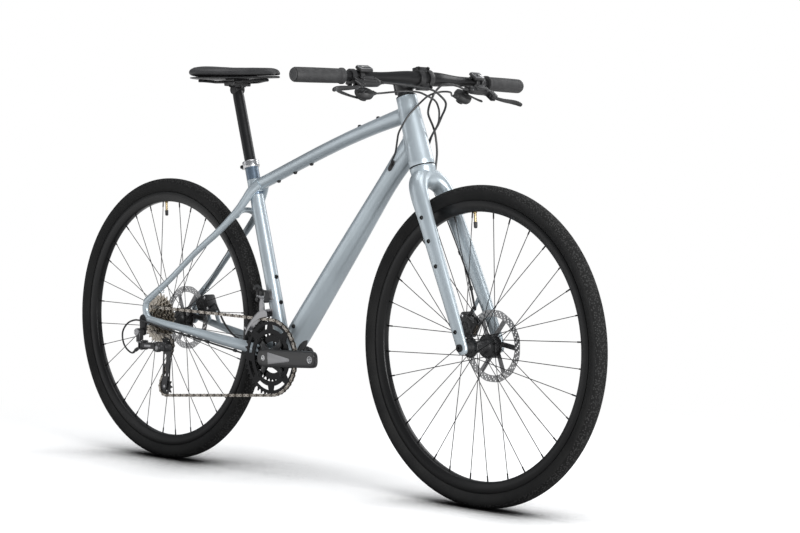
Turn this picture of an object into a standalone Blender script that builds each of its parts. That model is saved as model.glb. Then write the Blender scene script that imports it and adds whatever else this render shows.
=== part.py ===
"""Hybrid bicycle, built as separate pieces with their real joints.

Metres, +Z up. +X points forward and +Y to the rider's left, so the chain runs on the -Y side.
The origin lies on the ground, straight below the rear axle.
"""

from math import atan2, cos, pi, radians, sin, sqrt, tan

import bmesh
import bpy
from mathutils import Matrix, Vector

for old in list(bpy.data.objects):
    bpy.data.objects.remove(old, do_unlink=True)

# Fits
GAP = 0.0003

# Wheels
WHEELBASE = 1.0704
BEAD_RADIUS = 0.3110
TYRE_HEIGHT = 0.0393
TYRE_WIDTH = 0.0400
TYRE_WALL = 0.0030
RIM_DEPTH = 0.0245
RIM_WIDTH = 0.0250
RIM_WALL = 0.0020
FLANGE_HEIGHT = 0.0055
WHEEL_STEPS = 36
SPOKES_PER_FLANGE = 16
SPOKE_CROSSINGS = 3
SPOKE_WIDTH = 0.0018
AXLE_RADIUS = 0.0060
ROTOR_RADIUS = 0.0800
ROTOR_THICKNESS = 0.0018
ROTOR_BORE = 0.0160
FRONT_SPACING = 0.1000
REAR_SPACING = 0.1420
FRONT_ROTOR_PLANE = 0.0395
REAR_ROTOR_PLANE = 0.0555

# Steering
HEAD_ANGLE = radians(71.0)
FORK_OFFSET = 0.0500
AXLE_TO_CROWN = 0.4254
BEARING_HEIGHT = 0.0030
HEAD_TUBE_LENGTH = 0.1612
HEAD_LOWER_RADIUS = 0.0290
HEAD_UPPER_RADIUS = 0.0232
HEAD_BORE = 0.0212
STEERER_RADIUS = 0.0143
STEERER_LOWER_RADIUS = 0.0190
HEADSET_COVER_HEIGHT = 0.0090
STEM_HEIGHT = 0.0380
STEM_LENGTH = 0.0595
STEM_DROP = 0.0060
STEM_WALL = 0.0042
STEM_CLAMP_WIDTH = 0.0420

# Frame
CHAINSTAY_LENGTH = 0.4430
BRACKET_DROP = 0.0656
SHELL_RADIUS = 0.0205
SHELL_BORE = 0.0170
SHELL_WIDTH = 0.0680
SEAT_ANGLE = radians(73.5)
SEAT_TUBE_LENGTH = 0.4770
SEAT_TUBE_UPPER_RADIUS = 0.0160
SEAT_TUBE_LOWER_RADIUS = 0.0172
SEATPOST_RADIUS = 0.0136
TOP_TUBE_BELOW_CLAMP = 0.0605
TOP_TUBE_DEPTH = 0.0310
TOP_TUBE_WIDTH = 0.0350
TOP_TUBE_BOW = 0.0083
TOP_TUBE_BELOW_HEAD_TOP = 0.0375
DOWN_TUBE_ABOVE_HEAD_BOTTOM = 0.0690
DOWN_TUBE_DEPTH = 0.0480
DOWN_TUBE_WIDTH = 0.0520
PORT_FROM_HEAD = 0.0844
EXIT_FROM_BRACKET = 0.0570
TUBE_WALL = 0.0022
STAY_DEPTH = 0.0180
STAY_WIDTH = 0.0140
STAY_BEND_RADIUS = 0.0280
DROPOUT_THICKNESS = 0.0085

# Contact points
SEATPOST_LENGTH = 0.3000
SEATPOST_RISE = 0.1830
BAR_WIDTH = 0.7108
BAR_CLAMP_RADIUS = 0.0159
BAR_GRIP_RADIUS = 0.0111
BAR_BACKSWEEP = 0.0335
BAR_DROP = 0.0035
GRIP_LENGTH = 0.1320
GRIP_RADIUS = 0.0160
SADDLE_LENGTH = 0.2700
SADDLE_WIDTH = 0.1500
SADDLE_DEPTH = 0.0325
RAIL_RADIUS = 0.0035
RAIL_SPACING = 0.0440
RAIL_RISE = 0.0032

# Drivetrain
CHAIN_PITCH = 0.0127
CHAIN_HEIGHT = 0.0078
CHAIN_WIDTH = 0.0062
LARGE_RING_TEETH = 44
SMALL_RING_TEETH = 28
COG_TEETH = (11, 13, 15, 17, 20, 23, 26, 30)
COG_IN_USE = 2
COG_SPACING = 0.0048
COG_THICKNESS = 0.0018
PULLEY_TEETH = 11
TOOTH_ROOT = 0.0046
LARGE_RING_PLANE = -0.0482
SMALL_RING_PLANE = -0.0412
RING_THICKNESS = 0.0024
CRANK_LENGTH = 0.1725
CRANK_ANGLE = radians(2.7)
CRANK_THICKNESS = 0.0130
SPINDLE_RADIUS = 0.0085
SPINDLE_LENGTH = 0.1240
HOSE_RADIUS = 0.0025
HOUSING_RADIUS = 0.0022


def unit(vector):
    return Vector(vector).normalized()


def pitch_radius(teeth):
    return CHAIN_PITCH / (2.0 * sin(pi / teeth))


Y_AXIS = Vector((0.0, 1.0, 0.0))
TYRE_RADIUS = BEAD_RADIUS + TYRE_HEIGHT
REAR_AXLE = Vector((0.0, 0.0, TYRE_RADIUS))
FRONT_AXLE = Vector((WHEELBASE, 0.0, TYRE_RADIUS))
BRACKET = Vector((sqrt(CHAINSTAY_LENGTH ** 2 - BRACKET_DROP ** 2), 0.0, TYRE_RADIUS - BRACKET_DROP))
STEER_UP = Vector((-cos(HEAD_ANGLE), 0.0, sin(HEAD_ANGLE)))
STEER_FORWARD = Vector((sin(HEAD_ANGLE), 0.0, cos(HEAD_ANGLE)))
STEER_FOOT = FRONT_AXLE - STEER_FORWARD * FORK_OFFSET
SEAT_UP = Vector((-cos(SEAT_ANGLE), 0.0, sin(SEAT_ANGLE)))
SEAT_FORWARD = Vector((sin(SEAT_ANGLE), 0.0, cos(SEAT_ANGLE)))
HEAD_START = AXLE_TO_CROWN + BEARING_HEIGHT
HEAD_END = HEAD_START + HEAD_TUBE_LENGTH
STEM_START = HEAD_END + HEADSET_COVER_HEIGHT + GAP
STEM_END = STEM_START + STEM_HEIGHT


def steer_point(along, forward=0.0, side=0.0):
    """A point measured along the steering axis, ahead of it and to the left of it."""
    return STEER_FOOT + STEER_UP * along + STEER_FORWARD * forward + Y_AXIS * side


def seat_point(along, forward=0.0, side=0.0):
    """A point measured up the seat tube from the bracket, ahead of it and to its left."""
    return BRACKET + SEAT_UP * along + SEAT_FORWARD * forward + Y_AXIS * side


# Modelling helpers

def mesh_object(bm, name="working_piece"):
    bmesh.ops.recalc_face_normals(bm, faces=bm.faces)
    mesh = bpy.data.meshes.new(name)
    bm.to_mesh(mesh)
    bm.free()
    piece = bpy.data.objects.new(name, mesh)
    bpy.context.scene.collection.objects.link(piece)
    return piece


def loft(rings, closed=False):
    """A skin through rings of points, with flat ends, or joined end to end when closed."""
    bm = bmesh.new()
    rows = [[bm.verts.new(point) for point in ring] for ring in rings]
    count = len(rows[0])
    pairs = list(zip(rows, rows[1:]))
    if closed:
        pairs.append((rows[-1], rows[0]))
    for lower, upper in pairs:
        for i in range(count):
            j = (i + 1) % count
            bm.faces.new((lower[i], lower[j], upper[j], upper[i]))
    if not closed:
        bm.faces.new(rows[0])
        bm.faces.new(rows[-1])
    return mesh_object(bm)


def turned(profile, origin, axis, steps, closed=True, phase=0.0):
    """A profile of (along, radius) points turned about an axis; an open one gets flat ends."""
    axis = unit(axis)
    side = unit(axis.orthogonal())
    if abs(axis.y) > 0.9:
        side = unit(Vector((1.0, 0.0, 0.0)) - axis * axis.x)
    other = axis.cross(side)
    rings = []
    for along, radius in profile:
        ring = []
        for i in range(steps):
            angle = phase + 2.0 * pi * i / steps
            ring.append(origin + axis * along + (side * cos(angle) + other * sin(angle)) * radius)
        rings.append(ring)
    return loft(rings, closed)


def rod(start, end, radius, steps=12, end_radius=None):
    """A round bar from one point to another."""
    start = Vector(start)
    end = Vector(end)
    length = (end - start).length
    last = radius if end_radius is None else end_radius
    return turned([(0.0, radius), (length, last)], start, end - start, steps, closed=False)


def oval(centre, across, other, half_across, half_other, steps, square=1.0):
    """A ring of points around a centre; square below 1 fills out the corners."""
    ring = []
    for i in range(steps):
        angle = 2.0 * pi * i / steps
        u = cos(angle)
        v = sin(angle)
        u = abs(u) ** square * (1.0 if u >= 0.0 else -1.0)
        v = abs(v) ** square * (1.0 if v >= 0.0 else -1.0)
        ring.append(centre + across * (half_across * u) + other * (half_other * v))
    return ring


def swept(stations, steps, square=1.0, wide=Y_AXIS, inset=0.0):
    """A tube through stations of (centre, half depth, half width), its width held near one direction."""
    centres = [Vector(station[0]) for station in stations]
    rings = []
    for i, (centre, half_depth, half_width) in enumerate(stations):
        before = centres[max(i - 1, 0)]
        after = centres[min(i + 1, len(centres) - 1)]
        along = unit(after - before)
        depth = unit(along.cross(wide))
        width = unit(depth.cross(along))
        rings.append(oval(Vector(centre), depth, width, half_depth - inset, half_width - inset,
                          steps, square))
    return loft(rings)


def block(centre, axes, sizes):
    """A box given by its centre, three directions and three full sizes."""
    a, b, c = [unit(axis) * size * 0.5 for axis, size in zip(axes, sizes)]
    centre = Vector(centre)
    corners = [(-1, -1), (1, -1), (1, 1), (-1, 1)]
    rings = [[centre + a * u + b * v + c * w for u, v in corners] for w in (-1, 1)]
    return loft(rings)


def plate(outline, holes, start, end):
    """A flat plate across Y with holes, from (x, z) outlines, between two Y planes."""
    bm = bmesh.new()
    edges = []
    for loop in [outline] + list(holes):
        verts = [bm.verts.new((x, start, z)) for x, z in loop]
        for i in range(len(verts)):
            edges.append(bm.edges.new((verts[i], verts[(i + 1) % len(verts)])))
    bmesh.ops.triangle_fill(bm, edges=edges, use_beauty=True)
    grown = bmesh.ops.extrude_face_region(bm, geom=bm.faces[:])
    raised = [item for item in grown["geom"] if isinstance(item, bmesh.types.BMVert)]
    bmesh.ops.translate(bm, verts=raised, vec=(0.0, end - start, 0.0))
    return mesh_object(bm)


def circle(centre_x, centre_z, radius, steps, phase=0.0):
    points = []
    for i in range(steps):
        angle = phase + 2.0 * pi * i / steps
        points.append((centre_x + radius * cos(angle), centre_z + radius * sin(angle)))
    return points


def boolean(base, other, operation):
    modifier = base.modifiers.new(operation.lower(), "BOOLEAN")
    modifier.operation = operation
    modifier.solver = "EXACT"
    modifier.object = other
    with bpy.context.temp_override(object=base, active_object=base, selected_objects=[base]):
        bpy.ops.object.modifier_apply(modifier=modifier.name)
    bpy.data.objects.remove(other, do_unlink=True)


def fuse(base, *others):
    for other in others:
        boolean(base, other, "UNION")
    return base


def cut(base, *cutters):
    for cutter in cutters:
        boolean(base, cutter, "DIFFERENCE")
    return base


def place_of(carrier):
    """Where an empty stands, with all the empties that carry it at rest."""
    place = Vector((0.0, 0.0, 0.0))
    while carrier is not None:
        place += carrier.location
        carrier = carrier.parent
    return place


def pivot(name, location, carrier=None):
    """An empty on a joint's axis, which carries the pieces of that joint."""
    empty = bpy.data.objects.new(name, None)
    empty.empty_display_size = 0.02
    empty.location = location - place_of(carrier)
    empty.parent = carrier
    bpy.context.scene.collection.objects.link(empty)
    return empty


def coat(data, name, colour, roughness, metallic=0.0):
    """Gives a mesh or a curve a material of its own."""
    material = bpy.data.materials.new(name + "_finish")
    material.use_nodes = True
    shader = material.node_tree.nodes["Principled BSDF"]
    shader.inputs["Base Color"].default_value = (*colour, 1.0)
    shader.inputs["Roughness"].default_value = roughness
    shader.inputs["Metallic"].default_value = metallic
    data.materials.clear()
    data.materials.append(material)


def finish(piece, name, carrier, colour, roughness, metallic=0.0):
    """Names a piece, gives it its material and hangs it on its carrier."""
    piece.name = name
    piece.data.name = name
    coat(piece.data, name, colour, roughness, metallic)
    piece.data.shade_smooth()
    piece.data.set_sharp_from_angle(angle=radians(35.0))
    if carrier is not None:
        piece.data.transform(Matrix.Translation(-place_of(carrier)))
        piece.parent = carrier
    return piece


PAINT = (0.56, 0.62, 0.67)
SATIN_BLACK = (0.018, 0.018, 0.020)
GLOSS_BLACK = (0.012, 0.012, 0.013)
RUBBER = (0.022, 0.022, 0.023)
ALLOY = (0.62, 0.62, 0.62)
STEEL = (0.45, 0.43, 0.40)
COG_STEEL = (0.34, 0.29, 0.24)

# Joint axes
steering = pivot("steering_axis", STEER_FOOT + STEER_UP * HEAD_START)
front_wheel = pivot("front_wheel_axis", FRONT_AXLE)
rear_wheel = pivot("rear_wheel_axis", REAR_AXLE)
crankset = pivot("crank_axis", BRACKET)
seat_slide = pivot("seatpost_axis", seat_point(SEAT_TUBE_LENGTH))


# Frame: welded aluminium tubes, hollow, open into each other and at both ends of the head tube

def spread(start, end, rows, depth, width):
    """Tube stations between two points: each row is (fraction, depth share, width share, lift)."""
    along = unit(end - start)
    lift = unit(along.cross(Y_AXIS))
    stations = []
    for fraction, depth_share, width_share, raised in rows:
        centre = start.lerp(end, fraction) + lift * raised
        stations.append((centre, depth * 0.5 * depth_share, width * 0.5 * width_share))
    return stations


def rounded(before, corner, after, radius, steps):
    """Points of an arc that rounds off a corner."""
    inward = unit(before - corner)
    outward = unit(after - corner)
    half = inward.angle(outward) * 0.5
    reach = radius / tan(half)
    centre = corner + unit(inward + outward) * (radius / sin(half))
    first = corner + inward * reach - centre
    last = corner + outward * reach - centre
    return [centre + unit(first.slerp(last, i / steps)) * radius for i in range(steps + 1)]


TOP_START = seat_point(SEAT_TUBE_LENGTH - TOP_TUBE_BELOW_CLAMP)
TOP_END = steer_point(HEAD_END - TOP_TUBE_BELOW_HEAD_TOP)
DOWN_END = steer_point(HEAD_START + DOWN_TUBE_ABOVE_HEAD_BOTTOM)
top_rows = []
for fraction in (0.0, 0.12, 0.28, 0.45, 0.62, 0.78, 0.90, 1.0):
    bow = TOP_TUBE_BOW * sin(pi * fraction ** 1.35)
    deeper = 1.0 + 0.25 * max(0.0, (fraction - 0.62) / 0.38) ** 2 - 0.08 * (1.0 - fraction)
    top_rows.append((fraction, deeper, 0.88 + 0.12 * fraction, bow))
top_stations = spread(TOP_START, TOP_END, top_rows, TOP_TUBE_DEPTH, TOP_TUBE_WIDTH)
down_rows = [(0.0, 1.00, 1.18, 0.0), (0.13, 1.03, 1.27, 0.0), (0.35, 1.01, 1.15, 0.0), (0.55, 0.98, 1.00, 0.0),
             (0.78, 0.92, 0.80, 0.0), (0.90, 1.04, 0.80, -0.003), (1.0, 1.24, 0.80, -0.007)]
down_stations = spread(BRACKET, DOWN_END, down_rows, DOWN_TUBE_DEPTH, DOWN_TUBE_WIDTH)

STAY_CORNER = REAR_AXLE + Vector((-0.0413, 0.0, 0.0100))
DROPOUT_PLANE = REAR_SPACING * 0.5 + GAP
STAY_PLANE = DROPOUT_PLANE + STAY_WIDTH * 0.5
seatstay_along = unit(TOP_START - REAR_AXLE)
seatstay_lift = unit(seatstay_along.cross(Y_AXIS))
if seatstay_lift.z < 0.0:
    seatstay_lift = -seatstay_lift
SEATSTAY_SPAN = (TOP_START - REAR_AXLE).length
# Rows of (fraction from axle to seat tube, raised, side, depth share, width share)
seatstay_rows = [(1.054, -0.0142, 0.0100, 1.25, 1.15), (1.004, -0.0130, 0.0190, 1.33, 1.25),
                 (0.937, -0.0177, 0.0255, 1.25, 1.20), (0.857, -0.0219, 0.0340, 1.12, 1.12),
                 (0.707, -0.0163, 0.0440, 0.95, 1.05), (0.511, -0.0013, 0.0560, 0.83, 1.00),
                 (0.285, 0.0105, 0.0680, 0.83, 0.95)]
# Rows of (fraction from axle to bracket, raised, side, depth share, width share)
chainstay_rows = [(0.228, 0.0032, 0.0655, 1.00, 1.05), (0.411, 0.0032, 0.0545, 1.20, 1.15),
                  (0.572, 0.0028, 0.0460, 1.40, 1.20), (0.755, 0.0030, 0.0335, 1.52, 1.00),
                  (0.867, 0.0010, 0.0270, 1.52, 0.95), (0.970, 0.0, 0.0220, 1.45, 1.10)]


def stay_stations(side):
    """One side's seatstay, the bend around the axle and the chainstay, as a single tube."""
    upper = []
    for fraction, raised, out, depth, width in seatstay_rows:
        centre = REAR_AXLE + seatstay_along * (SEATSTAY_SPAN * fraction) + seatstay_lift * raised
        centre.y = side * out
        upper.append((centre, STAY_DEPTH * 0.5 * depth, STAY_WIDTH * 0.5 * width))
    lower = []
    for fraction, raised, out, depth, width in chainstay_rows:
        centre = REAR_AXLE.lerp(BRACKET, fraction) + Vector((0.0, side * out, raised))
        lower.append((centre, STAY_DEPTH * 0.5 * depth, STAY_WIDTH * 0.5 * width))
    before = Vector((upper[-1][0].x, 0.0, upper[-1][0].z))
    after = Vector((lower[0][0].x, 0.0, lower[0][0].z))
    arc = rounded(before, STAY_CORNER, after, STAY_BEND_RADIUS, 5)
    bend = [(point + Y_AXIS * (side * STAY_PLANE), STAY_DEPTH * 0.5, STAY_WIDTH * 0.5) for point in arc]
    return upper + bend + lower


HANGER_BOLT = REAR_AXLE + Vector((0.0, 0.0, -0.0308))
AXLE_HEAD_RADIUS = 0.0090
DROPOUT_FACE = DROPOUT_PLANE + DROPOUT_THICKNESS


def hanger_outline(grow):
    """A tongue around the axle's end that reaches down to the derailleur bolt."""
    top = circle(REAR_AXLE.x, REAR_AXLE.z, 0.0120 + grow, 24)[0:13]
    bottom = circle(HANGER_BOLT.x, HANGER_BOLT.z, 0.0095 + grow, 16)[8:16]
    bottom.append((HANGER_BOLT.x + 0.0095 + grow, HANGER_BOLT.z))
    return top + bottom


BRIDGE_POINT = REAR_AXLE + seatstay_along * (SEATSTAY_SPAN * 0.857) - seatstay_lift * 0.0219
frame = turned([(0.0, HEAD_LOWER_RADIUS), (HEAD_TUBE_LENGTH, HEAD_UPPER_RADIUS)],
               steer_point(HEAD_START), STEER_UP, 24, closed=False)
fuse(frame, swept(down_stations, 14, square=0.85), swept(top_stations, 12, square=0.9))
seat_tube = turned([(0.004, SEAT_TUBE_LOWER_RADIUS), (0.30, SEAT_TUBE_LOWER_RADIUS),
                    (SEAT_TUBE_LENGTH - 0.057, SEAT_TUBE_UPPER_RADIUS + 0.0006),
                    (SEAT_TUBE_LENGTH, SEAT_TUBE_UPPER_RADIUS)], BRACKET, SEAT_UP, 16, closed=False)
shell_half = SHELL_WIDTH * 0.5
shell = rod(BRACKET - Y_AXIS * shell_half, BRACKET + Y_AXIS * shell_half, SHELL_RADIUS, 20)
fuse(frame, seat_tube, shell)
for side in (-1.0, 1.0):
    fuse(frame, swept(stay_stations(side), 8))
    boss = rod(REAR_AXLE + Y_AXIS * (side * DROPOUT_PLANE),
               REAR_AXLE + Y_AXIS * (side * (DROPOUT_PLANE + DROPOUT_THICKNESS)), 0.0160, 14)
    fuse(frame, boss)
bridge = rod(BRIDGE_POINT - Y_AXIS * 0.034, BRIDGE_POINT + Y_AXIS * 0.034, 0.0085, 10)
lower_bridge_point = REAR_AXLE.lerp(BRACKET, 0.868)
lower_bridge = rod(lower_bridge_point - Y_AXIS * 0.026, lower_bridge_point + Y_AXIS * 0.026, 0.0070, 10)
fuse(frame, bridge, lower_bridge)

CALIPER_RADIUS = ROTOR_RADIUS + 0.0050
rear_radial = Vector((cos(radians(24.0)), 0.0, sin(radians(24.0))))
rear_tangent = Vector((-rear_radial.z, 0.0, rear_radial.x))
rear_caliper_centre = REAR_AXLE + rear_radial * CALIPER_RADIUS + Y_AXIS * REAR_ROTOR_PLANE
CALIPER_HALF = 0.0220
for offset, length in ((-0.0150, 0.0220), (0.0150, 0.0330)):
    foot = rear_caliper_centre + rear_radial * offset - rear_tangent * (CALIPER_HALF + GAP) + Y_AXIS * 0.0100
    fuse(frame, rod(foot, foot - rear_tangent * length, 0.0050, 10))

down_along = unit(DOWN_END - BRACKET)
down_lift = unit(down_along.cross(Y_AXIS))
if down_lift.z < 0.0:
    down_lift = -down_lift
DOWN_SPAN = (DOWN_END - BRACKET).length
PORT_FRACTION = 1.0 - PORT_FROM_HEAD / DOWN_SPAN
PORT_SIDE = DOWN_TUBE_WIDTH * 0.40
EXIT_FRACTION = EXIT_FROM_BRACKET / DOWN_SPAN


def down_point(fraction, lift=0.0, side=0.0):
    return BRACKET + down_along * (DOWN_SPAN * fraction) + down_lift * lift + Y_AXIS * side


def port_cutter(side, half_length, half_height):
    middle = down_point(PORT_FRACTION, 0.0, side * PORT_SIDE)
    ends = [(middle - Y_AXIS * 0.008, half_length, half_height), (middle + Y_AXIS * 0.008, half_length, half_height)]
    return swept(ends, 10, square=0.7, wide=down_lift)


bores = [
    port_cutter(-1.0, 0.0130, 0.0045),
    port_cutter(1.0, 0.0160, 0.0090),
    block(down_point(EXIT_FRACTION + 0.006, -DOWN_TUBE_DEPTH * 0.5, 0.003), (down_along, Y_AXIS, down_lift),
          (0.0460, 0.0280, 0.0220)),
    rod(steer_point(HEAD_START - 0.01), steer_point(HEAD_END + 0.01), HEAD_BORE, 24),
    rod(seat_point(0.010), seat_point(SEAT_TUBE_LENGTH + 0.02), SEATPOST_RADIUS + GAP, 16),
    rod(BRACKET - Y_AXIS * 0.05, BRACKET + Y_AXIS * 0.05, SHELL_BORE, 20),
    swept(down_stations, 12, square=0.85, inset=TUBE_WALL),
    rod(REAR_AXLE - Y_AXIS * (DROPOUT_PLANE + DROPOUT_THICKNESS - 0.002), REAR_AXLE + Y_AXIS * 0.12,
        AXLE_RADIUS + GAP, 14),
    rod(REAR_AXLE + Y_AXIS * (DROPOUT_FACE + 0.0002), REAR_AXLE + Y_AXIS * 0.12, AXLE_HEAD_RADIUS + 0.0008, 14),
    plate(hanger_outline(GAP), [], -DROPOUT_FACE - 0.0001, -0.12),
]
cut(frame, *bores)
finish(frame, "frame", None, PAINT, 0.32, 0.55)


# Fork: steerer, crown and two tapered blades, welded into one piece

BLADE_INNER = FRONT_SPACING * 0.5 + GAP
# Rows of (height, ahead, side, half depth, half width), from the axle up to the crown
blade_rows = [(-0.0145, FORK_OFFSET, BLADE_INNER + 0.0071, 0.0070, 0.0068),
              (-0.0020, FORK_OFFSET, BLADE_INNER + 0.0075, 0.0142, 0.0073),
              (0.0300, FORK_OFFSET - 0.0013, BLADE_INNER + 0.0082, 0.0150, 0.0080),
              (0.1000, FORK_OFFSET * 0.85, BLADE_INNER + 0.0057, 0.0162, 0.0100),
              (0.2000, FORK_OFFSET * 0.63, BLADE_INNER + 0.0017, 0.0185, 0.0115),
              (0.3000, FORK_OFFSET * 0.40, BLADE_INNER - 0.0038, 0.0205, 0.0128),
              (AXLE_TO_CROWN - 0.0754, FORK_OFFSET * 0.27, BLADE_INNER - 0.0073, 0.0225, 0.0148),
              (AXLE_TO_CROWN - 0.0454, FORK_OFFSET * 0.17, BLADE_INNER - 0.0158, 0.0232, 0.0178),
              (AXLE_TO_CROWN - 0.0294, FORK_OFFSET * 0.09, BLADE_INNER - 0.0318, 0.0238, 0.0215)]


def blade_stations(side):
    return [(steer_point(height, ahead, side * out), half_width, half_depth)
            for height, ahead, out, half_depth, half_width in blade_rows]


crown_middle = [(steer_point(AXLE_TO_CROWN - 0.0254, FORK_OFFSET * 0.06), 0.0235, 0.0240)]
fork = swept(blade_stations(-1.0) + crown_middle + blade_stations(1.0)[::-1], 10, wide=STEER_FORWARD)
crown = turned([(AXLE_TO_CROWN - 0.030, 0.0250), (AXLE_TO_CROWN, HEAD_LOWER_RADIUS)],
               STEER_FOOT, STEER_UP, 20, closed=False)
steerer = turned([(AXLE_TO_CROWN - 0.020, STEERER_LOWER_RADIUS), (AXLE_TO_CROWN + 0.020, STEERER_LOWER_RADIUS),
                  (AXLE_TO_CROWN + 0.045, STEERER_RADIUS), (STEM_END - 0.003, STEERER_RADIUS)],
                 STEER_FOOT, STEER_UP, 16, closed=False)
fuse(fork, crown, steerer)
front_radial = Vector((cos(radians(150.0)), 0.0, sin(radians(150.0))))
front_tangent = Vector((front_radial.z, 0.0, -front_radial.x))
front_caliper_centre = FRONT_AXLE + front_radial * CALIPER_RADIUS + Y_AXIS * FRONT_ROTOR_PLANE
for offset, length in ((-0.0150, 0.0260), (0.0150, 0.0460)):
    foot = front_caliper_centre + front_radial * offset + front_tangent * (CALIPER_HALF + GAP) + Y_AXIS * 0.0125
    fuse(fork, rod(foot, foot + front_tangent * length, 0.0038, 10))
cut(fork, rod(FRONT_AXLE - Y_AXIS * 0.1, FRONT_AXLE + Y_AXIS * 0.1, AXLE_RADIUS + GAP, 14))
cut(fork, rod(steer_point(AXLE_TO_CROWN - 0.065), steer_point(STEM_END), STEERER_RADIUS - 0.0025, 12))
finish(fork, "fork", steering, PAINT, 0.32, 0.55)

bearing_bore = STEERER_LOWER_RADIUS + GAP
lower_bearing = turned([(AXLE_TO_CROWN + GAP, bearing_bore), (AXLE_TO_CROWN + GAP, HEAD_LOWER_RADIUS - 0.0002),
                        (HEAD_START - GAP, HEAD_LOWER_RADIUS - 0.0002), (HEAD_START - GAP, HEAD_BORE - GAP),
                        (HEAD_START + 0.010, HEAD_BORE - GAP), (HEAD_START + 0.010, bearing_bore)],
                       STEER_FOOT, STEER_UP, 20)
finish(lower_bearing, "headset_lower_bearing", steering, SATIN_BLACK, 0.5)
cover_top = HEAD_END + HEADSET_COVER_HEIGHT
headset_cover = turned([(HEAD_END - 0.012, STEERER_RADIUS + GAP), (HEAD_END - 0.012, HEAD_BORE - GAP),
                        (HEAD_END + GAP, HEAD_BORE - GAP), (HEAD_END + GAP, HEAD_UPPER_RADIUS),
                        (HEAD_END + 0.0035, HEAD_UPPER_RADIUS - 0.0015), (HEAD_END + 0.0055, 0.0182),
                        (cover_top, 0.0182), (cover_top, STEERER_RADIUS + GAP)], STEER_FOOT, STEER_UP, 20)
finish(headset_cover, "headset_cover", steering, SATIN_BLACK, 0.45)

# Stem and handlebar

STEM_MIDDLE = (STEM_START + STEM_END) * 0.5
BAR_CENTRE = steer_point(STEM_MIDDLE - STEM_DROP, STEM_LENGTH)
stem_base = steer_point(STEM_MIDDLE)
stem_along = unit(BAR_CENTRE - stem_base)
stem_up = unit(stem_along.cross(-Y_AXIS))
CLAMP_BORE = BAR_CLAMP_RADIUS + GAP
CLAMP_OUTER = CLAMP_BORE + STEM_WALL
clamp_half = STEM_CLAMP_WIDTH * 0.5
SPLIT_GAP = 0.0012


def clamp_block(ahead, depth, height, width):
    return block(BAR_CENTRE + stem_along * ahead, (stem_along, Y_AXIS, stem_up), (depth, width, height))


stem = rod(steer_point(STEM_START), steer_point(STEM_END), STEERER_RADIUS + STEM_WALL, 20)
extension = swept([(stem_base + stem_along * 0.004, 0.0165, 0.0160), (stem_base + stem_along * 0.022, 0.0150, 0.0150),
                   (BAR_CENTRE - stem_along * 0.022, 0.0150, 0.0165), (BAR_CENTRE - stem_along * 0.006, 0.0185, 0.0195)],
                  14, square=0.6)
bar_clamp = rod(BAR_CENTRE - Y_AXIS * clamp_half, BAR_CENTRE + Y_AXIS * clamp_half, CLAMP_OUTER, 20)
fuse(stem, extension, bar_clamp, clamp_block(-0.0042, 0.0080, 2.0 * CLAMP_OUTER + 0.010, STEM_CLAMP_WIDTH - 0.003))
rear_lug = block(stem_base - stem_along * (STEERER_RADIUS + STEM_WALL + 0.001), (stem_along, Y_AXIS, STEER_UP),
                 (0.009, 0.018, STEM_HEIGHT - 0.003))
fuse(stem, rear_lug)
cut(stem, rod(steer_point(STEM_START - 0.01), steer_point(STEM_END + 0.01), STEERER_RADIUS + GAP, 16),
    rod(BAR_CENTRE - Y_AXIS * 0.05, BAR_CENTRE + Y_AXIS * 0.05, CLAMP_BORE, 20),
    clamp_block(0.030, 0.060, 0.080, 0.080))
finish(stem, "stem", steering, SATIN_BLACK, 0.4, 0.2)

faceplate = rod(BAR_CENTRE - Y_AXIS * clamp_half, BAR_CENTRE + Y_AXIS * clamp_half, CLAMP_OUTER, 20)
fuse(faceplate, clamp_block(SPLIT_GAP + 0.0035, 0.0070, 2.0 * CLAMP_OUTER + 0.010, STEM_CLAMP_WIDTH - 0.003))
cut(faceplate, rod(BAR_CENTRE - Y_AXIS * 0.05, BAR_CENTRE + Y_AXIS * 0.05, CLAMP_BORE, 20),
    clamp_block(SPLIT_GAP - 0.030, 0.060, 0.080, 0.080),
    clamp_block(0.014, 0.020, 0.080, 0.014))
finish(faceplate, "stem_faceplate", steering, SATIN_BLACK, 0.4, 0.2)
stem_cap = turned([(STEM_END + GAP, 0.0178), (STEM_END + 0.0040, 0.0178), (STEM_END + 0.0055, 0.0140)],
                  STEER_FOOT, STEER_UP, 16, closed=False)
finish(stem_cap, "stem_cap", steering, SATIN_BLACK, 0.4, 0.2)

BAR_STRAIGHT = 0.045
GRIP_CAP = 0.0035
GRIP_START = BAR_WIDTH * 0.5 - GRIP_LENGTH


def bar_point(side, distance):
    """A point on the handlebar's centre line at a distance to one side of the stem."""
    share = max(0.0, distance - BAR_STRAIGHT) / (BAR_WIDTH * 0.5 - BAR_STRAIGHT)
    return BAR_CENTRE + Vector((-BAR_BACKSWEEP * share, side * distance, -BAR_DROP * share))


def bar_radius(distance):
    share = min(1.0, max(0.0, (distance - 0.035) / 0.095))
    share = share * share * (3.0 - 2.0 * share)
    return BAR_CLAMP_RADIUS + (BAR_GRIP_RADIUS - BAR_CLAMP_RADIUS) * share


bar_end = GRIP_START + (GRIP_LENGTH - GRIP_CAP - GAP) * unit(bar_point(1.0, 0.3) - bar_point(1.0, 0.1)).y
bar_distances = (bar_end, 0.240, 0.130, 0.105, 0.082, 0.060, 0.035)
bar_stations = [(bar_point(-1.0, d), bar_radius(d), bar_radius(d)) for d in bar_distances]
bar_stations += [(bar_point(1.0, d), bar_radius(d), bar_radius(d)) for d in bar_distances[::-1]]
handlebar = swept(bar_stations, 14, wide=Vector((0.0, 0.0, 1.0)))
finish(handlebar, "handlebar", steering, SATIN_BLACK, 0.38, 0.3)

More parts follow.
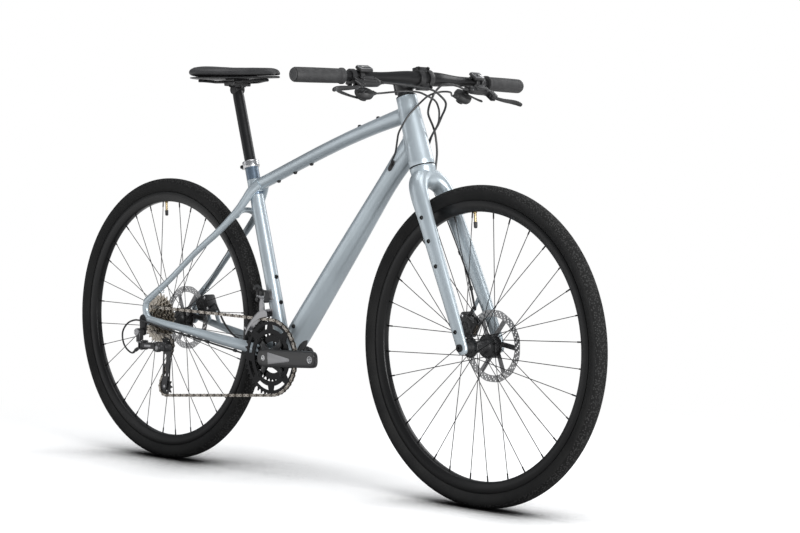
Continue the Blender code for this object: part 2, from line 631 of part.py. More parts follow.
SIDES = ((-1.0, "right", radians(24.0)), (1.0, "left", radians(38.0)))
LEVER_CLAMP_AT = GRIP_START - 0.0234
LEVER_PIVOT_AT = LEVER_CLAMP_AT + 0.0070
MASTER_END = LEVER_CLAMP_AT - 0.0600
SHIFTER_AT = LEVER_CLAMP_AT - 0.0210
POD_AT = SHIFTER_AT - 0.0190
LEVER_HALF_HEIGHT = 0.0041


class Cockpit:
    """Directions and places around one end of the handlebar."""

    def __init__(self, side, droop):
        self.side = side
        self.out = unit(bar_point(side, 0.340) - bar_point(side, 0.140))
        level = unit(Vector((1.0, 0.0, 0.0)) - self.out * self.out.x)
        upright = unit(level.cross(self.out) * side)
        self.ahead = level * cos(droop) - upright * sin(droop)
        self.up = upright * cos(droop) + level * sin(droop)

    def at(self, distance, ahead=0.0, up=0.0):
        return bar_point(self.side, distance) + self.ahead * ahead + self.up * up

    def block(self, distance, ahead, up, sizes):
        return block(self.at(distance, ahead, up), (self.out, self.ahead, self.up), sizes)

    def collar(self, distance, width, outer):
        """A round band on the bar; its bore is cut by bar_bore."""
        return rod(self.at(distance) - self.out * width * 0.5, self.at(distance) + self.out * width * 0.5, outer, 16)

    def bar_bore(self):
        return rod(self.at(POD_AT - 0.026), self.at(LEVER_CLAMP_AT + 0.1), BAR_GRIP_RADIUS + GAP, 16)


# Rows of (out from the pivot, ahead, up, half depth, half width) along a brake lever's blade
lever_rows = [(0.0, 0.0470, -0.0030, 0.0038, 0.0036), (0.0130, 0.0540, -0.0030, 0.0036, 0.0038),
              (0.0330, 0.0580, -0.0035, 0.0034, 0.0045), (0.0580, 0.0600, -0.0040, 0.0034, 0.0055),
              (0.0750, 0.0640, -0.0040, 0.0036, 0.0055), (0.0860, 0.0700, -0.0040, 0.0040, 0.0045)]
# Rows of (out from the pod's axis, ahead, up, half depth, half width) along the two shift levers
thumb_rows = [(0.0, 0.0080, -0.0487, 0.0055, 0.0020), (0.0200, -0.0060, -0.0487, 0.0050, 0.0020),
              (0.0360, -0.0200, -0.0470, 0.0065, 0.0026), (0.0460, -0.0290, -0.0450, 0.0055, 0.0026)]
trigger_rows = [(0.0, 0.0080, -0.0253, 0.0040, 0.0015), (0.0160, 0.0230, -0.0253, 0.0038, 0.0015),
                (0.0300, 0.0330, -0.0253, 0.0042, 0.0018), (0.0380, 0.0345, -0.0253, 0.0038, 0.0018)]
for side, word, droop in SIDES:
    hand = Cockpit(side, droop)
    bore = BAR_GRIP_RADIUS + GAP
    grip = turned([(GRIP_LENGTH - GRIP_CAP, bore), (0.0, bore), (0.0, GRIP_RADIUS + 0.0018),
                   (0.006, GRIP_RADIUS + 0.0018), (0.009, GRIP_RADIUS - 0.0005),
                   (GRIP_LENGTH - 0.004, GRIP_RADIUS), (GRIP_LENGTH, GRIP_RADIUS - 0.004)],
                  hand.at(GRIP_START), hand.out, 16, closed=False)
    finish(grip, "grip_" + word, steering, RUBBER, 0.75)

    body = hand.collar(LEVER_CLAMP_AT, 0.012, 0.0165)
    cylinder = rod(hand.at(LEVER_CLAMP_AT + 0.006, 0.0300, -0.003), hand.at(MASTER_END, 0.0250, -0.003), 0.0095, 12)
    fuse(body, hand.block(LEVER_CLAMP_AT, 0.0210, -0.0020, (0.0118, 0.0160, 0.0150)), cylinder,
         hand.block(LEVER_PIVOT_AT, 0.0420, -0.0030, (0.0170, 0.0240, 0.0170)))
    slot = hand.block(LEVER_PIVOT_AT + 0.0120, 0.0530, -0.0030, (0.0500, 0.0330, 2.0 * (LEVER_HALF_HEIGHT + GAP)))
    cut(body, hand.bar_bore(), slot)
    finish(body, "brake_lever_body_" + word, steering, SATIN_BLACK, 0.42, 0.2)

    lever_axis = hand.at(LEVER_PIVOT_AT, 0.0470, -0.0030)
    height = hand.up * LEVER_HALF_HEIGHT
    lever = rod(lever_axis - height, lever_axis + height, 0.0055, 12)
    blade = swept([(hand.at(LEVER_PIVOT_AT + out, ahead, up), half_depth, half_width)
                   for out, ahead, up, half_depth, half_width in lever_rows], 10, wide=hand.up)
    fuse(lever, blade)
    brake_pivot = pivot("brake_lever_axis_" + word, lever_axis, steering)
    finish(lever, "brake_lever_" + word, brake_pivot, SATIN_BLACK, 0.38, 0.3)

    shifter = hand.collar(SHIFTER_AT, 0.011, 0.0158)
    window = hand.block(SHIFTER_AT - 0.0060, 0.0030, 0.0200, (0.0340, 0.0250, 0.0105))
    neck = hand.block(POD_AT + 0.0160, -0.0020, -0.0200, (0.0130, 0.0140, 0.0200))
    pod_axis = hand.at(POD_AT, 0.0080)
    pod = turned([(-0.0460, 0.0130), (-0.0430, 0.0185), (-0.0360, 0.0215), (-0.0275, 0.0200)],
                 pod_axis, hand.up, 16, closed=False)
    fuse(shifter, window, neck, pod)
    cut(shifter, hand.bar_bore())
    finish(shifter, "shifter_body_" + word, steering, SATIN_BLACK, 0.42, 0.2)

    thumb = rod(pod_axis - hand.up * 0.0510, pod_axis - hand.up * 0.0463, 0.0085, 12)
    paddle = swept([(hand.at(POD_AT + out, ahead, up), half_depth, half_width)
                    for out, ahead, up, half_depth, half_width in thumb_rows], 8, wide=hand.up)
    fuse(thumb, paddle)
    thumb_pivot = pivot("shift_lever_axis_" + word, pod_axis - hand.up * 0.0487, steering)
    finish(thumb, "shift_lever_" + word, thumb_pivot, SATIN_BLACK, 0.45)
    trigger = rod(pod_axis - hand.up * 0.0271, pod_axis - hand.up * 0.0235, 0.0070, 12)
    finger = swept([(hand.at(POD_AT + out, ahead, up), half_depth, half_width)
                    for out, ahead, up, half_depth, half_width in trigger_rows], 8, wide=hand.up)
    fuse(trigger, finger)
    trigger_pivot = pivot("release_lever_axis_" + word, pod_axis - hand.up * 0.0253, steering)
    finish(trigger, "release_lever_" + word, trigger_pivot, SATIN_BLACK, 0.45)

# Wheels: open tyres, hollow-backed rims, hubs laced with crossed spokes, six-arm brake rotors


def tyre_profile():
    """The carcass: outside from bead to crown to bead, then back along the inside."""
    flange_top = BEAD_RADIUS + FLANGE_HEIGHT
    half = TYRE_WIDTH * 0.5
    bead_out = RIM_WIDTH * 0.5 - RIM_WALL - GAP
    bead_in = bead_out - TYRE_WALL
    outside = [(bead_out, BEAD_RADIUS), (bead_out, flange_top + 0.0008), (half, BEAD_RADIUS + TYRE_HEIGHT * 0.50),
               (half * 0.72, BEAD_RADIUS + TYRE_HEIGHT * 0.85)]
    inside = [(half * 0.60, TYRE_RADIUS - TYRE_WALL - 0.0055), (half - TYRE_WALL, BEAD_RADIUS + TYRE_HEIGHT * 0.50),
              (bead_in, flange_top + 0.0030), (bead_in, BEAD_RADIUS)]
    right = [(-y, r) for y, r in outside[::-1]]
    back = [(-y, r) for y, r in inside[::-1]]
    return outside + [(0.0, TYRE_RADIUS)] + right + back + [(0.0, TYRE_RADIUS - TYRE_WALL)] + inside


def rim_profile():
    half = RIM_WIDTH * 0.5
    seat = BEAD_RADIUS - GAP
    top = BEAD_RADIUS + FLANGE_HEIGHT
    foot = top - RIM_DEPTH
    inner = half - RIM_WALL
    return [(half, top), (half, seat - 0.004), (half - 0.0035, foot), (-half + 0.0035, foot), (-half, seat - 0.004),
            (-half, top), (-inner, top), (-inner, seat), (inner, seat), (inner, top)]


SPOKE_BED = BEAD_RADIUS + FLANGE_HEIGHT - RIM_DEPTH
SPOKE_OFFSET = 0.0016


def add_spokes(hub, axle, flanges):
    """Fuses every spoke to the hub; neighbours on a flange lean opposite ways and pass at its two faces."""
    for flange_y, flange_radius, phase in flanges:
        root = flange_radius - 0.0035
        away = 1.0 if flange_y > 0.0 else -1.0
        for i in range(SPOKES_PER_FLANGE):
            lean = 1.0 if i % 2 == 0 else -1.0
            pair_step = 2.0 * pi / (SPOKES_PER_FLANGE // 2)
            start_angle = phase + pair_step * (i // 2) + (pair_step * 0.5 if lean < 0.0 else 0.0)
            end_angle = start_angle + lean * pair_step * SPOKE_CROSSINGS * 0.5
            start = axle + Vector((cos(start_angle), 0.0, sin(start_angle))) * root
            start.y = flange_y + SPOKE_OFFSET * lean * away
            end = axle + Vector((cos(end_angle), 0.0, sin(end_angle))) * (SPOKE_BED * cos(pi / WHEEL_STEPS) - GAP - 0.0002)
            end.y = (0.0026 + 0.0011 * lean) * away
            fuse(hub, rod(start, end, SPOKE_WIDTH * 0.6, 3))


def make_wheel(word, axle, carrier, hub_profile, flanges, rotor_plane):
    steps = WHEEL_STEPS
    tyre = turned(tyre_profile(), axle, Y_AXIS, steps)
    finish(tyre, word + "_tyre", carrier, RUBBER, 0.85)
    rim = turned(rim_profile(), axle, Y_AXIS, steps)
    finish(rim, word + "_rim", carrier, SATIN_BLACK, 0.4, 0.3)
    hub = turned(hub_profile, axle, Y_AXIS, 16)
    add_spokes(hub, axle, flanges)
    finish(hub, word + "_hub", carrier, SATIN_BLACK, 0.4, 0.4)
    inner = ROTOR_RADIUS - 0.0145
    holes = [circle(axle.x, axle.z, ROTOR_BORE + GAP, 16)]
    arm_half = 0.0042
    for i in range(6):
        turn = 2.0 * pi * i / 6.0
        window = []
        for radius, steps_here in ((inner, 5), (0.0240, 3)):
            side_angle = arm_half / radius
            first = turn + side_angle + (0.0 if radius == inner else 0.22)
            last = turn + 2.0 * pi / 6.0 - side_angle + (0.0 if radius == inner else 0.22)
            span = [first + (last - first) * k / (steps_here - 1) for k in range(steps_here)]
            if radius != inner:
                span = span[::-1]
            window += [(axle.x + radius * cos(a), axle.z + radius * sin(a)) for a in span]
        holes.append(window)
    rotor = plate(circle(axle.x, axle.z, ROTOR_RADIUS, 30), holes,
                  rotor_plane - ROTOR_THICKNESS * 0.5, rotor_plane + ROTOR_THICKNESS * 0.5)
    finish(rotor, word + "_rotor", carrier, STEEL, 0.28, 1.0)


HUB_BORE = AXLE_RADIUS + 0.0004
front_end = FRONT_SPACING * 0.5
rotor_shoulder = FRONT_ROTOR_PLANE - ROTOR_THICKNESS * 0.5 - GAP
rotor_boss = FRONT_ROTOR_PLANE + ROTOR_THICKNESS * 0.5 + 0.0015
front_profile = [(-front_end, HUB_BORE), (-front_end, 0.0100), (-0.0350, 0.0120), (-0.0340, 0.0225),
                 (-0.0310, 0.0225), (-0.0290, 0.0135), (0.0150, 0.0135), (0.0190, 0.0265), (0.0225, 0.0265),
                 (rotor_shoulder, 0.0205), (rotor_shoulder, ROTOR_BORE), (rotor_boss, ROTOR_BORE),
                 (rotor_boss, 0.0110), (front_end, 0.0100), (front_end, HUB_BORE)]
make_wheel("front", FRONT_AXLE, front_wheel, front_profile,
           ((-0.0325, 0.0225, 0.10), (0.0208, 0.0265, 0.10 + pi / SPOKES_PER_FLANGE)), FRONT_ROTOR_PLANE)
rear_shoulder = REAR_ROTOR_PLANE - ROTOR_THICKNESS * 0.5 - GAP
rear_boss = REAR_ROTOR_PLANE + ROTOR_THICKNESS * 0.5 + 0.0015
FREEHUB_FOOT = -0.0320
rear_profile = [(FREEHUB_FOOT + GAP, HUB_BORE), (FREEHUB_FOOT + GAP, 0.0170), (-0.0200, 0.0190), (-0.0200, 0.0250),
                (-0.0160, 0.0250), (-0.0130, 0.0150), (0.0280, 0.0150), (0.0320, 0.0250), (0.0355, 0.0250),
                (rear_shoulder, 0.0205), (rear_shoulder, ROTOR_BORE), (rear_boss, ROTOR_BORE),
                (rear_boss, 0.0120), (REAR_SPACING * 0.5, 0.0110), (REAR_SPACING * 0.5, HUB_BORE)]
make_wheel("rear", REAR_AXLE, rear_wheel, rear_profile,
           ((-0.0180, 0.0250, 0.10), (0.0338, 0.0250, 0.10 + pi / SPOKES_PER_FLANGE)), REAR_ROTOR_PLANE)

# Thru axles
front_outer = 0.0660
front_axle = rod(FRONT_AXLE - Y_AXIS * front_outer, FRONT_AXLE + Y_AXIS * (front_outer + 0.001), AXLE_RADIUS, 16)
fuse(front_axle, rod(FRONT_AXLE - Y_AXIS * (front_outer + 0.0035), FRONT_AXLE - Y_AXIS * (front_outer - 0.0002), 0.0085, 16))
finish(front_axle, "front_axle", steering, SATIN_BLACK, 0.45, 0.3)
rear_head = DROPOUT_FACE + 0.0005
rear_axle = rod(REAR_AXLE - Y_AXIS * (DROPOUT_FACE - 0.0026), REAR_AXLE + Y_AXIS * (rear_head + 0.001), AXLE_RADIUS, 16)
fuse(rear_axle, rod(REAR_AXLE + Y_AXIS * rear_head, REAR_AXLE + Y_AXIS * (rear_head + 0.0035), AXLE_HEAD_RADIUS, 16))
finish(rear_axle, "rear_axle", None, SATIN_BLACK, 0.45, 0.3)

# Seat clamp, seatpost and saddle

CLAMP_BAND_BORE = 0.0166
band_low = SEAT_TUBE_LENGTH - 0.0135
band_high = SEAT_TUBE_LENGTH
band_middle = (band_low + band_high) * 0.5
seat_clamp = turned([(band_low, CLAMP_BAND_BORE - 0.004), (band_low, 0.0200), (band_high, 0.0200),
                     (band_high, CLAMP_BAND_BORE - 0.004)], BRACKET, SEAT_UP, 20)
fuse(seat_clamp, block(seat_point(band_middle, -0.0222), (SEAT_FORWARD, Y_AXIS, SEAT_UP), (0.0090, 0.0180, 0.0120)))
cut(seat_clamp, rod(seat_point(band_low - 0.01), seat_point(band_high + 0.01), CLAMP_BAND_BORE, 20),
    block(seat_point(band_middle, -0.0240), (SEAT_FORWARD, Y_AXIS, SEAT_UP), (0.0200, 0.0020, 0.0300)))
finish(seat_clamp, "seat_clamp", None, ALLOY, 0.3, 0.9)

POST_TOP = SEAT_TUBE_LENGTH + SEATPOST_RISE
HEAD_RADIUS = 0.0120
HEAD_HALF_WIDTH = 0.0135
seat_head = seat_point(POST_TOP)
seatpost = rod(seat_point(POST_TOP - SEATPOST_LENGTH), seat_point(POST_TOP), SEATPOST_RADIUS, 20)
fuse(seatpost, rod(seat_head - Y_AXIS * HEAD_HALF_WIDTH, seat_head + Y_AXIS * HEAD_HALF_WIDTH, HEAD_RADIUS, 20))
cut(seatpost, rod(seat_point(POST_TOP - SEATPOST_LENGTH - 0.01), seat_point(POST_TOP - 0.030), SEATPOST_RADIUS - TUBE_WALL, 14))
finish(seatpost, "seatpost", seat_slide, SATIN_BLACK, 0.4, 0.3)

SHELL_THICKNESS = 0.0056
RAIL_LOW = seat_head.z + HEAD_RADIUS + 0.0060
RAIL_HIGH = RAIL_LOW + RAIL_RISE
SHELL_UNDERSIDE = RAIL_HIGH + RAIL_RADIUS + GAP
SADDLE_TOP = SHELL_UNDERSIDE + SADDLE_DEPTH
saddle_rear = seat_head.x - 0.1245
rail_half = RAIL_SPACING * 0.5
tilt = pivot("saddle_tilt_axis", seat_head, seat_slide)

saddle_clamp = block((seat_head.x, 0.0, RAIL_LOW - 0.0020), (Vector((1, 0, 0)), Y_AXIS, Vector((0, 0, 1))),
                     (0.0400, RAIL_SPACING + 0.0130, 0.0165))
cut(saddle_clamp, rod(seat_head - Y_AXIS * 0.05, seat_head + Y_AXIS * 0.05, HEAD_RADIUS + GAP, 24),
    rod((seat_head.x - 0.05, rail_half, RAIL_LOW), (seat_head.x + 0.05, rail_half, RAIL_LOW), RAIL_RADIUS + GAP, 12),
    rod((seat_head.x - 0.05, -rail_half, RAIL_LOW), (seat_head.x + 0.05, -rail_half, RAIL_LOW), RAIL_RADIUS + GAP, 12))
finish(saddle_clamp, "saddle_clamp", tilt, SATIN_BLACK, 0.4, 0.3)

# Rows of (distance from the saddle's rear, side, raised share)
rail_rows = [(0.0260, 0.0380, 1.0), (0.0400, 0.0350, 0.92), (0.0620, 0.0262, 0.35), (0.0780, rail_half, 0.0),
             (0.1650, rail_half, 0.0), (0.1850, rail_half - 0.0035, 0.25), (0.2120, 0.0120, 0.92), (0.2240, 0.0085, 1.0),
             (0.2290, 0.0040, 1.0)]
rail_path = [(Vector((saddle_rear + x, y, RAIL_LOW + (RAIL_HIGH - RAIL_LOW) * up)), RAIL_RADIUS, RAIL_RADIUS)
             for x, y, up in rail_rows]
rail_path += [(Vector((c.x, -c.y, c.z)), a, b) for c, a, b in rail_path[::-1]]
saddle_rails = swept(rail_path, 8, wide=Vector((0.0, 0.0, 1.0)))
saddle_slide = pivot("saddle_slide_axis", Vector((seat_head.x, 0.0, RAIL_LOW)), tilt)

# Rows of (distance from the rear, half width share, top below the highest point)
saddle_rows = [(0.0000, 0.36, 0.0085), (0.0040, 0.56, 0.0045), (0.0140, 0.80, 0.0015), (0.0300, 0.95, 0.0000),
               (0.0480, 1.00, 0.0005), (0.0680, 0.96, 0.0015), (0.0880, 0.84, 0.0030), (0.1080, 0.70, 0.0040),
               (0.1300, 0.53, 0.0048), (0.1550, 0.40, 0.0052), (0.1850, 0.31, 0.0055), (0.2150, 0.265, 0.0060),
               (0.2400, 0.245, 0.0072), (0.2560, 0.22, 0.0095), (0.2650, 0.17, 0.0125), (0.2700, 0.09, 0.0165)]


def saddle_piece(low, share, top_of):
    stations = []
    for x, wide, below in saddle_rows:
        x = saddle_rear + x * SADDLE_LENGTH / 0.27
        high = top_of(below)
        stations.append((Vector((x, 0.0, (low + high) * 0.5)), (high - low) * 0.5, SADDLE_WIDTH * 0.5 * wide * share))
    return stations


shell_high = SHELL_UNDERSIDE + SHELL_THICKNESS
saddle_shell = swept(saddle_piece(SHELL_UNDERSIDE, 0.94, lambda below: shell_high)[1:-1:2], 12, square=0.8)
saddle_cover = swept(saddle_piece(shell_high + GAP, 1.0, lambda below: SADDLE_TOP - below), 16, square=0.72)
for piece, name, roughness in ((saddle_rails, "saddle_rails", 0.35), (saddle_shell, "saddle_shell", 0.5),
                               (saddle_cover, "saddle_cover", 0.7)):
    finish(piece, name, saddle_slide, SATIN_BLACK, roughness)

# Bottom bracket, cranks and chainrings

flange = shell_half + GAP
SPINDLE_BORE = SPINDLE_RADIUS + GAP
cartridge_radius = SHELL_BORE - GAP
bracket_unit = turned([(-flange - 0.0030, SPINDLE_BORE), (-flange - 0.0030, SHELL_RADIUS - 0.0005),
                       (-flange, SHELL_RADIUS - 0.0005), (-flange, cartridge_radius), (flange, cartridge_radius),
                       (flange, SHELL_RADIUS - 0.0005), (flange + 0.0030, SHELL_RADIUS - 0.0005),
                       (flange + 0.0030, SPINDLE_BORE)], BRACKET, Y_AXIS, 20)
finish(bracket_unit, "bottom_bracket", None, SATIN_BLACK, 0.45, 0.3)
half_spindle = SPINDLE_LENGTH * 0.5
spindle = rod(BRACKET - Y_AXIS * half_spindle, BRACKET + Y_AXIS * half_spindle, SPINDLE_RADIUS, 16)
finish(spindle, "spindle", crankset, STEEL, 0.3, 1.0)

ARM_FACE = half_spindle + 0.0106
PEDAL_FACE = ARM_FACE + 0.0094
crank_along = Vector((cos(CRANK_ANGLE), 0.0, sin(CRANK_ANGLE)))
SPIDER_OUTER = LARGE_RING_PLANE + RING_THICKNESS * 0.5 + GAP
SPIDER_INNER = SMALL_RING_PLANE - RING_THICKNESS * 0.5 - GAP
large_pitch = pitch_radius(LARGE_RING_TEETH)
small_pitch = pitch_radius(SMALL_RING_TEETH)
large_disc = large_pitch - TOOTH_ROOT
small_disc = small_pitch - TOOTH_ROOT
# Rows of (share of the crank length, half height)
arm_rows = [(-0.110, 0.0120), (-0.085, 0.0172), (0.0, 0.0195), (0.16, 0.0180), (0.50, 0.0168), (0.85, 0.0160),
            (1.0, 0.0158), (1.055, 0.0135), (1.085, 0.0080)]


def crank_arm(side):
    along = crank_along * (-side)
    stations = []
    for share, half_height in arm_rows:
        face = ARM_FACE + (PEDAL_FACE - ARM_FACE) * min(1.0, max(0.0, share))
        centre = BRACKET + along * (CRANK_LENGTH * share) + Y_AXIS * (side * (face - CRANK_THICKNESS * 0.5))
        stations.append((centre, half_height, CRANK_THICKNESS * 0.5))
    arm = swept(stations, 10, square=0.55)
    inner = 0.0385 if side < 0.0 else 0.0400
    fuse(arm, rod(BRACKET + Y_AXIS * (side * inner), BRACKET + Y_AXIS * (side * (ARM_FACE - 0.004)), 0.0165, 16))
    return arm, along


right_arm, right_along = crank_arm(-1.0)
for i in range(4):
    angle = CRANK_ANGLE + pi * 0.25 + pi * 0.5 * i
    outward = Vector((cos(angle), 0.0, sin(angle)))
    middle = (SPIDER_OUTER + SPIDER_INNER) * 0.5
    half_thick = (SPIDER_INNER - SPIDER_OUTER) * 0.5
    spoke_arm = swept([(BRACKET + outward * 0.010 + Y_AXIS * (middle - 0.006), 0.0110, 0.0060),
                       (BRACKET + outward * 0.034 + Y_AXIS * (middle - 0.0012), 0.0085, 0.0030)], 8, square=0.5)
    tab = block(BRACKET + outward * 0.045 + Y_AXIS * middle, (outward, Y_AXIS, outward.cross(Y_AXIS)),
                (0.0400, 2.0 * half_thick, 0.0130))
    fuse(right_arm, spoke_arm, tab)
for arm, along, side, word in ((right_arm, right_along, -1.0, "right"), (*crank_arm(1.0), 1.0, "left")):
    pedal_eye = BRACKET + along * CRANK_LENGTH
    cut(arm, rod(BRACKET, BRACKET + Y_AXIS * (side * (half_spindle + GAP)), SPINDLE_BORE, 16),
        rod(pedal_eye + Y_AXIS * (side * 0.05), pedal_eye + Y_AXIS * (side * 0.10), 0.0068, 16))
    finish(arm, "crank_arm_" + word, crankset, SATIN_BLACK, 0.42, 0.2)

TAB_END = 0.0650
large_ring = plate(circle(BRACKET.x, BRACKET.z, large_disc, 56), [circle(BRACKET.x, BRACKET.z, TAB_END - 0.009, 32)],
                   LARGE_RING_PLANE - RING_THICKNESS * 0.5, LARGE_RING_PLANE + RING_THICKNESS * 0.5)
finish(large_ring, "chainring_large", crankset, GLOSS_BLACK, 0.35, 0.4)
small_ring = plate(circle(BRACKET.x, BRACKET.z, small_disc, 40), [circle(BRACKET.x, BRACKET.z, small_disc - 0.0150, 28)],
                   SMALL_RING_PLANE - RING_THICKNESS * 0.5, SMALL_RING_PLANE + RING_THICKNESS * 0.5)
finish(small_ring, "chainring_small", crankset, GLOSS_BLACK, 0.35, 0.4)

# Cassette and chain

FIRST_COG_PLANE = -0.0665
CASSETTE_END = -0.0705
cassette = pivot("cassette_axis", REAR_AXLE)
cog_profile = [(CASSETTE_END, HUB_BORE), (CASSETTE_END, 0.0150)]
for i, teeth in enumerate(COG_TEETH):
    plane = FIRST_COG_PLANE + COG_SPACING * i
    disc = pitch_radius(teeth) - TOOTH_ROOT
    low = plane - COG_THICKNESS * 0.5
    high = plane + COG_THICKNESS * 0.5
    cog_profile += [(low, 0.0150), (low, disc), (high, disc)]
    if i < len(COG_TEETH) - 1:
        cog_profile.append((high, 0.0150))
cog_profile.append((cog_profile[-1][0], HUB_BORE))
cog_stack = turned(cog_profile, REAR_AXLE, Y_AXIS, 15)
finish(cog_stack, "cassette", cassette, COG_STEEL, 0.35, 0.9)

COG_PLANE = FIRST_COG_PLANE + COG_SPACING * COG_IN_USE
cog_pitch = pitch_radius(COG_TEETH[COG_IN_USE])
pulley_pitch = pitch_radius(PULLEY_TEETH)
CAGE_AXIS = REAR_AXLE + Vector((0.0780, 0.0, -0.0653))
GUIDE = CAGE_AXIS + Vector((-0.0160, 0.0, 0.0050))
TENSION = CAGE_AXIS + Vector((-0.0200, 0.0, -0.0980))


def tangent_angle(start, start_radius, start_turn, end, end_radius, end_turn):
    """Direction of the straight run between two toothed wheels."""
    gap = (end.x - start.x, end.z - start.z)
    offset = end_turn * end_radius - start_turn * start_radius
    run = sqrt(gap[0] ** 2 + gap[1] ** 2 - offset ** 2)
    return atan2(gap[1], gap[0]) - atan2(offset, run)


loop_wheels = [(BRACKET, large_pitch, 1.0, LARGE_RING_PLANE, 24), (REAR_AXLE, cog_pitch, 1.0, COG_PLANE, 12),
               (GUIDE, pulley_pitch, -1.0, COG_PLANE, 10), (TENSION, pulley_pitch, 1.0, COG_PLANE, 10)]
chain_rings = []
for i, (centre, radius, turn, plane, steps) in enumerate(loop_wheels):
    last = loop_wheels[i - 1]
    following = loop_wheels[(i + 1) % len(loop_wheels)]
    arriving = tangent_angle(last[0], last[1], last[2], centre, radius, turn)
    leaving = tangent_angle(centre, radius, turn, following[0], following[1], following[2])
    sweep = (leaving - arriving) * turn % (2.0 * pi)
    for k in range(steps + 1):
        heading = arriving + turn * sweep * k / steps
        left = Vector((-sin(heading), 0.0, cos(heading)))
        middle = Vector((centre.x, plane, centre.z)) - left * (turn * radius)
        half_up = left * (CHAIN_HEIGHT * 0.5)
        half_side = Y_AXIS * (CHAIN_WIDTH * 0.5)
        chain_rings.append([middle + half_up + half_side, middle + half_up - half_side,
                            middle - half_up - half_side, middle - half_up + half_side])
chain = loft(chain_rings, closed=True)
finish(chain, "chain", None, STEEL, 0.35, 1.0)

# Rear derailleur

hanger = plate(hanger_outline(0.0), [], -DROPOUT_FACE - 0.0005, -DROPOUT_FACE - 0.0072)
finish(hanger, "derailleur_hanger", None, SATIN_BLACK, 0.45, 0.2)

UP = Vector((0.0, 0.0, 1.0))
AHEAD = Vector((1.0, 0.0, 0.0))
LINK_Z = CAGE_AXIS.z + 0.0030
LINK_START = 0.0140
LINK_END = 0.0660
OUTER_LINK_Y = -DROPOUT_FACE - 0.0192
INNER_LINK_Y = OUTER_LINK_Y + 0.0135
LINK_HALF_HEIGHT = 0.0074
PIN_RADIUS = 0.0016
EYE_RADIUS = 0.0042
tab_half = LINK_HALF_HEIGHT + 0.0040
tab_y = (OUTER_LINK_Y + INNER_LINK_Y) * 0.5
tab_width = INNER_LINK_Y - OUTER_LINK_Y + 0.0090
AXES = (AHEAD, Y_AXIS, UP)


def link_pin(x, y):
    """A hinge pin across the slot that a link's eye sits in."""
    return rod((x, y, LINK_Z - tab_half + 0.0010), (x, y, LINK_Z + tab_half - 0.0010), PIN_RADIUS, 8)


knuckle_face = -DROPOUT_FACE - 0.0075
b_knuckle = rod(HANGER_BOLT + Y_AXIS * knuckle_face, HANGER_BOLT + Y_AXIS * (knuckle_face - 0.0175), 0.0095, 16)
neck_low = LINK_Z + tab_half - 0.002
fuse(b_knuckle, block((0.0030, knuckle_face - 0.0095, (neck_low + HANGER_BOLT.z) * 0.5), AXES,
                      (0.0120, 0.0160, HANGER_BOLT.z - neck_low)),
     block((LINK_START - 0.0030, tab_y, LINK_Z), AXES, (0.0160, tab_width, 2.0 * tab_half)))
cut(b_knuckle, block((LINK_START + 0.0035, tab_y, LINK_Z), AXES, (0.0200, tab_width + 0.01, 2.0 * (LINK_HALF_HEIGHT + GAP))))
ADJUSTER_END = Vector((-0.0125, OUTER_LINK_Y + 0.0010, LINK_Z - 0.0150))
adjuster_along = unit(Vector((0.0060, ADJUSTER_END.y, LINK_Z - 0.0050)) - ADJUSTER_END)
fuse(b_knuckle, rod(ADJUSTER_END, ADJUSTER_END + adjuster_along * 0.0190, 0.0042, 10),
     link_pin(LINK_START, OUTER_LINK_Y), link_pin(LINK_START, INNER_LINK_Y))
finish(b_knuckle, "derailleur_b_knuckle", None, SATIN_BLACK, 0.4, 0.3)

link_swings = {}
for word, y in (("outer", OUTER_LINK_Y), ("inner", INNER_LINK_Y)):
    link = block(((LINK_START + LINK_END) * 0.5, y, LINK_Z), AXES,
                 (LINK_END - LINK_START, 0.0036, 2.0 * LINK_HALF_HEIGHT - 0.0002))
    for x in (LINK_START, LINK_END):
        fuse(link, rod((x, y, LINK_Z - LINK_HALF_HEIGHT), (x, y, LINK_Z + LINK_HALF_HEIGHT), EYE_RADIUS, 12))
        cut(link, rod((x, y, LINK_Z - 0.02), (x, y, LINK_Z + 0.02), PIN_RADIUS + GAP, 10))
    swing = pivot("derailleur_link_axis_" + word, Vector((LINK_START, y, LINK_Z)))
    finish(link, "derailleur_link_" + word, swing, SATIN_BLACK, 0.35, 0.5)
    link_swings[word] = swing

p_swing = pivot("derailleur_p_knuckle_axis", Vector((LINK_END, OUTER_LINK_Y, LINK_Z)), link_swings["outer"])
CAGE_OUTER = COG_PLANE - 0.0057
CAGE_INNER = COG_PLANE + 0.0042
CAGE_WALL = 0.0015
barrel_face = CAGE_OUTER - GAP
p_knuckle = block((LINK_END + 0.0070, tab_y, LINK_Z), AXES, (0.0240, tab_width, 2.0 * tab_half))
fuse(p_knuckle, rod((CAGE_AXIS.x, barrel_face, CAGE_AXIS.z),
                    (CAGE_AXIS.x, tab_y + tab_width * 0.5 - 0.002, CAGE_AXIS.z), 0.0100, 16))
cut(p_knuckle, block((LINK_END - 0.0030, tab_y, LINK_Z), AXES,
                     (0.0200, tab_width + 0.004, 2.0 * (LINK_HALF_HEIGHT + GAP))))
fuse(p_knuckle, link_pin(LINK_END, OUTER_LINK_Y), link_pin(LINK_END, INNER_LINK_Y))
cut(p_knuckle, rod((CAGE_AXIS.x, barrel_face + 0.005, CAGE_AXIS.z), (CAGE_AXIS.x, barrel_face - 0.0120, CAGE_AXIS.z), 0.0043, 14))
finish(p_knuckle, "derailleur_p_knuckle", p_swing, SATIN_BLACK, 0.4, 0.3)


def hull(points):
    """The outline around a set of (x, z) points."""
    ordered = sorted(set(points))
    halves = []
    for row in (ordered, ordered[::-1]):
        half = []
        for x, z in row:
            while len(half) > 1:
                ax, az = half[-2]
                bx, bz = half[-1]
                if (bx - ax) * (z - az) - (bz - az) * (x - ax) > 0.0:
                    break
                half.pop()
            half.append((x, z))
        halves += half[:-1]
    return halves


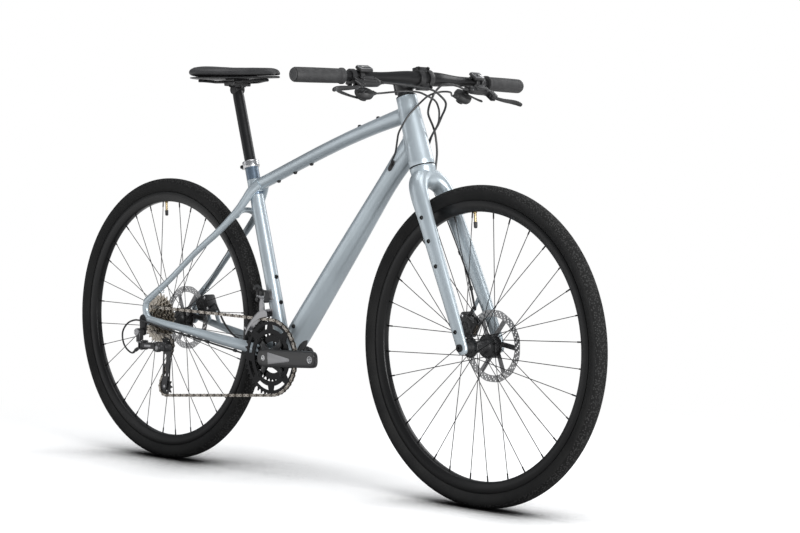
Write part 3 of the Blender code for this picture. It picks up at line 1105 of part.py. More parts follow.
outer_outline = hull(circle(GUIDE.x, GUIDE.z, 0.0090, 12) + circle(CAGE_AXIS.x, CAGE_AXIS.z, 0.0085, 12)
                     + circle(TENSION.x, TENSION.z, 0.0085, 12))
inner_outline = hull(circle(GUIDE.x, GUIDE.z, 0.0085, 12) + circle(TENSION.x, TENSION.z, 0.0085, 12))
cage = plate(outer_outline, [], CAGE_OUTER, CAGE_OUTER + CAGE_WALL)
cage_pins = [rod((c.x, CAGE_OUTER + 0.0005, c.z), (c.x, CAGE_INNER + 0.0010, c.z), 0.0025, 10) for c in (GUIDE, TENSION)]
fuse(cage, *cage_pins, plate(inner_outline, [], CAGE_INNER, CAGE_INNER + CAGE_WALL),
     rod((CAGE_AXIS.x, CAGE_OUTER + 0.0010, CAGE_AXIS.z), (CAGE_AXIS.x, CAGE_OUTER - 0.0110, CAGE_AXIS.z), 0.0040, 12))
cage_swing = pivot("derailleur_cage_axis", CAGE_AXIS + Y_AXIS * COG_PLANE, p_swing)
finish(cage, "derailleur_cage", cage_swing, SATIN_BLACK, 0.4, 0.4)
for word, centre in (("guide", GUIDE), ("tension", TENSION)):
    wheel = turned([(-0.0036, 0.0028), (-0.0036, 0.0060), (-0.0012, 0.0060), (-0.0012, pulley_pitch - TOOTH_ROOT),
                    (0.0012, pulley_pitch - TOOTH_ROOT), (0.0012, 0.0060), (0.0036, 0.0060), (0.0036, 0.0028)],
                   centre + Y_AXIS * COG_PLANE, Y_AXIS, 16)
    spin = pivot(word + "_pulley_axis", centre + Y_AXIS * COG_PLANE, cage_swing)
    finish(wheel, word + "_pulley", spin, SATIN_BLACK, 0.5)

# Front derailleur

BAND_ALONG = 0.1500
MECH_X = seat_point(BAND_ALONG).x
MECH_HINGE = Vector((MECH_X - 0.0030, -0.0385, seat_point(BAND_ALONG).z - 0.0040))
front_mech = turned([(BAND_ALONG - 0.007, 0.0140), (BAND_ALONG - 0.007, SEAT_TUBE_LOWER_RADIUS + 0.0030),
                     (BAND_ALONG + 0.007, SEAT_TUBE_LOWER_RADIUS + 0.0030), (BAND_ALONG + 0.007, 0.0140)],
                    BRACKET, SEAT_UP, 20)
fuse(front_mech, block((MECH_X - 0.0060, -0.0310, MECH_HINGE.z), AXES, (0.0400, 0.0240, 0.0240)))
cut(front_mech, rod(seat_point(0.05), seat_point(0.30), SEAT_TUBE_LOWER_RADIUS + GAP, 20),
    block(MECH_HINGE, AXES, (0.0206, 0.0100, 0.0400)))
fuse(front_mech, rod(MECH_HINGE - AHEAD * 0.012, MECH_HINGE + AHEAD * 0.012, PIN_RADIUS, 8))
finish(front_mech, "front_derailleur_body", None, SATIN_BLACK, 0.42, 0.2)


def cage_arc(low, high, inner_radius, outer_radius):
    count = 3 if high - low < 20.0 else 7
    angles = [radians(low + (high - low) * i / (count - 1)) for i in range(count)]
    outside = [(BRACKET.x + outer_radius * cos(a), BRACKET.z + outer_radius * sin(a)) for a in angles]
    inside = [(BRACKET.x + inner_radius * cos(a), BRACKET.z + inner_radius * sin(a)) for a in angles[::-1]]
    return outside + inside


CAGE_LOW = large_pitch + 0.0070
CAGE_HIGH = large_pitch + 0.0260
mech_outer = LARGE_RING_PLANE - 0.0068
mech_inner = LARGE_RING_PLANE + 0.0092
front_cage = plate(cage_arc(85.0, 148.0, CAGE_LOW, CAGE_HIGH), [], mech_outer, mech_outer + 0.0011)
fuse(front_cage, plate(cage_arc(92.0, 146.0, CAGE_LOW, CAGE_HIGH), [], mech_inner - 0.0011, mech_inner),
     plate(cage_arc(98.0, 112.0, CAGE_HIGH - 0.0060, CAGE_HIGH - 0.0022), [], mech_outer + 0.0004, mech_inner - 0.0004),
     plate(cage_arc(142.0, 144.5, CAGE_LOW + 0.0040, CAGE_HIGH - 0.0040), [], mech_outer + 0.0004, mech_inner - 0.0004))
arm_foot = BRACKET.z + CAGE_HIGH * sin(radians(110.0)) - 0.0075
fuse(front_cage, rod(MECH_HINGE - AHEAD * 0.0100, MECH_HINGE + AHEAD * 0.0100, 0.0042, 12),
     block((MECH_HINGE.x + 0.0010, MECH_HINGE.y - 0.0008, (arm_foot + MECH_HINGE.z) * 0.5), AXES,
           (0.0140, 0.0030, MECH_HINGE.z - arm_foot)))
cut(front_cage, rod(MECH_HINGE - AHEAD * 0.02, MECH_HINGE + AHEAD * 0.02, PIN_RADIUS + GAP, 10))
mech_swing = pivot("front_derailleur_axis", MECH_HINGE)
finish(front_cage, "front_derailleur_cage", mech_swing, ALLOY, 0.3, 0.9)

# Brake calipers


def caliper(centre, radial, tangent, name, carrier):
    body = block(centre - Y_AXIS * 0.0005, (radial, Y_AXIS, tangent), (0.0440, 0.0340, 2.0 * CALIPER_HALF))
    cut(body, block(centre - radial * 0.0100, (radial, Y_AXIS, tangent), (0.0400, 0.0068, 0.0800)))
    finish(body, name, carrier, SATIN_BLACK, 0.42, 0.3)


caliper(rear_caliper_centre, rear_radial, rear_tangent, "rear_caliper", None)
caliper(front_caliper_centre, front_radial, front_tangent, "front_caliper", steering)

# Brake hoses and shift housings, from the controls into the frame and on to what they work

LANE = 0.0090


def smooth_route(points, bend, longest):
    """A smooth line through hand-placed points, with a new point wherever it has turned or run on enough."""
    points = [Vector(point) for point in points]
    fine = [points[0]]
    for i in range(len(points) - 1):
        a = points[max(i - 1, 0)]
        b = points[i]
        c = points[i + 1]
        d = points[min(i + 2, len(points) - 1)]
        reach = (c - b).length
        enter = unit(c - a) * reach
        leave = unit(d - b) * reach
        for k in range(1, 13):
            t = k / 12.0
            fine.append(b * (2 * t ** 3 - 3 * t ** 2 + 1) + enter * (t ** 3 - 2 * t ** 2 + t)
                        + c * (3 * t ** 2 - 2 * t ** 3) + leave * (t ** 3 - t ** 2))
    kept = [fine[0]]
    heading = fine[1] - fine[0]
    for i in range(1, len(fine) - 1):
        onward = fine[i + 1] - fine[i]
        run = (fine[i] - kept[-1]).length
        if run > 0.0045 and (heading.angle(onward) > bend or run > longest):
            kept.append(fine[i])
            heading = onward
    return kept + [fine[-1]]


def hose(name, points, radius):
    route = smooth_route(points, radians(13.0), 0.060)
    curve = bpy.data.curves.new(name, "CURVE")
    curve.dimensions = "3D"
    curve.bevel_depth = radius
    curve.bevel_resolution = 2
    curve.use_fill_caps = True
    spline = curve.splines.new("POLY")
    spline.points.add(len(route) - 1)
    for point, place in zip(spline.points, route):
        point.co = (*place, 1.0)
    coat(curve, name, SATIN_BLACK, 0.5)
    piece = bpy.data.objects.new(name, curve)
    bpy.context.scene.collection.objects.link(piece)


right_hand = Cockpit(-1.0, SIDES[0][2])
left_hand = Cockpit(1.0, SIDES[1][2])
POD_SIDE = POD_AT - 0.0215


def below_shell(side, back=0.0):
    return BRACKET + Vector((-back, side, -SHELL_RADIUS - 0.0056))


def leaving(hand, distance, ahead, up):
    """The first two points of a line that leaves a control towards the stem."""
    start = hand.at(distance, ahead, up) - hand.out * (2.5 * GAP)
    return [start, start - hand.out * 0.016]


def inside_tube(lane, lift):
    return [down_point(0.80, lift, lane), down_point(0.50, 0.0, lane), down_point(0.23, 0.0, lane)]


def out_of_slot(lane):
    return [down_point(0.150, -0.0090, lane), down_point(EXIT_FRACTION, -0.0250, lane),
            BRACKET + Vector((0.0310, lane, -0.0080)), BRACKET + Vector((0.0160, lane, -0.0235)), below_shell(lane)]


def stay_side(side, fraction, out, below):
    """A point beside or below a chainstay, by fraction of the way from the axle to the bracket."""
    point = REAR_AXLE.lerp(BRACKET, fraction)
    return point + Vector((0.0, side * out, 0.0030 - below))


port_right = down_point(PORT_FRACTION, 0.0, -PORT_SIDE)
port_upper = down_point(PORT_FRACTION + 0.006, 0.0040, PORT_SIDE)
port_lower = down_point(PORT_FRACTION - 0.006, -0.0040, PORT_SIDE)
head_middle = steer_point(HEAD_START + HEAD_TUBE_LENGTH * 0.5)


def by_head(forward, side, drop):
    """A point near the head tube, measured from its middle."""
    return head_middle + Vector((forward, side, -drop))


front_shift = leaving(left_hand, POD_SIDE, 0.0080, -0.0350)
front_shift += [BAR_CENTRE + Vector((-0.0011, 0.0900, -0.0265)), BAR_CENTRE + Vector((-0.0016, 0.0600, -0.0268)),
                BAR_CENTRE + Vector((-0.0063, 0.0300, -0.0351)), by_head(0.0226, -0.0050, -0.0637),
                by_head(0.0137, -0.0300, -0.0370), by_head(0.0065, -0.0450, -0.0108), by_head(-0.0048, -0.0450, 0.0068),
                by_head(-0.0231, -0.0350, 0.0465), port_right + down_along * 0.0120 - Y_AXIS * 0.0070, port_right]
front_shift += [port_right - down_along * 0.0130 + Y_AXIS * 0.0090]
front_shift += inside_tube(-LANE, 0.0) + out_of_slot(-0.0060)
front_shift += [below_shell(-0.0050, 0.0170), BRACKET + Vector((-0.0340, -0.0040, -0.0060)),
                BRACKET + Vector((-0.0370, -0.0040, 0.0200)), seat_point(0.0700, -SEAT_TUBE_LOWER_RADIUS - 0.0055, -0.0060),
                seat_point(0.1050, -SEAT_TUBE_LOWER_RADIUS - 0.0040, -0.0130)]
mech_entry = Vector((MECH_X - 0.0190, -0.0260, MECH_HINGE.z - 0.0120 - GAP))
front_shift += [mech_entry - UP * 0.0130, mech_entry]
hose("front_shift_housing", front_shift, HOUSING_RADIUS)

front_brake = leaving(left_hand, MASTER_END, 0.0250, -0.0030)
front_brake += [BAR_CENTRE + Vector((0.0115, 0.1000, -0.0125)), BAR_CENTRE + Vector((0.0170, 0.0500, -0.0110)),
                BAR_CENTRE + Vector((0.0142, 0.0270, -0.0280)), by_head(0.0330, 0.0200, -0.0716),
                by_head(0.0248, 0.0200, -0.0550), by_head(0.0184, 0.0250, -0.0387), by_head(0.0150, 0.0440, -0.0126),
                by_head(0.0130, 0.0540, 0.0070)]
# Rows of (height, ahead, side) down the back of the left blade
front_brake += [steer_point(height, ahead, side) for height, ahead, side in
                ((0.4600, 0.0010, 0.0560), (0.4200, -0.0130, 0.0510), (0.3800, -0.0210, 0.0430),
                 (0.3450, -0.0115, 0.0440), (0.3000, -0.0035, 0.0460), (0.2000, 0.0100, 0.0510),
                 (0.1500, 0.0170, 0.0480), (0.1200, 0.0205, 0.0430), (0.0900, 0.0240, 0.0380))]
hose_foot = front_caliper_centre + front_radial * 0.0030 + front_tangent * (CALIPER_HALF + GAP) - Y_AXIS * 0.0070
front_brake += [hose_foot + front_tangent * 0.0250 + Y_AXIS * 0.0020, hose_foot]
hose("front_brake_hose", front_brake, HOSE_RADIUS)

rear_brake = leaving(right_hand, MASTER_END, 0.0250, -0.0030)
rear_brake += [BAR_CENTRE + Vector((0.0300, -0.0750, -0.0175)), BAR_CENTRE + Vector((0.0436, -0.0300, -0.0233)),
               BAR_CENTRE + Vector((0.0418, -0.0050, -0.0272)), BAR_CENTRE + Vector((0.0402, 0.0150, -0.0362)),
               by_head(0.0664, 0.0300, -0.0658), by_head(0.0557, 0.0400, -0.0516), by_head(0.0440, 0.0430, -0.0372),
               by_head(0.0337, 0.0410, -0.0161), by_head(0.0181, 0.0405, 0.0036), by_head(-0.0050, 0.0385, 0.0370),
               port_upper + down_along * 0.0130 + Y_AXIS * 0.0080, port_upper,
               port_upper - down_along * 0.0130 - Y_AXIS * 0.0090]
rear_brake += inside_tube(LANE, 0.0) + out_of_slot(0.0120)
rear_brake += [below_shell(0.0180, 0.0250), stay_side(1.0, 0.867, 0.0270, 0.0205), stay_side(1.0, 0.755, 0.0325, 0.0185),
               stay_side(1.0, 0.620, 0.0375, 0.0185), stay_side(1.0, 0.520, 0.0362, 0.0120),
               stay_side(1.0, 0.430, 0.0390, -0.0010), stay_side(1.0, 0.360, 0.0420, -0.0200)]
hose_end = rear_caliper_centre + rear_radial * (0.0220 + 2.0 * GAP) - rear_tangent * 0.0120 - Y_AXIS * 0.0090
rear_brake += [hose_end + rear_radial * 0.0240 - rear_tangent * 0.0170, hose_end + rear_radial * 0.0180, hose_end]
hose("rear_brake_hose", rear_brake, HOSE_RADIUS)

rear_shift = leaving(right_hand, POD_SIDE, 0.0080, -0.0350)
rear_shift += [BAR_CENTRE + Vector((0.0170, -0.0850, -0.0310)), BAR_CENTRE + Vector((0.0307, -0.0600, -0.0305)),
               BAR_CENTRE + Vector((0.0336, -0.0400, -0.0323)), BAR_CENTRE + Vector((0.0318, -0.0200, -0.0373)),
               by_head(0.0630, 0.0000, -0.0682), by_head(0.0567, 0.0180, -0.0525), by_head(0.0494, 0.0280, -0.0383),
               by_head(0.0417, 0.0330, -0.0192), by_head(0.0246, 0.0320, 0.0070), by_head(0.0030, 0.0360, 0.0400),
               port_lower + down_along * 0.0130 + Y_AXIS * 0.0080, port_lower,
               port_lower - down_along * 0.0130 - Y_AXIS * 0.0100]
rear_shift += inside_tube(0.0, 0.0) + out_of_slot(0.0030)
rear_shift += [below_shell(0.0000, 0.0200), below_shell(-0.0120, 0.0500), stay_side(-1.0, 0.740, 0.0360, 0.0190),
               stay_side(-1.0, 0.572, 0.0460, 0.0165), stay_side(-1.0, 0.411, 0.0545, 0.0145),
               stay_side(-1.0, 0.228, 0.0665, 0.0130), stay_side(-1.0, 0.150, 0.0800, 0.0090),
               REAR_AXLE + Vector((0.0420, -0.0905, -0.0080)), REAR_AXLE + Vector((0.0220, -0.0935, -0.0040)),
               REAR_AXLE + Vector((0.0000, -0.0945, -0.0020)), REAR_AXLE + Vector((-0.0230, -0.0955, -0.0030)),
               REAR_AXLE + Vector((-0.0470, -0.0975, -0.0130)), REAR_AXLE + Vector((-0.0630, -0.0990, -0.0340)),
               REAR_AXLE + Vector((-0.0610, -0.0990, -0.0580)), REAR_AXLE + Vector((-0.0470, -0.0990, -0.0750)),
               ADJUSTER_END - adjuster_along * 0.0150, ADJUSTER_END - adjuster_along * GAP]
hose("rear_shift_housing", rear_shift, HOUSING_RADIUS)
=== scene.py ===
from math import atan2, cos, hypot, pi, radians, sin, sqrt, tan, tau

import bpy
from mathutils import Matrix, Vector
from mathutils.bvhtree import BVHTree


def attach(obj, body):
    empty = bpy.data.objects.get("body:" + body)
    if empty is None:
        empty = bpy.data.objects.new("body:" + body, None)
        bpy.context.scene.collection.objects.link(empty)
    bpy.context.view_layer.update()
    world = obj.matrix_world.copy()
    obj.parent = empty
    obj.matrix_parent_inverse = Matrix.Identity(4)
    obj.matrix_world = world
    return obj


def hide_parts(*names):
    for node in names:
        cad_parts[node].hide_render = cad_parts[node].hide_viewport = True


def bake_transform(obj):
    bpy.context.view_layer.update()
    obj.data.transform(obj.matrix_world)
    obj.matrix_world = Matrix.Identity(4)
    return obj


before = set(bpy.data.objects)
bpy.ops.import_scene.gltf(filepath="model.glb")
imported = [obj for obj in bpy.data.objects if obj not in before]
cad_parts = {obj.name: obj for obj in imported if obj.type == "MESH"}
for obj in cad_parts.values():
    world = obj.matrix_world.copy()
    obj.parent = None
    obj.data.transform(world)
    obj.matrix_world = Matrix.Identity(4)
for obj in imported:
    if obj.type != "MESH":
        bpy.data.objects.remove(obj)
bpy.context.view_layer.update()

# Studio: a pale floor that fades into a white surround, broad soft lamps overhead and at the
# sides, and a long lens at the height of the top of the wheels.
CAMERA_PLACE = Vector((4.3537, -3.4858, 0.7338))
CAMERA_TURN = radians(45.2262)
CAMERA_DROP = radians(2.5849)
CAMERA_ROLL = radians(0.827)
SENSOR_WIDTH = 36.0
FOCAL_SHARE = 2217.86 / 800.0
LENS_SHIFT = (-0.00855, 0.00238)
FLOOR_RADIUS = 30.0
FLOOR_GLOW = 0.30
FLOOR_BOUNCE = 0.45
# Reach and range of the painted contact shadow that ambient occlusion lays under each wheel.
PAINTED_SHADOW_REACH = 0.45
PAINTED_SHADOW_RANGE = (0.55, 0.985)
FADE_RANGE = (0.9, 1.9)
BLACK = (0.0, 0.0, 0.0)
WHITE = (1.0, 1.0, 1.0)
Z_AXIS = Vector((0.0, 0.0, 1.0))
BIKE_MIDDLE = Vector((0.53, 0.0, 0.45))


class Value:
    """One shader number; sums on it add the Math nodes that work them out."""

    def __init__(self, finish, socket):
        self.finish = finish
        self.socket = socket

    def sum(self, operation, first, second):
        return self.finish.node("ShaderNodeMath", {"operation": operation}, {0: first, 1: second})

    def __add__(self, other):
        return self.sum("ADD", self, other)

    def __radd__(self, other):
        return self.sum("ADD", other, self)

    def __sub__(self, other):
        return self.sum("SUBTRACT", self, other)

    def __rsub__(self, other):
        return self.sum("SUBTRACT", other, self)

    def __mul__(self, other):
        return self.sum("MULTIPLY", self, other)

    def __rmul__(self, other):
        return self.sum("MULTIPLY", other, self)

    def __pow__(self, other):
        return self.sum("POWER", self, other)

    def over(self, low, high):
        """0 below low and 1 above high, smooth in between."""
        return self.finish.node("ShaderNodeMapRange", {"interpolation_type": "SMOOTHSTEP"},
                                {"Value": self, "From Min": low, "From Max": high})


class Finish:
    """One material: a Principled shader, and the nodes that vary it over the surface."""

    def __init__(self, name, colour, roughness, metallic=0.0, **settings):
        self.material = bpy.data.materials.new(name)
        self.material.use_nodes = True
        self.tree = self.material.node_tree
        self.shader = self.tree.nodes["Principled BSDF"]
        self.tone((*colour, 1.0))
        self.put(self.shader, "Roughness", roughness)
        self.put(self.shader, "Metallic", metallic)
        for key, value in settings.items():
            self.put(self.shader, key.replace("_", " ").title().replace("Ior", "IOR"), value)

    def put(self, node, key, value):
        if isinstance(value, Value):
            self.tree.links.new(value.socket, node.inputs[key])
        else:
            node.inputs[key].default_value = value

    def node(self, kind, settings, inputs, output=0):
        made = self.tree.nodes.new(kind)
        for key, value in settings.items():
            setattr(made, key, value)
        for key, value in inputs.items():
            self.put(made, key, value)
        return Value(self, made.outputs[output])

    def place(self, move=(0.0, 0.0, 0.0)):
        """The point on the piece, in metres, moved."""
        point = self.node("ShaderNodeTexCoord", {}, {}, "Object")
        return self.node("ShaderNodeMapping", {}, {"Vector": point, "Location": move})

    def axes(self, point):
        parts = self.tree.nodes.new("ShaderNodeSeparateXYZ")
        self.put(parts, "Vector", point)
        return [Value(self, parts.outputs[i]) for i in range(3)]

    def noise(self, size, detail, point=None):
        """Cloudy values about 0.5 whose lumps are about size metres across."""
        return self.node("ShaderNodeTexNoise", {}, {"Vector": point or self.place(), "Scale": 1.0 / size,
                                                    "Detail": detail, "Roughness": 0.5})

    def cells(self, size, feature="F1"):
        """The distance to the nearest of points that lie about size metres apart."""
        return self.node("ShaderNodeTexVoronoi", {"feature": feature},
                         {"Vector": self.place(), "Scale": 1.0 / size}, "Distance")

    def waves(self, direction, scale, distortion=0.0):
        """Even bands across one direction."""
        return self.node("ShaderNodeTexWave", {"bands_direction": direction},
                         {"Vector": self.place(), "Scale": scale, "Distortion": distortion})

    def blend(self, share, first, second):
        """A colour that goes from first to second as share goes from 0 to 1."""
        colours = {"Factor": share, 6: first if isinstance(first, Value) else (*first, 1.0),
                   7: second if isinstance(second, Value) else (*second, 1.0)}
        return self.node("ShaderNodeMix", {"data_type": "RGBA"}, colours, 2)

    def tone(self, colour):
        self.put(self.shader, "Base Color", colour)

    def mottle(self, size, detail, first, second, low=0.35):
        """Two near colours in clouds of a size."""
        self.tone(self.blend(self.noise(size, detail).over(low, 0.7), first, second))

    def bump(self, height, depth, strength=1.0):
        made = self.node("ShaderNodeBump", {}, {"Height": height, "Distance": depth, "Strength": strength})
        self.put(self.shader, "Normal", made)

    def rough(self, value):
        self.put(self.shader, "Roughness", value)

    def worn(self, least, spread, cloud, grain, depth, strength, details=(3.0, 2.0)):
        """A roughness that varies in clouds, and a fine grain."""
        self.rough(least + spread * self.noise(cloud, details[0]))
        self.bump(self.noise(grain, details[1]), depth, strength)


def alone():
    """Leaves nothing selected."""
    if bpy.context.mode != "OBJECT":
        bpy.ops.object.mode_set(mode="OBJECT")
    bpy.ops.object.select_all(action="DESELECT")


def settle(name):
    """Applies the active piece's place to its mesh and names it."""
    piece = bpy.context.active_object
    bpy.ops.object.transform_apply(location=True, rotation=True, scale=True)
    piece.name = name
    piece.data.name = name
    return piece


alone()
bpy.ops.mesh.primitive_circle_add(vertices=96, radius=FLOOR_RADIUS, fill_type="NGON",
                                  location=(BIKE_MIDDLE.x, 0.0, 0.0))
floor = settle("studio_floor")
floor_finish = Finish("studio_floor_white", WHITE, 1.0)
tree = floor_finish.tree
# Ambient occlusion darkens the floor's colour and glow near the tyres: a painted contact shadow under each
# wheel, on top of the real shadows.
contact_shade_occlusion = floor_finish.node("ShaderNodeAmbientOcclusion", {"samples": 8}, {"Distance": PAINTED_SHADOW_REACH}, 1)
rays = tree.nodes.new("ShaderNodeLightPath")
in_view = Value(floor_finish, rays.outputs["Is Camera Ray"])
outside_painted_shadow = contact_shade_occlusion.over(*PAINTED_SHADOW_RANGE)
floor_finish.tone(floor_finish.blend(outside_painted_shadow * (FLOOR_BOUNCE + (1.0 - FLOOR_BOUNCE) * in_view),
                                     (0.01, 0.01, 0.01), WHITE))
floor_finish.put(floor_finish.shader, "Emission Color", floor_finish.blend(outside_painted_shadow * in_view, BLACK, WHITE))
floor_finish.put(floor_finish.shader, "Emission Strength", FLOOR_GLOW)
x, y, z = floor_finish.axes(floor_finish.place(move=(-BIKE_MIDDLE.x, 0.0, 0.0)))
reach = (x * x + y * y) ** 0.5
seen = floor_finish.node("ShaderNodeMath", {"operation": "MAXIMUM"},
                         {0: in_view, 1: Value(floor_finish, rays.outputs["Is Glossy Ray"])})
white = tree.nodes.new("ShaderNodeEmission")
white.inputs["Color"].default_value = (*WHITE, 1.0)
white.inputs["Strength"].default_value = 1.0
mixer = tree.nodes.new("ShaderNodeMixShader")
floor_finish.put(mixer, 0, seen * reach.over(*FADE_RANGE))
tree.links.new(floor_finish.shader.outputs[0], mixer.inputs[1])
tree.links.new(white.outputs[0], mixer.inputs[2])
tree.links.new(mixer.outputs[0], tree.nodes["Material Output"].inputs["Surface"])
floor_finish.put(floor_finish.shader, "Specular IOR Level", 0.0)
floor.data.materials.append(floor_finish.material)

world = bpy.data.worlds.new("studio_surround")
bpy.context.scene.world = world
world.use_nodes = True
nodes = world.node_tree.nodes
links = world.node_tree.links
soft = nodes["Background"]
soft.inputs["Color"].default_value = (0.87, 0.90, 0.94, 1.0)
soft.inputs["Strength"].default_value = 0.30
bright = nodes.new("ShaderNodeBackground")
bright.inputs["Color"].default_value = (*WHITE, 1.0)
bright.inputs["Strength"].default_value = 1.0
rays = nodes.new("ShaderNodeLightPath")
mixer = nodes.new("ShaderNodeMixShader")
links.new(rays.outputs["Is Camera Ray"], mixer.inputs[0])
links.new(soft.outputs[0], mixer.inputs[1])
links.new(bright.outputs[0], mixer.inputs[2])
links.new(mixer.outputs[0], nodes["World Output"].inputs["Surface"])

lamps = (("overhead", (0.6, -0.4, 3.6), (0.5, 0.0, 0.3), 3.4, 2.2, 54.0),
         ("front_side", (4.6, -0.9, 1.3), (0.8, 0.0, 0.5), 1.5, 1.8, 170.0),
         ("rear_side", (-2.2, -2.6, 1.3), (0.5, 0.0, 0.5), 1.2, 2.0, 8.0),
         ("far_side", (0.8, 3.4, 2.2), (0.6, 0.0, 0.5), 2.6, 1.4, 36.0))
for name, place, target, wide, high, power in lamps:
    lamp = bpy.data.lights.new(name, "AREA")
    lamp.shape = "RECTANGLE"
    lamp.size = wide
    lamp.size_y = high
    lamp.energy = power
    holder = bpy.data.objects.new(name, lamp)
    holder.location = place
    holder.rotation_euler = (Vector(target) - Vector(place)).to_track_quat("-Z", "Y").to_euler()
    bpy.context.scene.collection.objects.link(holder)

lens = bpy.data.cameras.new("camera")
lens.sensor_width = SENSOR_WIDTH
lens.lens = SENSOR_WIDTH * FOCAL_SHARE
lens.shift_x, lens.shift_y = LENS_SHIFT
lens.clip_start = 0.05
camera = bpy.data.objects.new("camera", lens)
back = Vector((sin(CAMERA_TURN) * cos(CAMERA_DROP), -cos(CAMERA_TURN) * cos(CAMERA_DROP), sin(CAMERA_DROP)))
right = (-back).cross(Z_AXIS).normalized()
up = right.cross(-back)
tilted_right = right * cos(CAMERA_ROLL) + up * sin(CAMERA_ROLL)
tilted_up = up * cos(CAMERA_ROLL) - right * sin(CAMERA_ROLL)
pose = Matrix((tilted_right, tilted_up, back)).transposed().to_4x4()
pose.translation = CAMERA_PLACE
camera.matrix_world = pose
bpy.context.scene.collection.objects.link(camera)
bpy.context.scene.camera = camera
bpy.context.scene.view_settings.view_transform = "Standard"

# Frame: welded, drawn aluminium tubes under a pale metallic coat, with smooth weld beads.
# The down tube is the widest; the stays are one bent tube a side that runs round the axle.
Y_AXIS = Vector((0.0, 1.0, 0.0))
MERGE_DISTANCE = 0.00001
GAP = 0.0003
WHEELBASE = 1.0704
TYRE_RADIUS = 0.3503
REAR_AXLE = Vector((0.0, 0.0, TYRE_RADIUS))
FRONT_AXLE = Vector((WHEELBASE, 0.0, TYRE_RADIUS))
CHAINSTAY_LENGTH = 0.4430
BRACKET_DROP = 0.0656
BRACKET = Vector((sqrt(CHAINSTAY_LENGTH ** 2 - BRACKET_DROP ** 2), 0.0, TYRE_RADIUS - BRACKET_DROP))
HEAD_ANGLE = radians(71.0)
STEER_UP = Vector((-cos(HEAD_ANGLE), 0.0, sin(HEAD_ANGLE)))
STEER_FORWARD = Vector((sin(HEAD_ANGLE), 0.0, cos(HEAD_ANGLE)))
FORK_OFFSET = 0.0500
STEER_FOOT = FRONT_AXLE - STEER_FORWARD * FORK_OFFSET
SEAT_ANGLE = radians(73.5)
SEAT_UP = Vector((-cos(SEAT_ANGLE), 0.0, sin(SEAT_ANGLE)))
SEAT_FORWARD = Vector((sin(SEAT_ANGLE), 0.0, cos(SEAT_ANGLE)))
SEAT_TUBE_LENGTH = 0.4770
AXLE_TO_CROWN = 0.4254
HEAD_START = AXLE_TO_CROWN + 0.0030
HEAD_END = HEAD_START + 0.1612
HEAD_BORE = 0.0212
SEAT_TUBE_RADIUS = 0.0172
POST_BORE = 0.0139
SHELL_RADIUS = 0.0205
STAY_DEPTH = 0.0090
STAY_WIDTH = 0.0070
REAR_ROTOR_PLANE = 0.0555


def toward(angle):
    """The direction at an angle up from straight ahead, in the plane of the bike."""
    return Vector((cos(angle), 0.0, sin(angle)))


def only(piece):
    """Leaves one piece selected and active."""
    alone()
    piece.select_set(True)
    bpy.context.view_layer.objects.active = piece


def placed(name, data):
    """A new piece around a mesh or a curve, selected and active."""
    piece = bpy.data.objects.new(name, data)
    bpy.context.scene.collection.objects.link(piece)
    only(piece)
    return piece


def faced_out(piece, merged=False):
    """Turns the active piece's faces outward, after joining points that fall together."""
    bpy.ops.object.mode_set(mode="EDIT")
    bpy.ops.mesh.select_all(action="SELECT")
    if merged:
        bpy.ops.mesh.remove_doubles(threshold=MERGE_DISTANCE)
    bpy.ops.mesh.normals_make_consistent(inside=False)
    bpy.ops.object.mode_set(mode="OBJECT")
    return piece


def soften(piece, width, segments=2, angle=32.0):
    """Rounds the edges of a hard piece with an applied bevel."""
    only(piece)
    bevel = piece.modifiers.new("soften", "BEVEL")
    bevel.width = width
    bevel.segments = segments
    bevel.limit_method = "ANGLE"
    bevel.angle_limit = radians(angle)
    bevel.harden_normals = False
    bpy.ops.object.modifier_apply(modifier=bevel.name)
    return piece


def dress(piece, finish, body, slot, replaced=(), angle=35.0):
    """Gives a finished piece its material, its body and the solids that it stands for."""
    only(piece)
    bpy.ops.object.shade_smooth_by_angle(angle=radians(angle))
    piece.data.materials.clear()
    piece.data.materials.append(finish.material)
    if body:
        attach(piece, body)
    if replaced:
        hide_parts(*replaced)
    return piece


def join(name, pieces):
    """One named piece out of a list; the first one stays active."""
    alone()
    for piece in pieces:
        piece.select_set(True)
    bpy.context.view_layer.objects.active = pieces[0]
    if len(pieces) > 1:
        bpy.ops.object.join()
    pieces[0].name = name
    pieces[0].data.name = name
    return pieces[0]


def assemble(name, pieces, *dressing, **options):
    """Joins pieces under a name and dresses the result."""
    return dress(join(name, pieces), *dressing, **options)


def aim(start, end):
    """A matrix that puts +Z along a line, from its middle."""
    start, end = Vector(start), Vector(end)
    z = (end - start).normalized()
    y = z.cross(z.orthogonal()).normalized()
    x = y.cross(z)
    matrix = Matrix((x, y, z)).transposed().to_4x4()
    matrix.translation = (start + end) * 0.5
    return matrix


def bar(name, start, end, radius, sides=32, edge=0.0, segments=2):
    """A round bar with its end edges rounded."""
    alone()
    length = (Vector(end) - Vector(start)).length
    bpy.ops.mesh.primitive_cone_add(vertices=sides, radius1=radius, depth=length, radius2=radius)
    piece = bpy.context.active_object
    piece.matrix_world = aim(start, end)
    settle(name)
    return soften(piece, edge, segments) if edge else piece


def lathe(name, profile, centre, axis, steps):
    """A profile of (along, radius) points spun all the way round an axis."""
    axis = Vector(axis).normalized()
    side = axis.orthogonal().normalized()
    mesh = bpy.data.meshes.new(name)
    mesh.from_pydata([Vector(centre) + axis * along + side * radius for along, radius in profile],
                     [(i, i + 1) for i in range(len(profile) - 1)], [])
    piece = placed(name, mesh)
    bpy.ops.object.mode_set(mode="EDIT")
    bpy.ops.mesh.select_all(action="SELECT")
    bpy.ops.mesh.spin(steps=steps, angle=tau, center=centre, axis=axis)
    return faced_out(piece, merged=True)


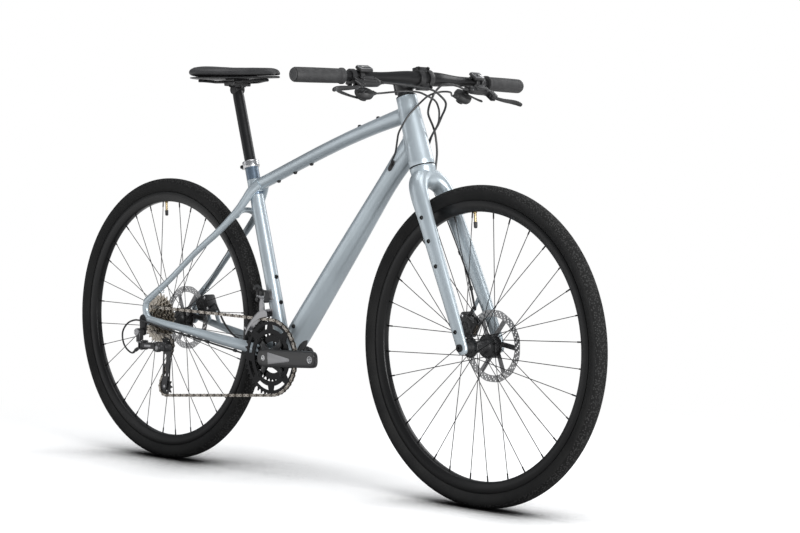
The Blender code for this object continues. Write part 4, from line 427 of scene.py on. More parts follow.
def skin(name, rings):
    """A closed surface over rings of points."""
    count, rows = len(rings[0]), len(rings)
    faces = []
    for r in range(rows - 1):
        for i in range(count):
            j = (i + 1) % count
            faces.append((r * count + i, r * count + j, (r + 1) * count + j, (r + 1) * count + i))
    faces.append(tuple(range(count))[::-1])
    faces.append(tuple((rows - 1) * count + i for i in range(count)))
    mesh = bpy.data.meshes.new(name)
    mesh.from_pydata([point for ring in rings for point in ring], [], faces)
    return faced_out(placed(name, mesh))


def curved(stations, per=6):
    """Smooth stations through given ones; each is a tuple of numbers and vectors."""
    made = []
    for i in range(len(stations) - 1):
        four = [stations[max(i - 1, 0)], stations[i], stations[i + 1],
                stations[min(i + 2, len(stations) - 1)]]
        for k in range(per):
            t = k / per
            weights = (-0.5 * t ** 3 + t ** 2 - 0.5 * t, 1.5 * t ** 3 - 2.5 * t ** 2 + 1.0,
                       -1.5 * t ** 3 + 2.0 * t ** 2 + 0.5 * t, 0.5 * t ** 3 - 0.5 * t ** 2)
            made.append(tuple(sum((weights[j] * four[j][part] for j in range(1, 4)),
                                  weights[0] * four[0][part]) for part in range(len(four[0]))))
    return made + [tuple(stations[-1])]


def squared(value, power):
    """A cosine or sine pushed outward, by a power below 1, with its sign kept."""
    return abs(value) ** power * (1.0 if value >= 0.0 else -1.0)


def oval(centre, across, other, half_across, half_other, sides, square=1.0):
    """A ring of points; square below 1 fills out its corners."""
    ring = []
    for i in range(sides):
        u = squared(cos(tau * i / sides), square)
        v = squared(sin(tau * i / sides), square)
        ring.append(centre + across * (half_across * u) + other * (half_other * v))
    return ring


def tube_rings(stations, sides, square=1.0, wide=Y_AXIS):
    """Rings along stations of (centre, half depth, half width)."""
    rings = []
    for i, (centre, depth, width) in enumerate(stations):
        along = (stations[min(i + 1, len(stations) - 1)][0] - stations[max(i - 1, 0)][0]).normalized()
        up = along.cross(wide).normalized()
        out = up.cross(along).normalized()
        rings.append(oval(centre, up, out, depth, width, sides, square))
    return rings


def tube(name, stations, per, sides, square, wide=Y_AXIS):
    """A solid along stations that are smoothed first."""
    return skin(name, tube_rings(curved(stations, per), sides, square, wide))


def wire(name, points, radius, sides, looped=False):
    """A round wire or tube along a line of points, made from a bevelled curve."""
    curve = bpy.data.curves.new(name, "CURVE")
    curve.dimensions = "3D"
    curve.bevel_depth = radius
    curve.bevel_resolution = max(0, sides // 2 - 2)
    curve.use_fill_caps = not looped
    spline = curve.splines.new("POLY")
    spline.points.add(len(points) - 1)
    spline.use_cyclic_u = looped
    for spot, point in zip(spline.points, points):
        spot.co = (*point, 1.0)
    placed(name, curve)
    bpy.ops.object.convert(target="MESH")
    piece = bpy.context.active_object
    piece.name = name
    return piece


def carve(base, *cutters, operation="DIFFERENCE"):
    """Cuts pieces out of a piece, or welds them on, exactly."""
    for cutter in cutters:
        only(base)
        change = base.modifiers.new("carve", "BOOLEAN")
        change.operation = operation
        change.solver = "EXACT"
        change.object = cutter
        bpy.ops.object.modifier_apply(modifier=change.name)
        bpy.data.objects.remove(cutter, do_unlink=True)
    return base


def steer_point(along, forward=0.0, side=0.0):
    return STEER_FOOT + STEER_UP * along + STEER_FORWARD * forward + Y_AXIS * side


def seat_point(along, forward=0.0, side=0.0):
    return BRACKET + SEAT_UP * along + SEAT_FORWARD * forward + Y_AXIS * side


def paint_finish(name, colour, roughness):
    """Metallic paint: fine flake, faint clouding and a clear coat."""
    made = Finish(name, colour, roughness, 0.55, Coat_Weight=0.4, Coat_Roughness=0.16)
    cloud = made.noise(0.16, 2.0)
    flake = made.noise(0.014, 1.0)
    darker = tuple(part * 0.90 for part in colour)
    lighter = tuple(min(1.0, part * 1.05) for part in colour)
    made.tone(made.blend(cloud.over(0.35, 0.68), darker, lighter))
    made.rough(roughness - 0.05 + 0.12 * made.noise(0.05, 3.0))
    made.bump(flake, 0.00005, 0.25)
    return made


paint = paint_finish("pale_metallic_paint", (0.520, 0.590, 0.635), 0.34)
weld_paint = paint_finish("painted_weld", (0.510, 0.580, 0.625), 0.36)
weld_paint.bump(weld_paint.waves("DIAGONAL", 260.0, 2.0), 0.0004, 0.5)

TOP_START = seat_point(0.4165)
TOP_END = steer_point(HEAD_END - 0.0375)
DOWN_END = steer_point(HEAD_START + 0.0690)
DOWN_DEPTH = 0.0480
DOWN_WIDTH = 0.0520


def lifted(along):
    """The direction square to a line that rises, in the plane of the bike."""
    lift = along.cross(Y_AXIS).normalized()
    return lift * (1.0 if lift.z > 0.0 else -1.0)


def spread(start, end, rows, depth, width):
    """Tube stations between two points: each row is (fraction, depth share, width share, lift)."""
    along = (end - start).normalized()
    lift = along.cross(Y_AXIS).normalized()
    return [(start.lerp(end, fraction) + lift * raised, depth * 0.5 * deep, width * 0.5 * wide)
            for fraction, deep, wide, raised in rows]


top_rows = []
for fraction in (0.0, 0.12, 0.28, 0.45, 0.62, 0.78, 0.90, 1.0):
    deeper = 1.0 + 0.25 * max(0.0, (fraction - 0.62) / 0.38) ** 2 - 0.08 * (1.0 - fraction)
    top_rows.append((fraction, deeper, 0.88 + 0.12 * fraction, 0.0083 * sin(pi * fraction ** 1.35)))
down_rows = [(0.0, 1.00, 1.18, 0.0), (0.13, 1.03, 1.27, 0.0), (0.35, 1.01, 1.15, 0.0),
             (0.55, 0.98, 1.00, 0.0), (0.78, 0.92, 0.80, 0.0), (0.90, 1.04, 0.80, -0.003),
             (1.0, 1.24, 0.80, -0.007)]
top_stations = curved(spread(TOP_START, TOP_END, top_rows, 0.0310, 0.0350))
down_stations = curved(spread(BRACKET, DOWN_END, down_rows, DOWN_DEPTH, DOWN_WIDTH))
top_rings = tube_rings(top_stations, 40, 0.9)
down_rings = tube_rings(down_stations, 48, 0.85)

DROPOUT_PLANE = 0.0713
DROPOUT_FACE = 0.0798
STAY_PLANE = DROPOUT_PLANE + 0.0070
seatstay_along = (TOP_START - REAR_AXLE).normalized()
seatstay_lift = lifted(seatstay_along)
SEATSTAY_SPAN = (TOP_START - REAR_AXLE).length
# Rows of (fraction from axle to seat tube, raised, side, depth share, width share)
seatstay_rows = [(1.054, -0.0142, 0.0100, 1.25, 1.15), (1.004, -0.0130, 0.0190, 1.33, 1.25),
                 (0.937, -0.0177, 0.0255, 1.25, 1.20), (0.857, -0.0219, 0.0340, 1.12, 1.12),
                 (0.707, -0.0163, 0.0440, 0.95, 1.05), (0.511, -0.0013, 0.0560, 0.83, 1.00),
                 (0.285, 0.0105, 0.0680, 0.83, 0.95)]
# Rows of (fraction from axle to bracket, raised, side, depth share, width share)
chainstay_rows = [(0.228, 0.0032, 0.0655, 1.00, 1.05), (0.411, 0.0032, 0.0545, 1.20, 1.15),
                  (0.572, 0.0028, 0.0460, 1.40, 1.20), (0.755, 0.0030, 0.0335, 1.52, 1.00),
                  (0.867, 0.0010, 0.0270, 1.52, 0.95), (0.970, 0.0, 0.0220, 1.45, 1.10)]


def rounded(before, corner, after, radius, steps):
    """Points of an arc that rounds a corner off."""
    inward = (before - corner).normalized()
    outward = (after - corner).normalized()
    half = inward.angle(outward) * 0.5
    centre = corner + (inward + outward).normalized() * (radius / sin(half))
    first = corner + inward * (radius / tan(half)) - centre
    last = corner + outward * (radius / tan(half)) - centre
    return [centre + first.slerp(last, i / steps).normalized() * radius for i in range(steps + 1)]


def stay_stations(side):
    """The line of one side's stays, from the seat tube round the axle to the bracket."""
    upper = [(REAR_AXLE + seatstay_along * (SEATSTAY_SPAN * fraction) + seatstay_lift * raised
              + Y_AXIS * (side * out), STAY_DEPTH * deep, STAY_WIDTH * wide)
             for fraction, raised, out, deep, wide in seatstay_rows]
    lower = [(REAR_AXLE.lerp(BRACKET, fraction) + Vector((0.0, side * out, raised)),
              STAY_DEPTH * deep, STAY_WIDTH * wide) for fraction, raised, out, deep, wide in chainstay_rows]
    before, after = upper[-1][0].copy(), lower[0][0].copy()
    before.y = after.y = 0.0
    corner = REAR_AXLE + Vector((-0.0413, 0.0, 0.0100))
    bend = [(point + Y_AXIS * (side * STAY_PLANE), STAY_DEPTH, STAY_WIDTH)
            for point in rounded(before, corner, after, 0.0280, 5)]
    return curved(upper + bend + lower, 5)


seat_profile = [(0.004, 0.0), (0.004, SEAT_TUBE_RADIUS), (0.30, SEAT_TUBE_RADIUS), (0.36, 0.0169),
                (0.42, 0.0166), (SEAT_TUBE_LENGTH, 0.0160), (SEAT_TUBE_LENGTH, POST_BORE),
                (SEAT_TUBE_LENGTH - 0.05, POST_BORE), (SEAT_TUBE_LENGTH - 0.05, 0.0)]
head_profile = [(0.0, HEAD_BORE), (0.0, 0.0286), (0.0008, 0.0290), (0.012, 0.0286), (0.05, 0.0270),
                (0.1, 0.0252), (0.150, 0.0233), (0.1604, 0.0232), (0.1612, 0.0228), (0.1612, HEAD_BORE)]
head_tube = lathe("head_tube", [*head_profile, head_profile[0]], steer_point(HEAD_START), STEER_UP, 72)
down_tube = skin("down_tube", down_rings)
top_tube = skin("top_tube", top_rings)
seat_tube = lathe("seat_tube", seat_profile, BRACKET, SEAT_UP, 56)
shell = lathe("bracket_shell",
              [(-0.034, 0.0170), (-0.034, 0.0200), (-0.0334, SHELL_RADIUS), (0.0334, SHELL_RADIUS),
               (0.034, 0.0200), (0.034, 0.0170), (-0.034, 0.0170)], BRACKET, Y_AXIS, 56)
stay_tubes = [skin("stay", tube_rings(stay_stations(side), 28)) for side in (-1.0, 1.0)]


def surface_of(piece):
    """A piece's faces, for finding where a line meets them."""
    mesh = piece.data
    return BVHTree.FromPolygons([v.co.copy() for v in mesh.vertices],
                                [tuple(p.vertices) for p in mesh.polygons])


def weld(rings, onto, radius=0.0021):
    """A bead where the lines of one tube first meet the surface of another."""
    surface = surface_of(onto)
    bead = []
    for i in range(len(rings[0])):
        for first, second in zip(rings, rings[1:]):
            span = second[i] - first[i]
            hit = surface.ray_cast(first[i], span.normalized(), span.length)
            if hit[0] is not None:
                bead.append(hit[0])
                break
    return wire("bead", bead, radius, 10, looped=True) if len(bead) == len(rings[0]) else None


beads = [weld(top_rings, head_tube), weld(top_rings[::-1], seat_tube), weld(down_rings, head_tube),
         weld(down_rings[::-1], shell, 0.0024)]
seat_rings = [oval(seat_point(along), SEAT_FORWARD, Y_AXIS, SEAT_TUBE_RADIUS, SEAT_TUBE_RADIUS, 40)
              for along in (0.20, 0.10, 0.04, 0.004)]
beads.append(weld(seat_rings, shell))
for side in (-1.0, 1.0):
    rings = tube_rings(stay_stations(side), 28)
    beads += [weld(rings[::-1][len(rings) // 2:], seat_tube, 0.0016),
              weld(rings[len(rings) // 2:], shell, 0.0018)]
    beads.append(wire("bead",
                      oval(REAR_AXLE + seatstay_along * (SEATSTAY_SPAN * 0.20) + seatstay_lift * 0.0128
                           + Y_AXIS * (side * 0.0718), seatstay_lift, Y_AXIS, 0.0089, 0.0070, 24), 0.0011,
                      8, looped=True))
beads = [bead for bead in beads if bead]
assemble("frame_welds", beads, weld_paint, "frame", "paint", angle=80.0)

dropouts = [bar("dropout", REAR_AXLE + Y_AXIS * (side * DROPOUT_PLANE),
                REAR_AXLE + Y_AXIS * (side * DROPOUT_FACE), 0.0160, 48, 0.0008) for side in (-1.0, 1.0)]
BRIDGE_POINT = REAR_AXLE + seatstay_along * (SEATSTAY_SPAN * 0.857) - seatstay_lift * 0.0219
bridge_rows = [(BRIDGE_POINT + Y_AXIS * (0.036 * share)
                + SEAT_UP * (0.0110 * (1.0 - share * share) - 0.0040), 0.0062 + 0.0045 * abs(share) ** 3,
                0.0085 + 0.0030 * abs(share) ** 3)
               for share in (-1.0, -0.8, -0.55, -0.3, 0.0, 0.3, 0.55, 0.8, 1.0)]
bridge = tube("bridge", bridge_rows, 4, 28, 0.8, SEAT_FORWARD)
lower_bridge_point = REAR_AXLE.lerp(BRACKET, 0.868)
lower_bridge = bar("lower_bridge", lower_bridge_point - Y_AXIS * 0.026, lower_bridge_point + Y_AXIS * 0.026,
                   0.0070, 32)
CALIPER_RADIUS = 0.0850
CALIPER_HALF = 0.0220
rear_radial = toward(radians(24.0))
rear_tangent = Vector((-rear_radial.z, 0.0, rear_radial.x))
rear_caliper_centre = REAR_AXLE + rear_radial * CALIPER_RADIUS + Y_AXIS * REAR_ROTOR_PLANE
posts = []
for offset, length in ((-0.0150, 0.0220), (0.0150, 0.0330)):
    foot = rear_caliper_centre + rear_radial * offset - rear_tangent * (CALIPER_HALF + GAP) + Y_AXIS * 0.0100
    posts.append(bar("post", foot, foot - rear_tangent * length, 0.0050, 28, 0.0004))

carve(seat_tube, bar("post_bore", seat_point(0.2), seat_point(0.5), POST_BORE, 48))
tubes = assemble("frame_tubes",
                 [down_tube, top_tube, head_tube, shell, seat_tube, *stay_tubes, *dropouts, bridge,
                  lower_bridge, *posts], paint, "frame", "paint", ("frame",), 40.0)

# Slate band: the top of the seat tube, above the top tube, is painted slate blue. The coat is
# modelled as a thin sleeve that stands 0.1 mm proud of the aluminium.
accent = paint_finish("slate_blue_paint", (0.140, 0.190, 0.250), 0.34)
sleeve = lathe("seat_tube_band", [(0.395, 0.01675), (0.4345, 0.01645), (0.4635, 0.01625), (0.4635, 0.0155)],
               BRACKET, SEAT_UP, 56)
dress(sleeve, accent, "frame", "paint")

# Small bolts: black socket-head screws in threaded inserts with a round shoulder. Two are on the
# top tube, three under it, two on the seat tube, two on the down tube and one low on its side.
bolt_black = Finish("black_bolt_steel", (0.016, 0.016, 0.017), 0.34, 0.6)
bolt_black.worn(0.28, 0.14, 0.003, 0.0006, 0.00004, 0.4)
BOSS_SCREW = (0.0045, 0.0040)
down_along = (DOWN_END - BRACKET).normalized()
down_lift = lifted(down_along)
DOWN_SPAN = (DOWN_END - BRACKET).length
top_along = (TOP_END - TOP_START).normalized()
top_lift = lifted(top_along)


def down_point(fraction, lift=0.0, side=0.0):
    return BRACKET + down_along * (DOWN_SPAN * fraction) + down_lift * lift + Y_AXIS * side


def screw(at, outward, radius=0.0042, height=0.0030, socket=0.0020):
    """A button-head screw with a hexagonal socket, seated on a thin washer."""
    outward = Vector(outward).normalized()
    head = lathe("screw",
                 [(-0.0010, 0.0), (-0.0010, radius * 1.18), (0.0003, radius * 1.18), (0.0005, radius),
                  (height * 0.55, radius * 0.97), (height * 0.9, radius * 0.80), (height, radius * 0.62),
                  (height, 0.0)], at, outward, 24)
    socket_cut = bar("socket", Vector(at) + outward * (height * 0.35),
                     Vector(at) + outward * (height + 0.002), socket, 6)
    return carve(head, socket_cut)


frame_surface = surface_of(tubes)


def landed(start, direction):
    """The point where a line from outside first meets the frame."""
    return frame_surface.ray_cast(Vector(start), Vector(direction).normalized())[0]


frame_screws = []
for x in (0.6813, 0.7414):
    at = landed((x, 0.0, 1.2), (0.0, 0.0, -1.0))
    frame_screws.append(screw(at, top_lift, *BOSS_SCREW))
for x in (0.4060, 0.4637, 0.5201):
    share = (x - TOP_START.x) / (TOP_END.x - TOP_START.x)
    at = landed((x, 0.0, TOP_START.lerp(TOP_END, share).z - 0.035), (0.0, 0.0, 1.0))
    frame_screws.append(screw(at, -top_lift, *BOSS_SCREW))
for along in (0.1280, 0.1900):
    frame_screws.append(screw(landed(seat_point(along, 0.1), -SEAT_FORWARD), SEAT_FORWARD, *BOSS_SCREW))
for fraction in (0.30, 0.42):
    frame_screws.append(screw(landed(down_point(fraction, 0.1), -down_lift), down_lift, *BOSS_SCREW))
frame_screws.append(screw(landed(down_point(0.148, 0.0, -0.1), Y_AXIS), -Y_AXIS, 0.0045, 0.0030))
assemble("frame_screws", frame_screws, bolt_black, "frame", "black_metal")

# Fork: one moulded piece painted like the frame, with two tapered blades, a round crown and
# bolts for a rack or bottle on the outer face of each blade.
BLADE_INNER = 0.0503
STEERER_RADIUS = 0.0143
STEERER_BORE = 0.0118
FRONT_ROTOR_PLANE = 0.0395
# Rows of (height, ahead, side, half depth, half width), from the axle up to the crown
blade_rows = [(-0.0145, FORK_OFFSET, BLADE_INNER + 0.0071, 0.0070, 0.0068),
              (-0.0115, FORK_OFFSET, BLADE_INNER + 0.0073, 0.0105, 0.0071),
              (-0.0020, FORK_OFFSET, BLADE_INNER + 0.0075, 0.0142, 0.0073),
              (0.0300, FORK_OFFSET - 0.0013, BLADE_INNER + 0.0082, 0.0150, 0.0080),
              (0.1000, FORK_OFFSET * 0.85, BLADE_INNER + 0.0057, 0.0162, 0.0100),
              (0.2000, FORK_OFFSET * 0.63, BLADE_INNER + 0.0017, 0.0185, 0.0115),
              (0.3000, FORK_OFFSET * 0.40, BLADE_INNER - 0.0038, 0.0205, 0.0128),
              (AXLE_TO_CROWN - 0.0754, FORK_OFFSET * 0.27, BLADE_INNER - 0.0073, 0.0225, 0.0148),
              (AXLE_TO_CROWN - 0.0454, FORK_OFFSET * 0.17, BLADE_INNER - 0.0158, 0.0232, 0.0178),
              (AXLE_TO_CROWN - 0.0294, FORK_OFFSET * 0.09, BLADE_INNER - 0.0318, 0.0238, 0.0215)]


def blade_stations(side):
    return [(steer_point(height, ahead, side * out), half_width, half_depth)
            for height, ahead, out, half_depth, half_width in blade_rows]


crown_middle = [(steer_point(AXLE_TO_CROWN - 0.0254, FORK_OFFSET * 0.06), 0.0235, 0.0240)]
fork_stations = curved(blade_stations(-1.0) + crown_middle + blade_stations(1.0)[::-1], 7)
blades = skin("fork_blades", tube_rings(fork_stations, 36, 0.94, STEER_FORWARD))
crown = lathe("crown",
              [(AXLE_TO_CROWN - 0.034, 0.0), (AXLE_TO_CROWN - 0.034, 0.0238),
               (AXLE_TO_CROWN - 0.026, 0.0256), (AXLE_TO_CROWN - 0.012, 0.0278),
               (AXLE_TO_CROWN - 0.004, 0.0290), (AXLE_TO_CROWN - 0.0008, 0.0290), (AXLE_TO_CROWN, 0.0284),
               (AXLE_TO_CROWN, 0.0)], STEER_FOOT, STEER_UP, 64)
steerer = lathe("steerer",
                [(AXLE_TO_CROWN - 0.020, 0.0), (AXLE_TO_CROWN - 0.020, 0.0190),
                 (AXLE_TO_CROWN + 0.020, 0.0190), (AXLE_TO_CROWN + 0.045, STEERER_RADIUS),
                 (AXLE_TO_CROWN + 0.2085, STEERER_RADIUS), (AXLE_TO_CROWN + 0.2085, STEERER_BORE),
                 (AXLE_TO_CROWN + 0.16, STEERER_BORE), (AXLE_TO_CROWN + 0.16, 0.0)], STEER_FOOT,
                STEER_UP, 40)
front_radial = toward(radians(150.0))
front_tangent = Vector((front_radial.z, 0.0, -front_radial.x))
front_caliper_centre = FRONT_AXLE + front_radial * CALIPER_RADIUS + Y_AXIS * FRONT_ROTOR_PLANE
fork_posts = []
for offset, length in ((-0.0150, 0.0260), (0.0150, 0.0460)):
    foot = (front_caliper_centre + front_radial * offset + front_tangent * (CALIPER_HALF + GAP)
            + Y_AXIS * 0.0125)
    fork_posts.append(bar("post", foot, foot + front_tangent * length, 0.0042, 24, 0.0004))
fork_piece = assemble("fork_painted", [blades, crown, steerer, *fork_posts], paint, "steering", "paint",
                      ("fork",), 40.0)
fork_surface = surface_of(fork_piece)
fork_screws = []
for side in (-1.0, 1.0):
    for height, ahead in ((0.3030, 0.0192), (0.2470, 0.0262), (0.1880, 0.0325), (0.0360, 0.0480)):
        start = steer_point(height, ahead, side * 0.2)
        hit = fork_surface.ray_cast(start, Vector((0.0, -side, 0.0)))
        if hit[0] is not None:
            fork_screws.append(screw(hit[0], hit[1], 0.0042, 0.0028))
assemble("fork_screws", fork_screws, bolt_black, "steering", "black_metal")

# Front axle: a black turned steel thru axle, screwed into the left blade, with a hexagonal socket
# in the head that sits on the right one.
AXLE_RADIUS = 0.0060
axle = bar("thru_axle", FRONT_AXLE - Y_AXIS * 0.0660, FRONT_AXLE + Y_AXIS * 0.0670, AXLE_RADIUS, 40,
           0.0004)
head = lathe("axle_head", [(0.0, 0.0), (0.0, 0.0085), (0.0027, 0.0085), (0.0035, 0.0077), (0.0035, 0.0)],
             FRONT_AXLE - Y_AXIS * 0.0658, -Y_AXIS, 40)
carve(head, bar("socket", FRONT_AXLE - Y_AXIS * 0.0670, FRONT_AXLE - Y_AXIS * 0.0720, 0.0032, 6))
assemble("front_thru_axle", [axle, head], bolt_black, "steering", "black_metal", ("front_axle",))

# Headset: a black anodised lower race, pressed in and seen as a dark line under the head tube,
# and a turned cover on top.
anodised = Finish("satin_black_anodised", (0.020, 0.020, 0.021), 0.36, 0.55)
anodised.worn(0.30, 0.14, 0.02, 0.0008, 0.00003, 0.5)
lower_race = lathe("lower_race",
                   [(AXLE_TO_CROWN + GAP, 0.0193), (AXLE_TO_CROWN + GAP, 0.0282),
                    (AXLE_TO_CROWN + 0.0009, 0.0288), (HEAD_START - 0.0009, 0.0288),
                    (HEAD_START - GAP, 0.0282), (HEAD_START - GAP, HEAD_BORE - GAP),
                    (HEAD_START + 0.010, HEAD_BORE - GAP), (HEAD_START + 0.010, 0.0193),
                    (AXLE_TO_CROWN + GAP, 0.0193)], STEER_FOOT, STEER_UP, 64)
dress(lower_race, anodised, "steering", "black_metal", ("headset_lower_bearing",))
top_cover = lathe("top_cover",
                  [(HEAD_END - 0.012, 0.0146), (HEAD_END - 0.012, HEAD_BORE - GAP),
                   (HEAD_END + GAP, HEAD_BORE - GAP), (HEAD_END + GAP, 0.0228), (HEAD_END + 0.0012, 0.0232),
                   (HEAD_END + 0.0026, 0.0228), (HEAD_END + 0.0042, 0.0205), (HEAD_END + 0.0054, 0.0186),
                   (HEAD_END + 0.0064, 0.0182), (HEAD_END + 0.0085, 0.0182), (HEAD_END + 0.0090, 0.0177),
                   (HEAD_END + 0.0090, 0.0146), (HEAD_END - 0.012, 0.0146)], STEER_FOOT, STEER_UP, 64)
dress(top_cover, anodised, "steering", "black_metal", ("headset_cover",))

# Stem: forged aluminium, painted satin black, pinched on the steerer by two bolts, and split at
# the bar by a face plate on four bolts; a cap closes the top.
STEM_START = HEAD_END + 0.0093
STEM_END = STEM_START + 0.0380
STEM_MIDDLE = (STEM_START + STEM_END) * 0.5
BAR_CENTRE = steer_point(STEM_MIDDLE - 0.0060, 0.0595)
stem_base = steer_point(STEM_MIDDLE)
stem_along = (BAR_CENTRE - stem_base).normalized()
stem_up = stem_along.cross(-Y_AXIS).normalized()
CLAMP_BORE = 0.0162
CLAMP_OUTER = 0.0204
satin_black = Finish("satin_black_paint", (0.022, 0.022, 0.023), 0.40, 0.2, Coat_Weight=0.15,
                     Coat_Roughness=0.3)
satin_black.worn(0.34, 0.14, 0.018, 0.0007, 0.00004, 0.5)


def brick(name, centre, axes, sizes, edge=0.0, segments=2):
    """A block along three directions, with its edges rounded."""
    alone()
    bpy.ops.mesh.primitive_cube_add(size=1.0)
    piece = bpy.context.active_object
    matrix = Matrix([Vector(axis).normalized() * size for axis, size in zip(axes, sizes)])
    matrix = matrix.transposed().to_4x4()
    matrix.translation = centre
    piece.matrix_world = matrix
    settle(name)
    if matrix.determinant() < 0.0:
        piece.data.flip_normals()
    return soften(piece, edge, segments) if edge else piece


def clamp_block(name, ahead, depth, height, width, edge=0.0):
    return brick(name, BAR_CENTRE + stem_along * ahead, (stem_along, Y_AXIS, stem_up),
                 (depth, width, height), edge)


def clamp_bore():
    return bar("bore", BAR_CENTRE - Y_AXIS * 0.05, BAR_CENTRE + Y_AXIS * 0.05, CLAMP_BORE, 64)


steerer_clamp = bar("steerer_clamp", steer_point(STEM_START), steer_point(STEM_END), 0.0185, 64, 0.0012)
extension_stations = [(stem_base + stem_along * 0.002, 0.0165, 0.0165),
                      (stem_base + stem_along * 0.018, 0.0152, 0.0150),
                      (BAR_CENTRE - stem_along * 0.022, 0.0150, 0.0162),
                      (BAR_CENTRE - stem_along * 0.010, 0.0182, 0.0192)]
extension = tube("extension", extension_stations, 6, 40, 0.7)
bar_clamp = bar("bar_clamp", BAR_CENTRE - Y_AXIS * 0.021, BAR_CENTRE + Y_AXIS * 0.021, CLAMP_OUTER, 64,
                0.0010)
lugs = clamp_block("lugs", -0.0042, 0.0080, 2.0 * CLAMP_OUTER + 0.010, 0.0390, 0.0018)
rear_lug = brick("rear_lug", stem_base - stem_along * 0.0195, (stem_along, Y_AXIS, STEER_UP),
                 (0.010, 0.018, 0.035), 0.0022)
carve(steerer_clamp, extension, bar_clamp, lugs, rear_lug, operation="UNION")
carve(steerer_clamp, bar("bore", steer_point(STEM_START - 0.01), steer_point(STEM_END + 0.01), 0.0146, 48),
      clamp_bore(), clamp_block("front_half", 0.030, 0.060, 0.080, 0.080),
      brick("slit", stem_base - stem_along * 0.022, (stem_along, Y_AXIS, STEER_UP), (0.020, 0.0016, 0.060)))
assemble("stem_forging", [steerer_clamp], satin_black, "steering", "black_metal", ("stem",))
plate_body = bar("plate_body", BAR_CENTRE - Y_AXIS * 0.021, BAR_CENTRE + Y_AXIS * 0.021, CLAMP_OUTER, 64,
                 0.0010)
carve(plate_body, clamp_block("plate_lugs", 0.0047, 0.0070, 2.0 * CLAMP_OUTER + 0.010, 0.0390, 0.0018),
      operation="UNION")
carve(plate_body, clamp_bore(), clamp_block("rear_half", -0.0288, 0.060, 0.080, 0.080),
      clamp_block("window", 0.014, 0.020, 0.0240, 0.0150, 0.0030),
      clamp_block("window", 0.020, 0.020, 0.080, 0.0140, 0.0020))
assemble("stem_plate", [plate_body], satin_black, "steering", "black_metal", ("stem_faceplate",))
stem_screws = []
for up in (-1.0, 1.0):
    for side in (-1.0, 1.0):
        at = (BAR_CENTRE + stem_along * 0.0080 + stem_up * (up * (CLAMP_OUTER + 0.0012))
              + Y_AXIS * (side * 0.0145))
        stem_screws.append(screw(at, stem_along, 0.0036, 0.0034, 0.0018))
for along in (0.010, 0.028):
    at = stem_base - stem_along * 0.0200 + STEER_UP * (along - 0.019) - Y_AXIS * 0.0088
    stem_screws.append(screw(at, -Y_AXIS, 0.0034, 0.0028, 0.0017))
assemble("stem_screws", stem_screws, bolt_black, "steering", "black_metal")
cap = lathe("stem_cap_disc",
            [(STEM_END + GAP, 0.0), (STEM_END + GAP, 0.0174), (STEM_END + 0.0007, 0.0178),
             (STEM_END + 0.0036, 0.0178), (STEM_END + 0.0048, 0.0168), (STEM_END + 0.0055, 0.0145),
             (STEM_END + 0.0055, 0.0068), (STEM_END + 0.0040, 0.0062), (STEM_END + 0.0040, 0.0)],
            STEER_FOOT, STEER_UP, 64)
cap_screw = screw(steer_point(STEM_END + 0.0035), STEER_UP, 0.0042, 0.0018, 0.0024)
assemble("stem_top_cap", [cap, cap_screw], satin_black, "steering", "black_metal", ("stem_cap",))

# Handlebar: one drawn aluminium tube, anodised black, thick at the stem, tapering to the grips
# and swept back. The stem's face plate holds it.
BAR_WIDTH = 0.7108


def bar_point(side, distance):
    share = max(0.0, distance - 0.045) / (BAR_WIDTH * 0.5 - 0.045)
    return BAR_CENTRE + Vector((-0.0335 * share, side * distance, -0.0035 * share))


def bar_radius(distance):
    share = min(1.0, max(0.0, (distance - 0.035) / 0.095))
    share = share * share * (3.0 - 2.0 * share)
    return 0.0159 + (0.0111 - 0.0159) * share


bar_distances = [0.3505, 0.300, 0.240, 0.180] + [0.136 - 0.006 * i for i in range(18)] + [0.022, 0.008]
bar_line = [(-1.0, d) for d in bar_distances] + [(1.0, d) for d in bar_distances[::-1]]
bar_rings = tube_rings([(bar_point(s, d), bar_radius(d), bar_radius(d)) for s, d in bar_line], 56, 1.0,
                       Z_AXIS)
dress(skin("handlebar_tube", bar_rings), anodised, "steering", "black_metal", ("handlebar",))

# Grips: moulded rubber sleeves pushed on the bar, with a bulged ring at the inner end and a
# plastic plug in the outer end.
X_AXIS = Vector((1.0, 0.0, 0.0))
GRIP_START = BAR_WIDTH * 0.5 - 0.1320
GRIP_BORE = 0.0114
grip_rubber = Finish("grip_rubber", (0.030, 0.030, 0.031), 0.62)
ribs = grip_rubber.waves("Y", 130.0, 0.4)
grip_rubber.mottle(0.012, 3.0, (0.026, 0.026, 0.027), (0.040, 0.040, 0.041), 0.4)
grip_rubber.rough(0.55 + 0.15 * grip_rubber.noise(0.006, 2.0))
grip_rubber.bump(ribs * 0.7 + grip_rubber.cells(0.0014) * 0.3, 0.00035, 0.6)
plug_plastic = Finish("grip_plug_plastic", (0.060, 0.060, 0.062), 0.48)
plug_plastic.worn(0.42, 0.14, 0.004, 0.0007, 0.00005, 0.5)


class Hand:
    """Directions and places around one end of the handlebar."""

    def __init__(self, side, word, droop):
        self.side = side
        self.word = word
        self.out = (bar_point(side, 0.340) - bar_point(side, 0.140)).normalized()
        level = (X_AXIS - self.out * self.out.x).normalized()
        upright = (level.cross(self.out) * side).normalized()
        self.ahead = level * cos(droop) - upright * sin(droop)
        self.up = upright * cos(droop) + level * sin(droop)

    def at(self, distance, ahead=0.0, up=0.0):
        return bar_point(self.side, distance) + self.ahead * ahead + self.up * up

    def block(self, distance, ahead, up, sizes, edge=0.0015, segments=3):
        return brick("block", self.at(distance, ahead, up), (self.out, self.ahead, self.up), sizes, edge,
                     segments)

    def path(self, rows, start, per=6):
        stations = [(self.at(start + out, ahead, up), deep, wide) for out, ahead, up, deep, wide in rows]
        return curved(stations, per)


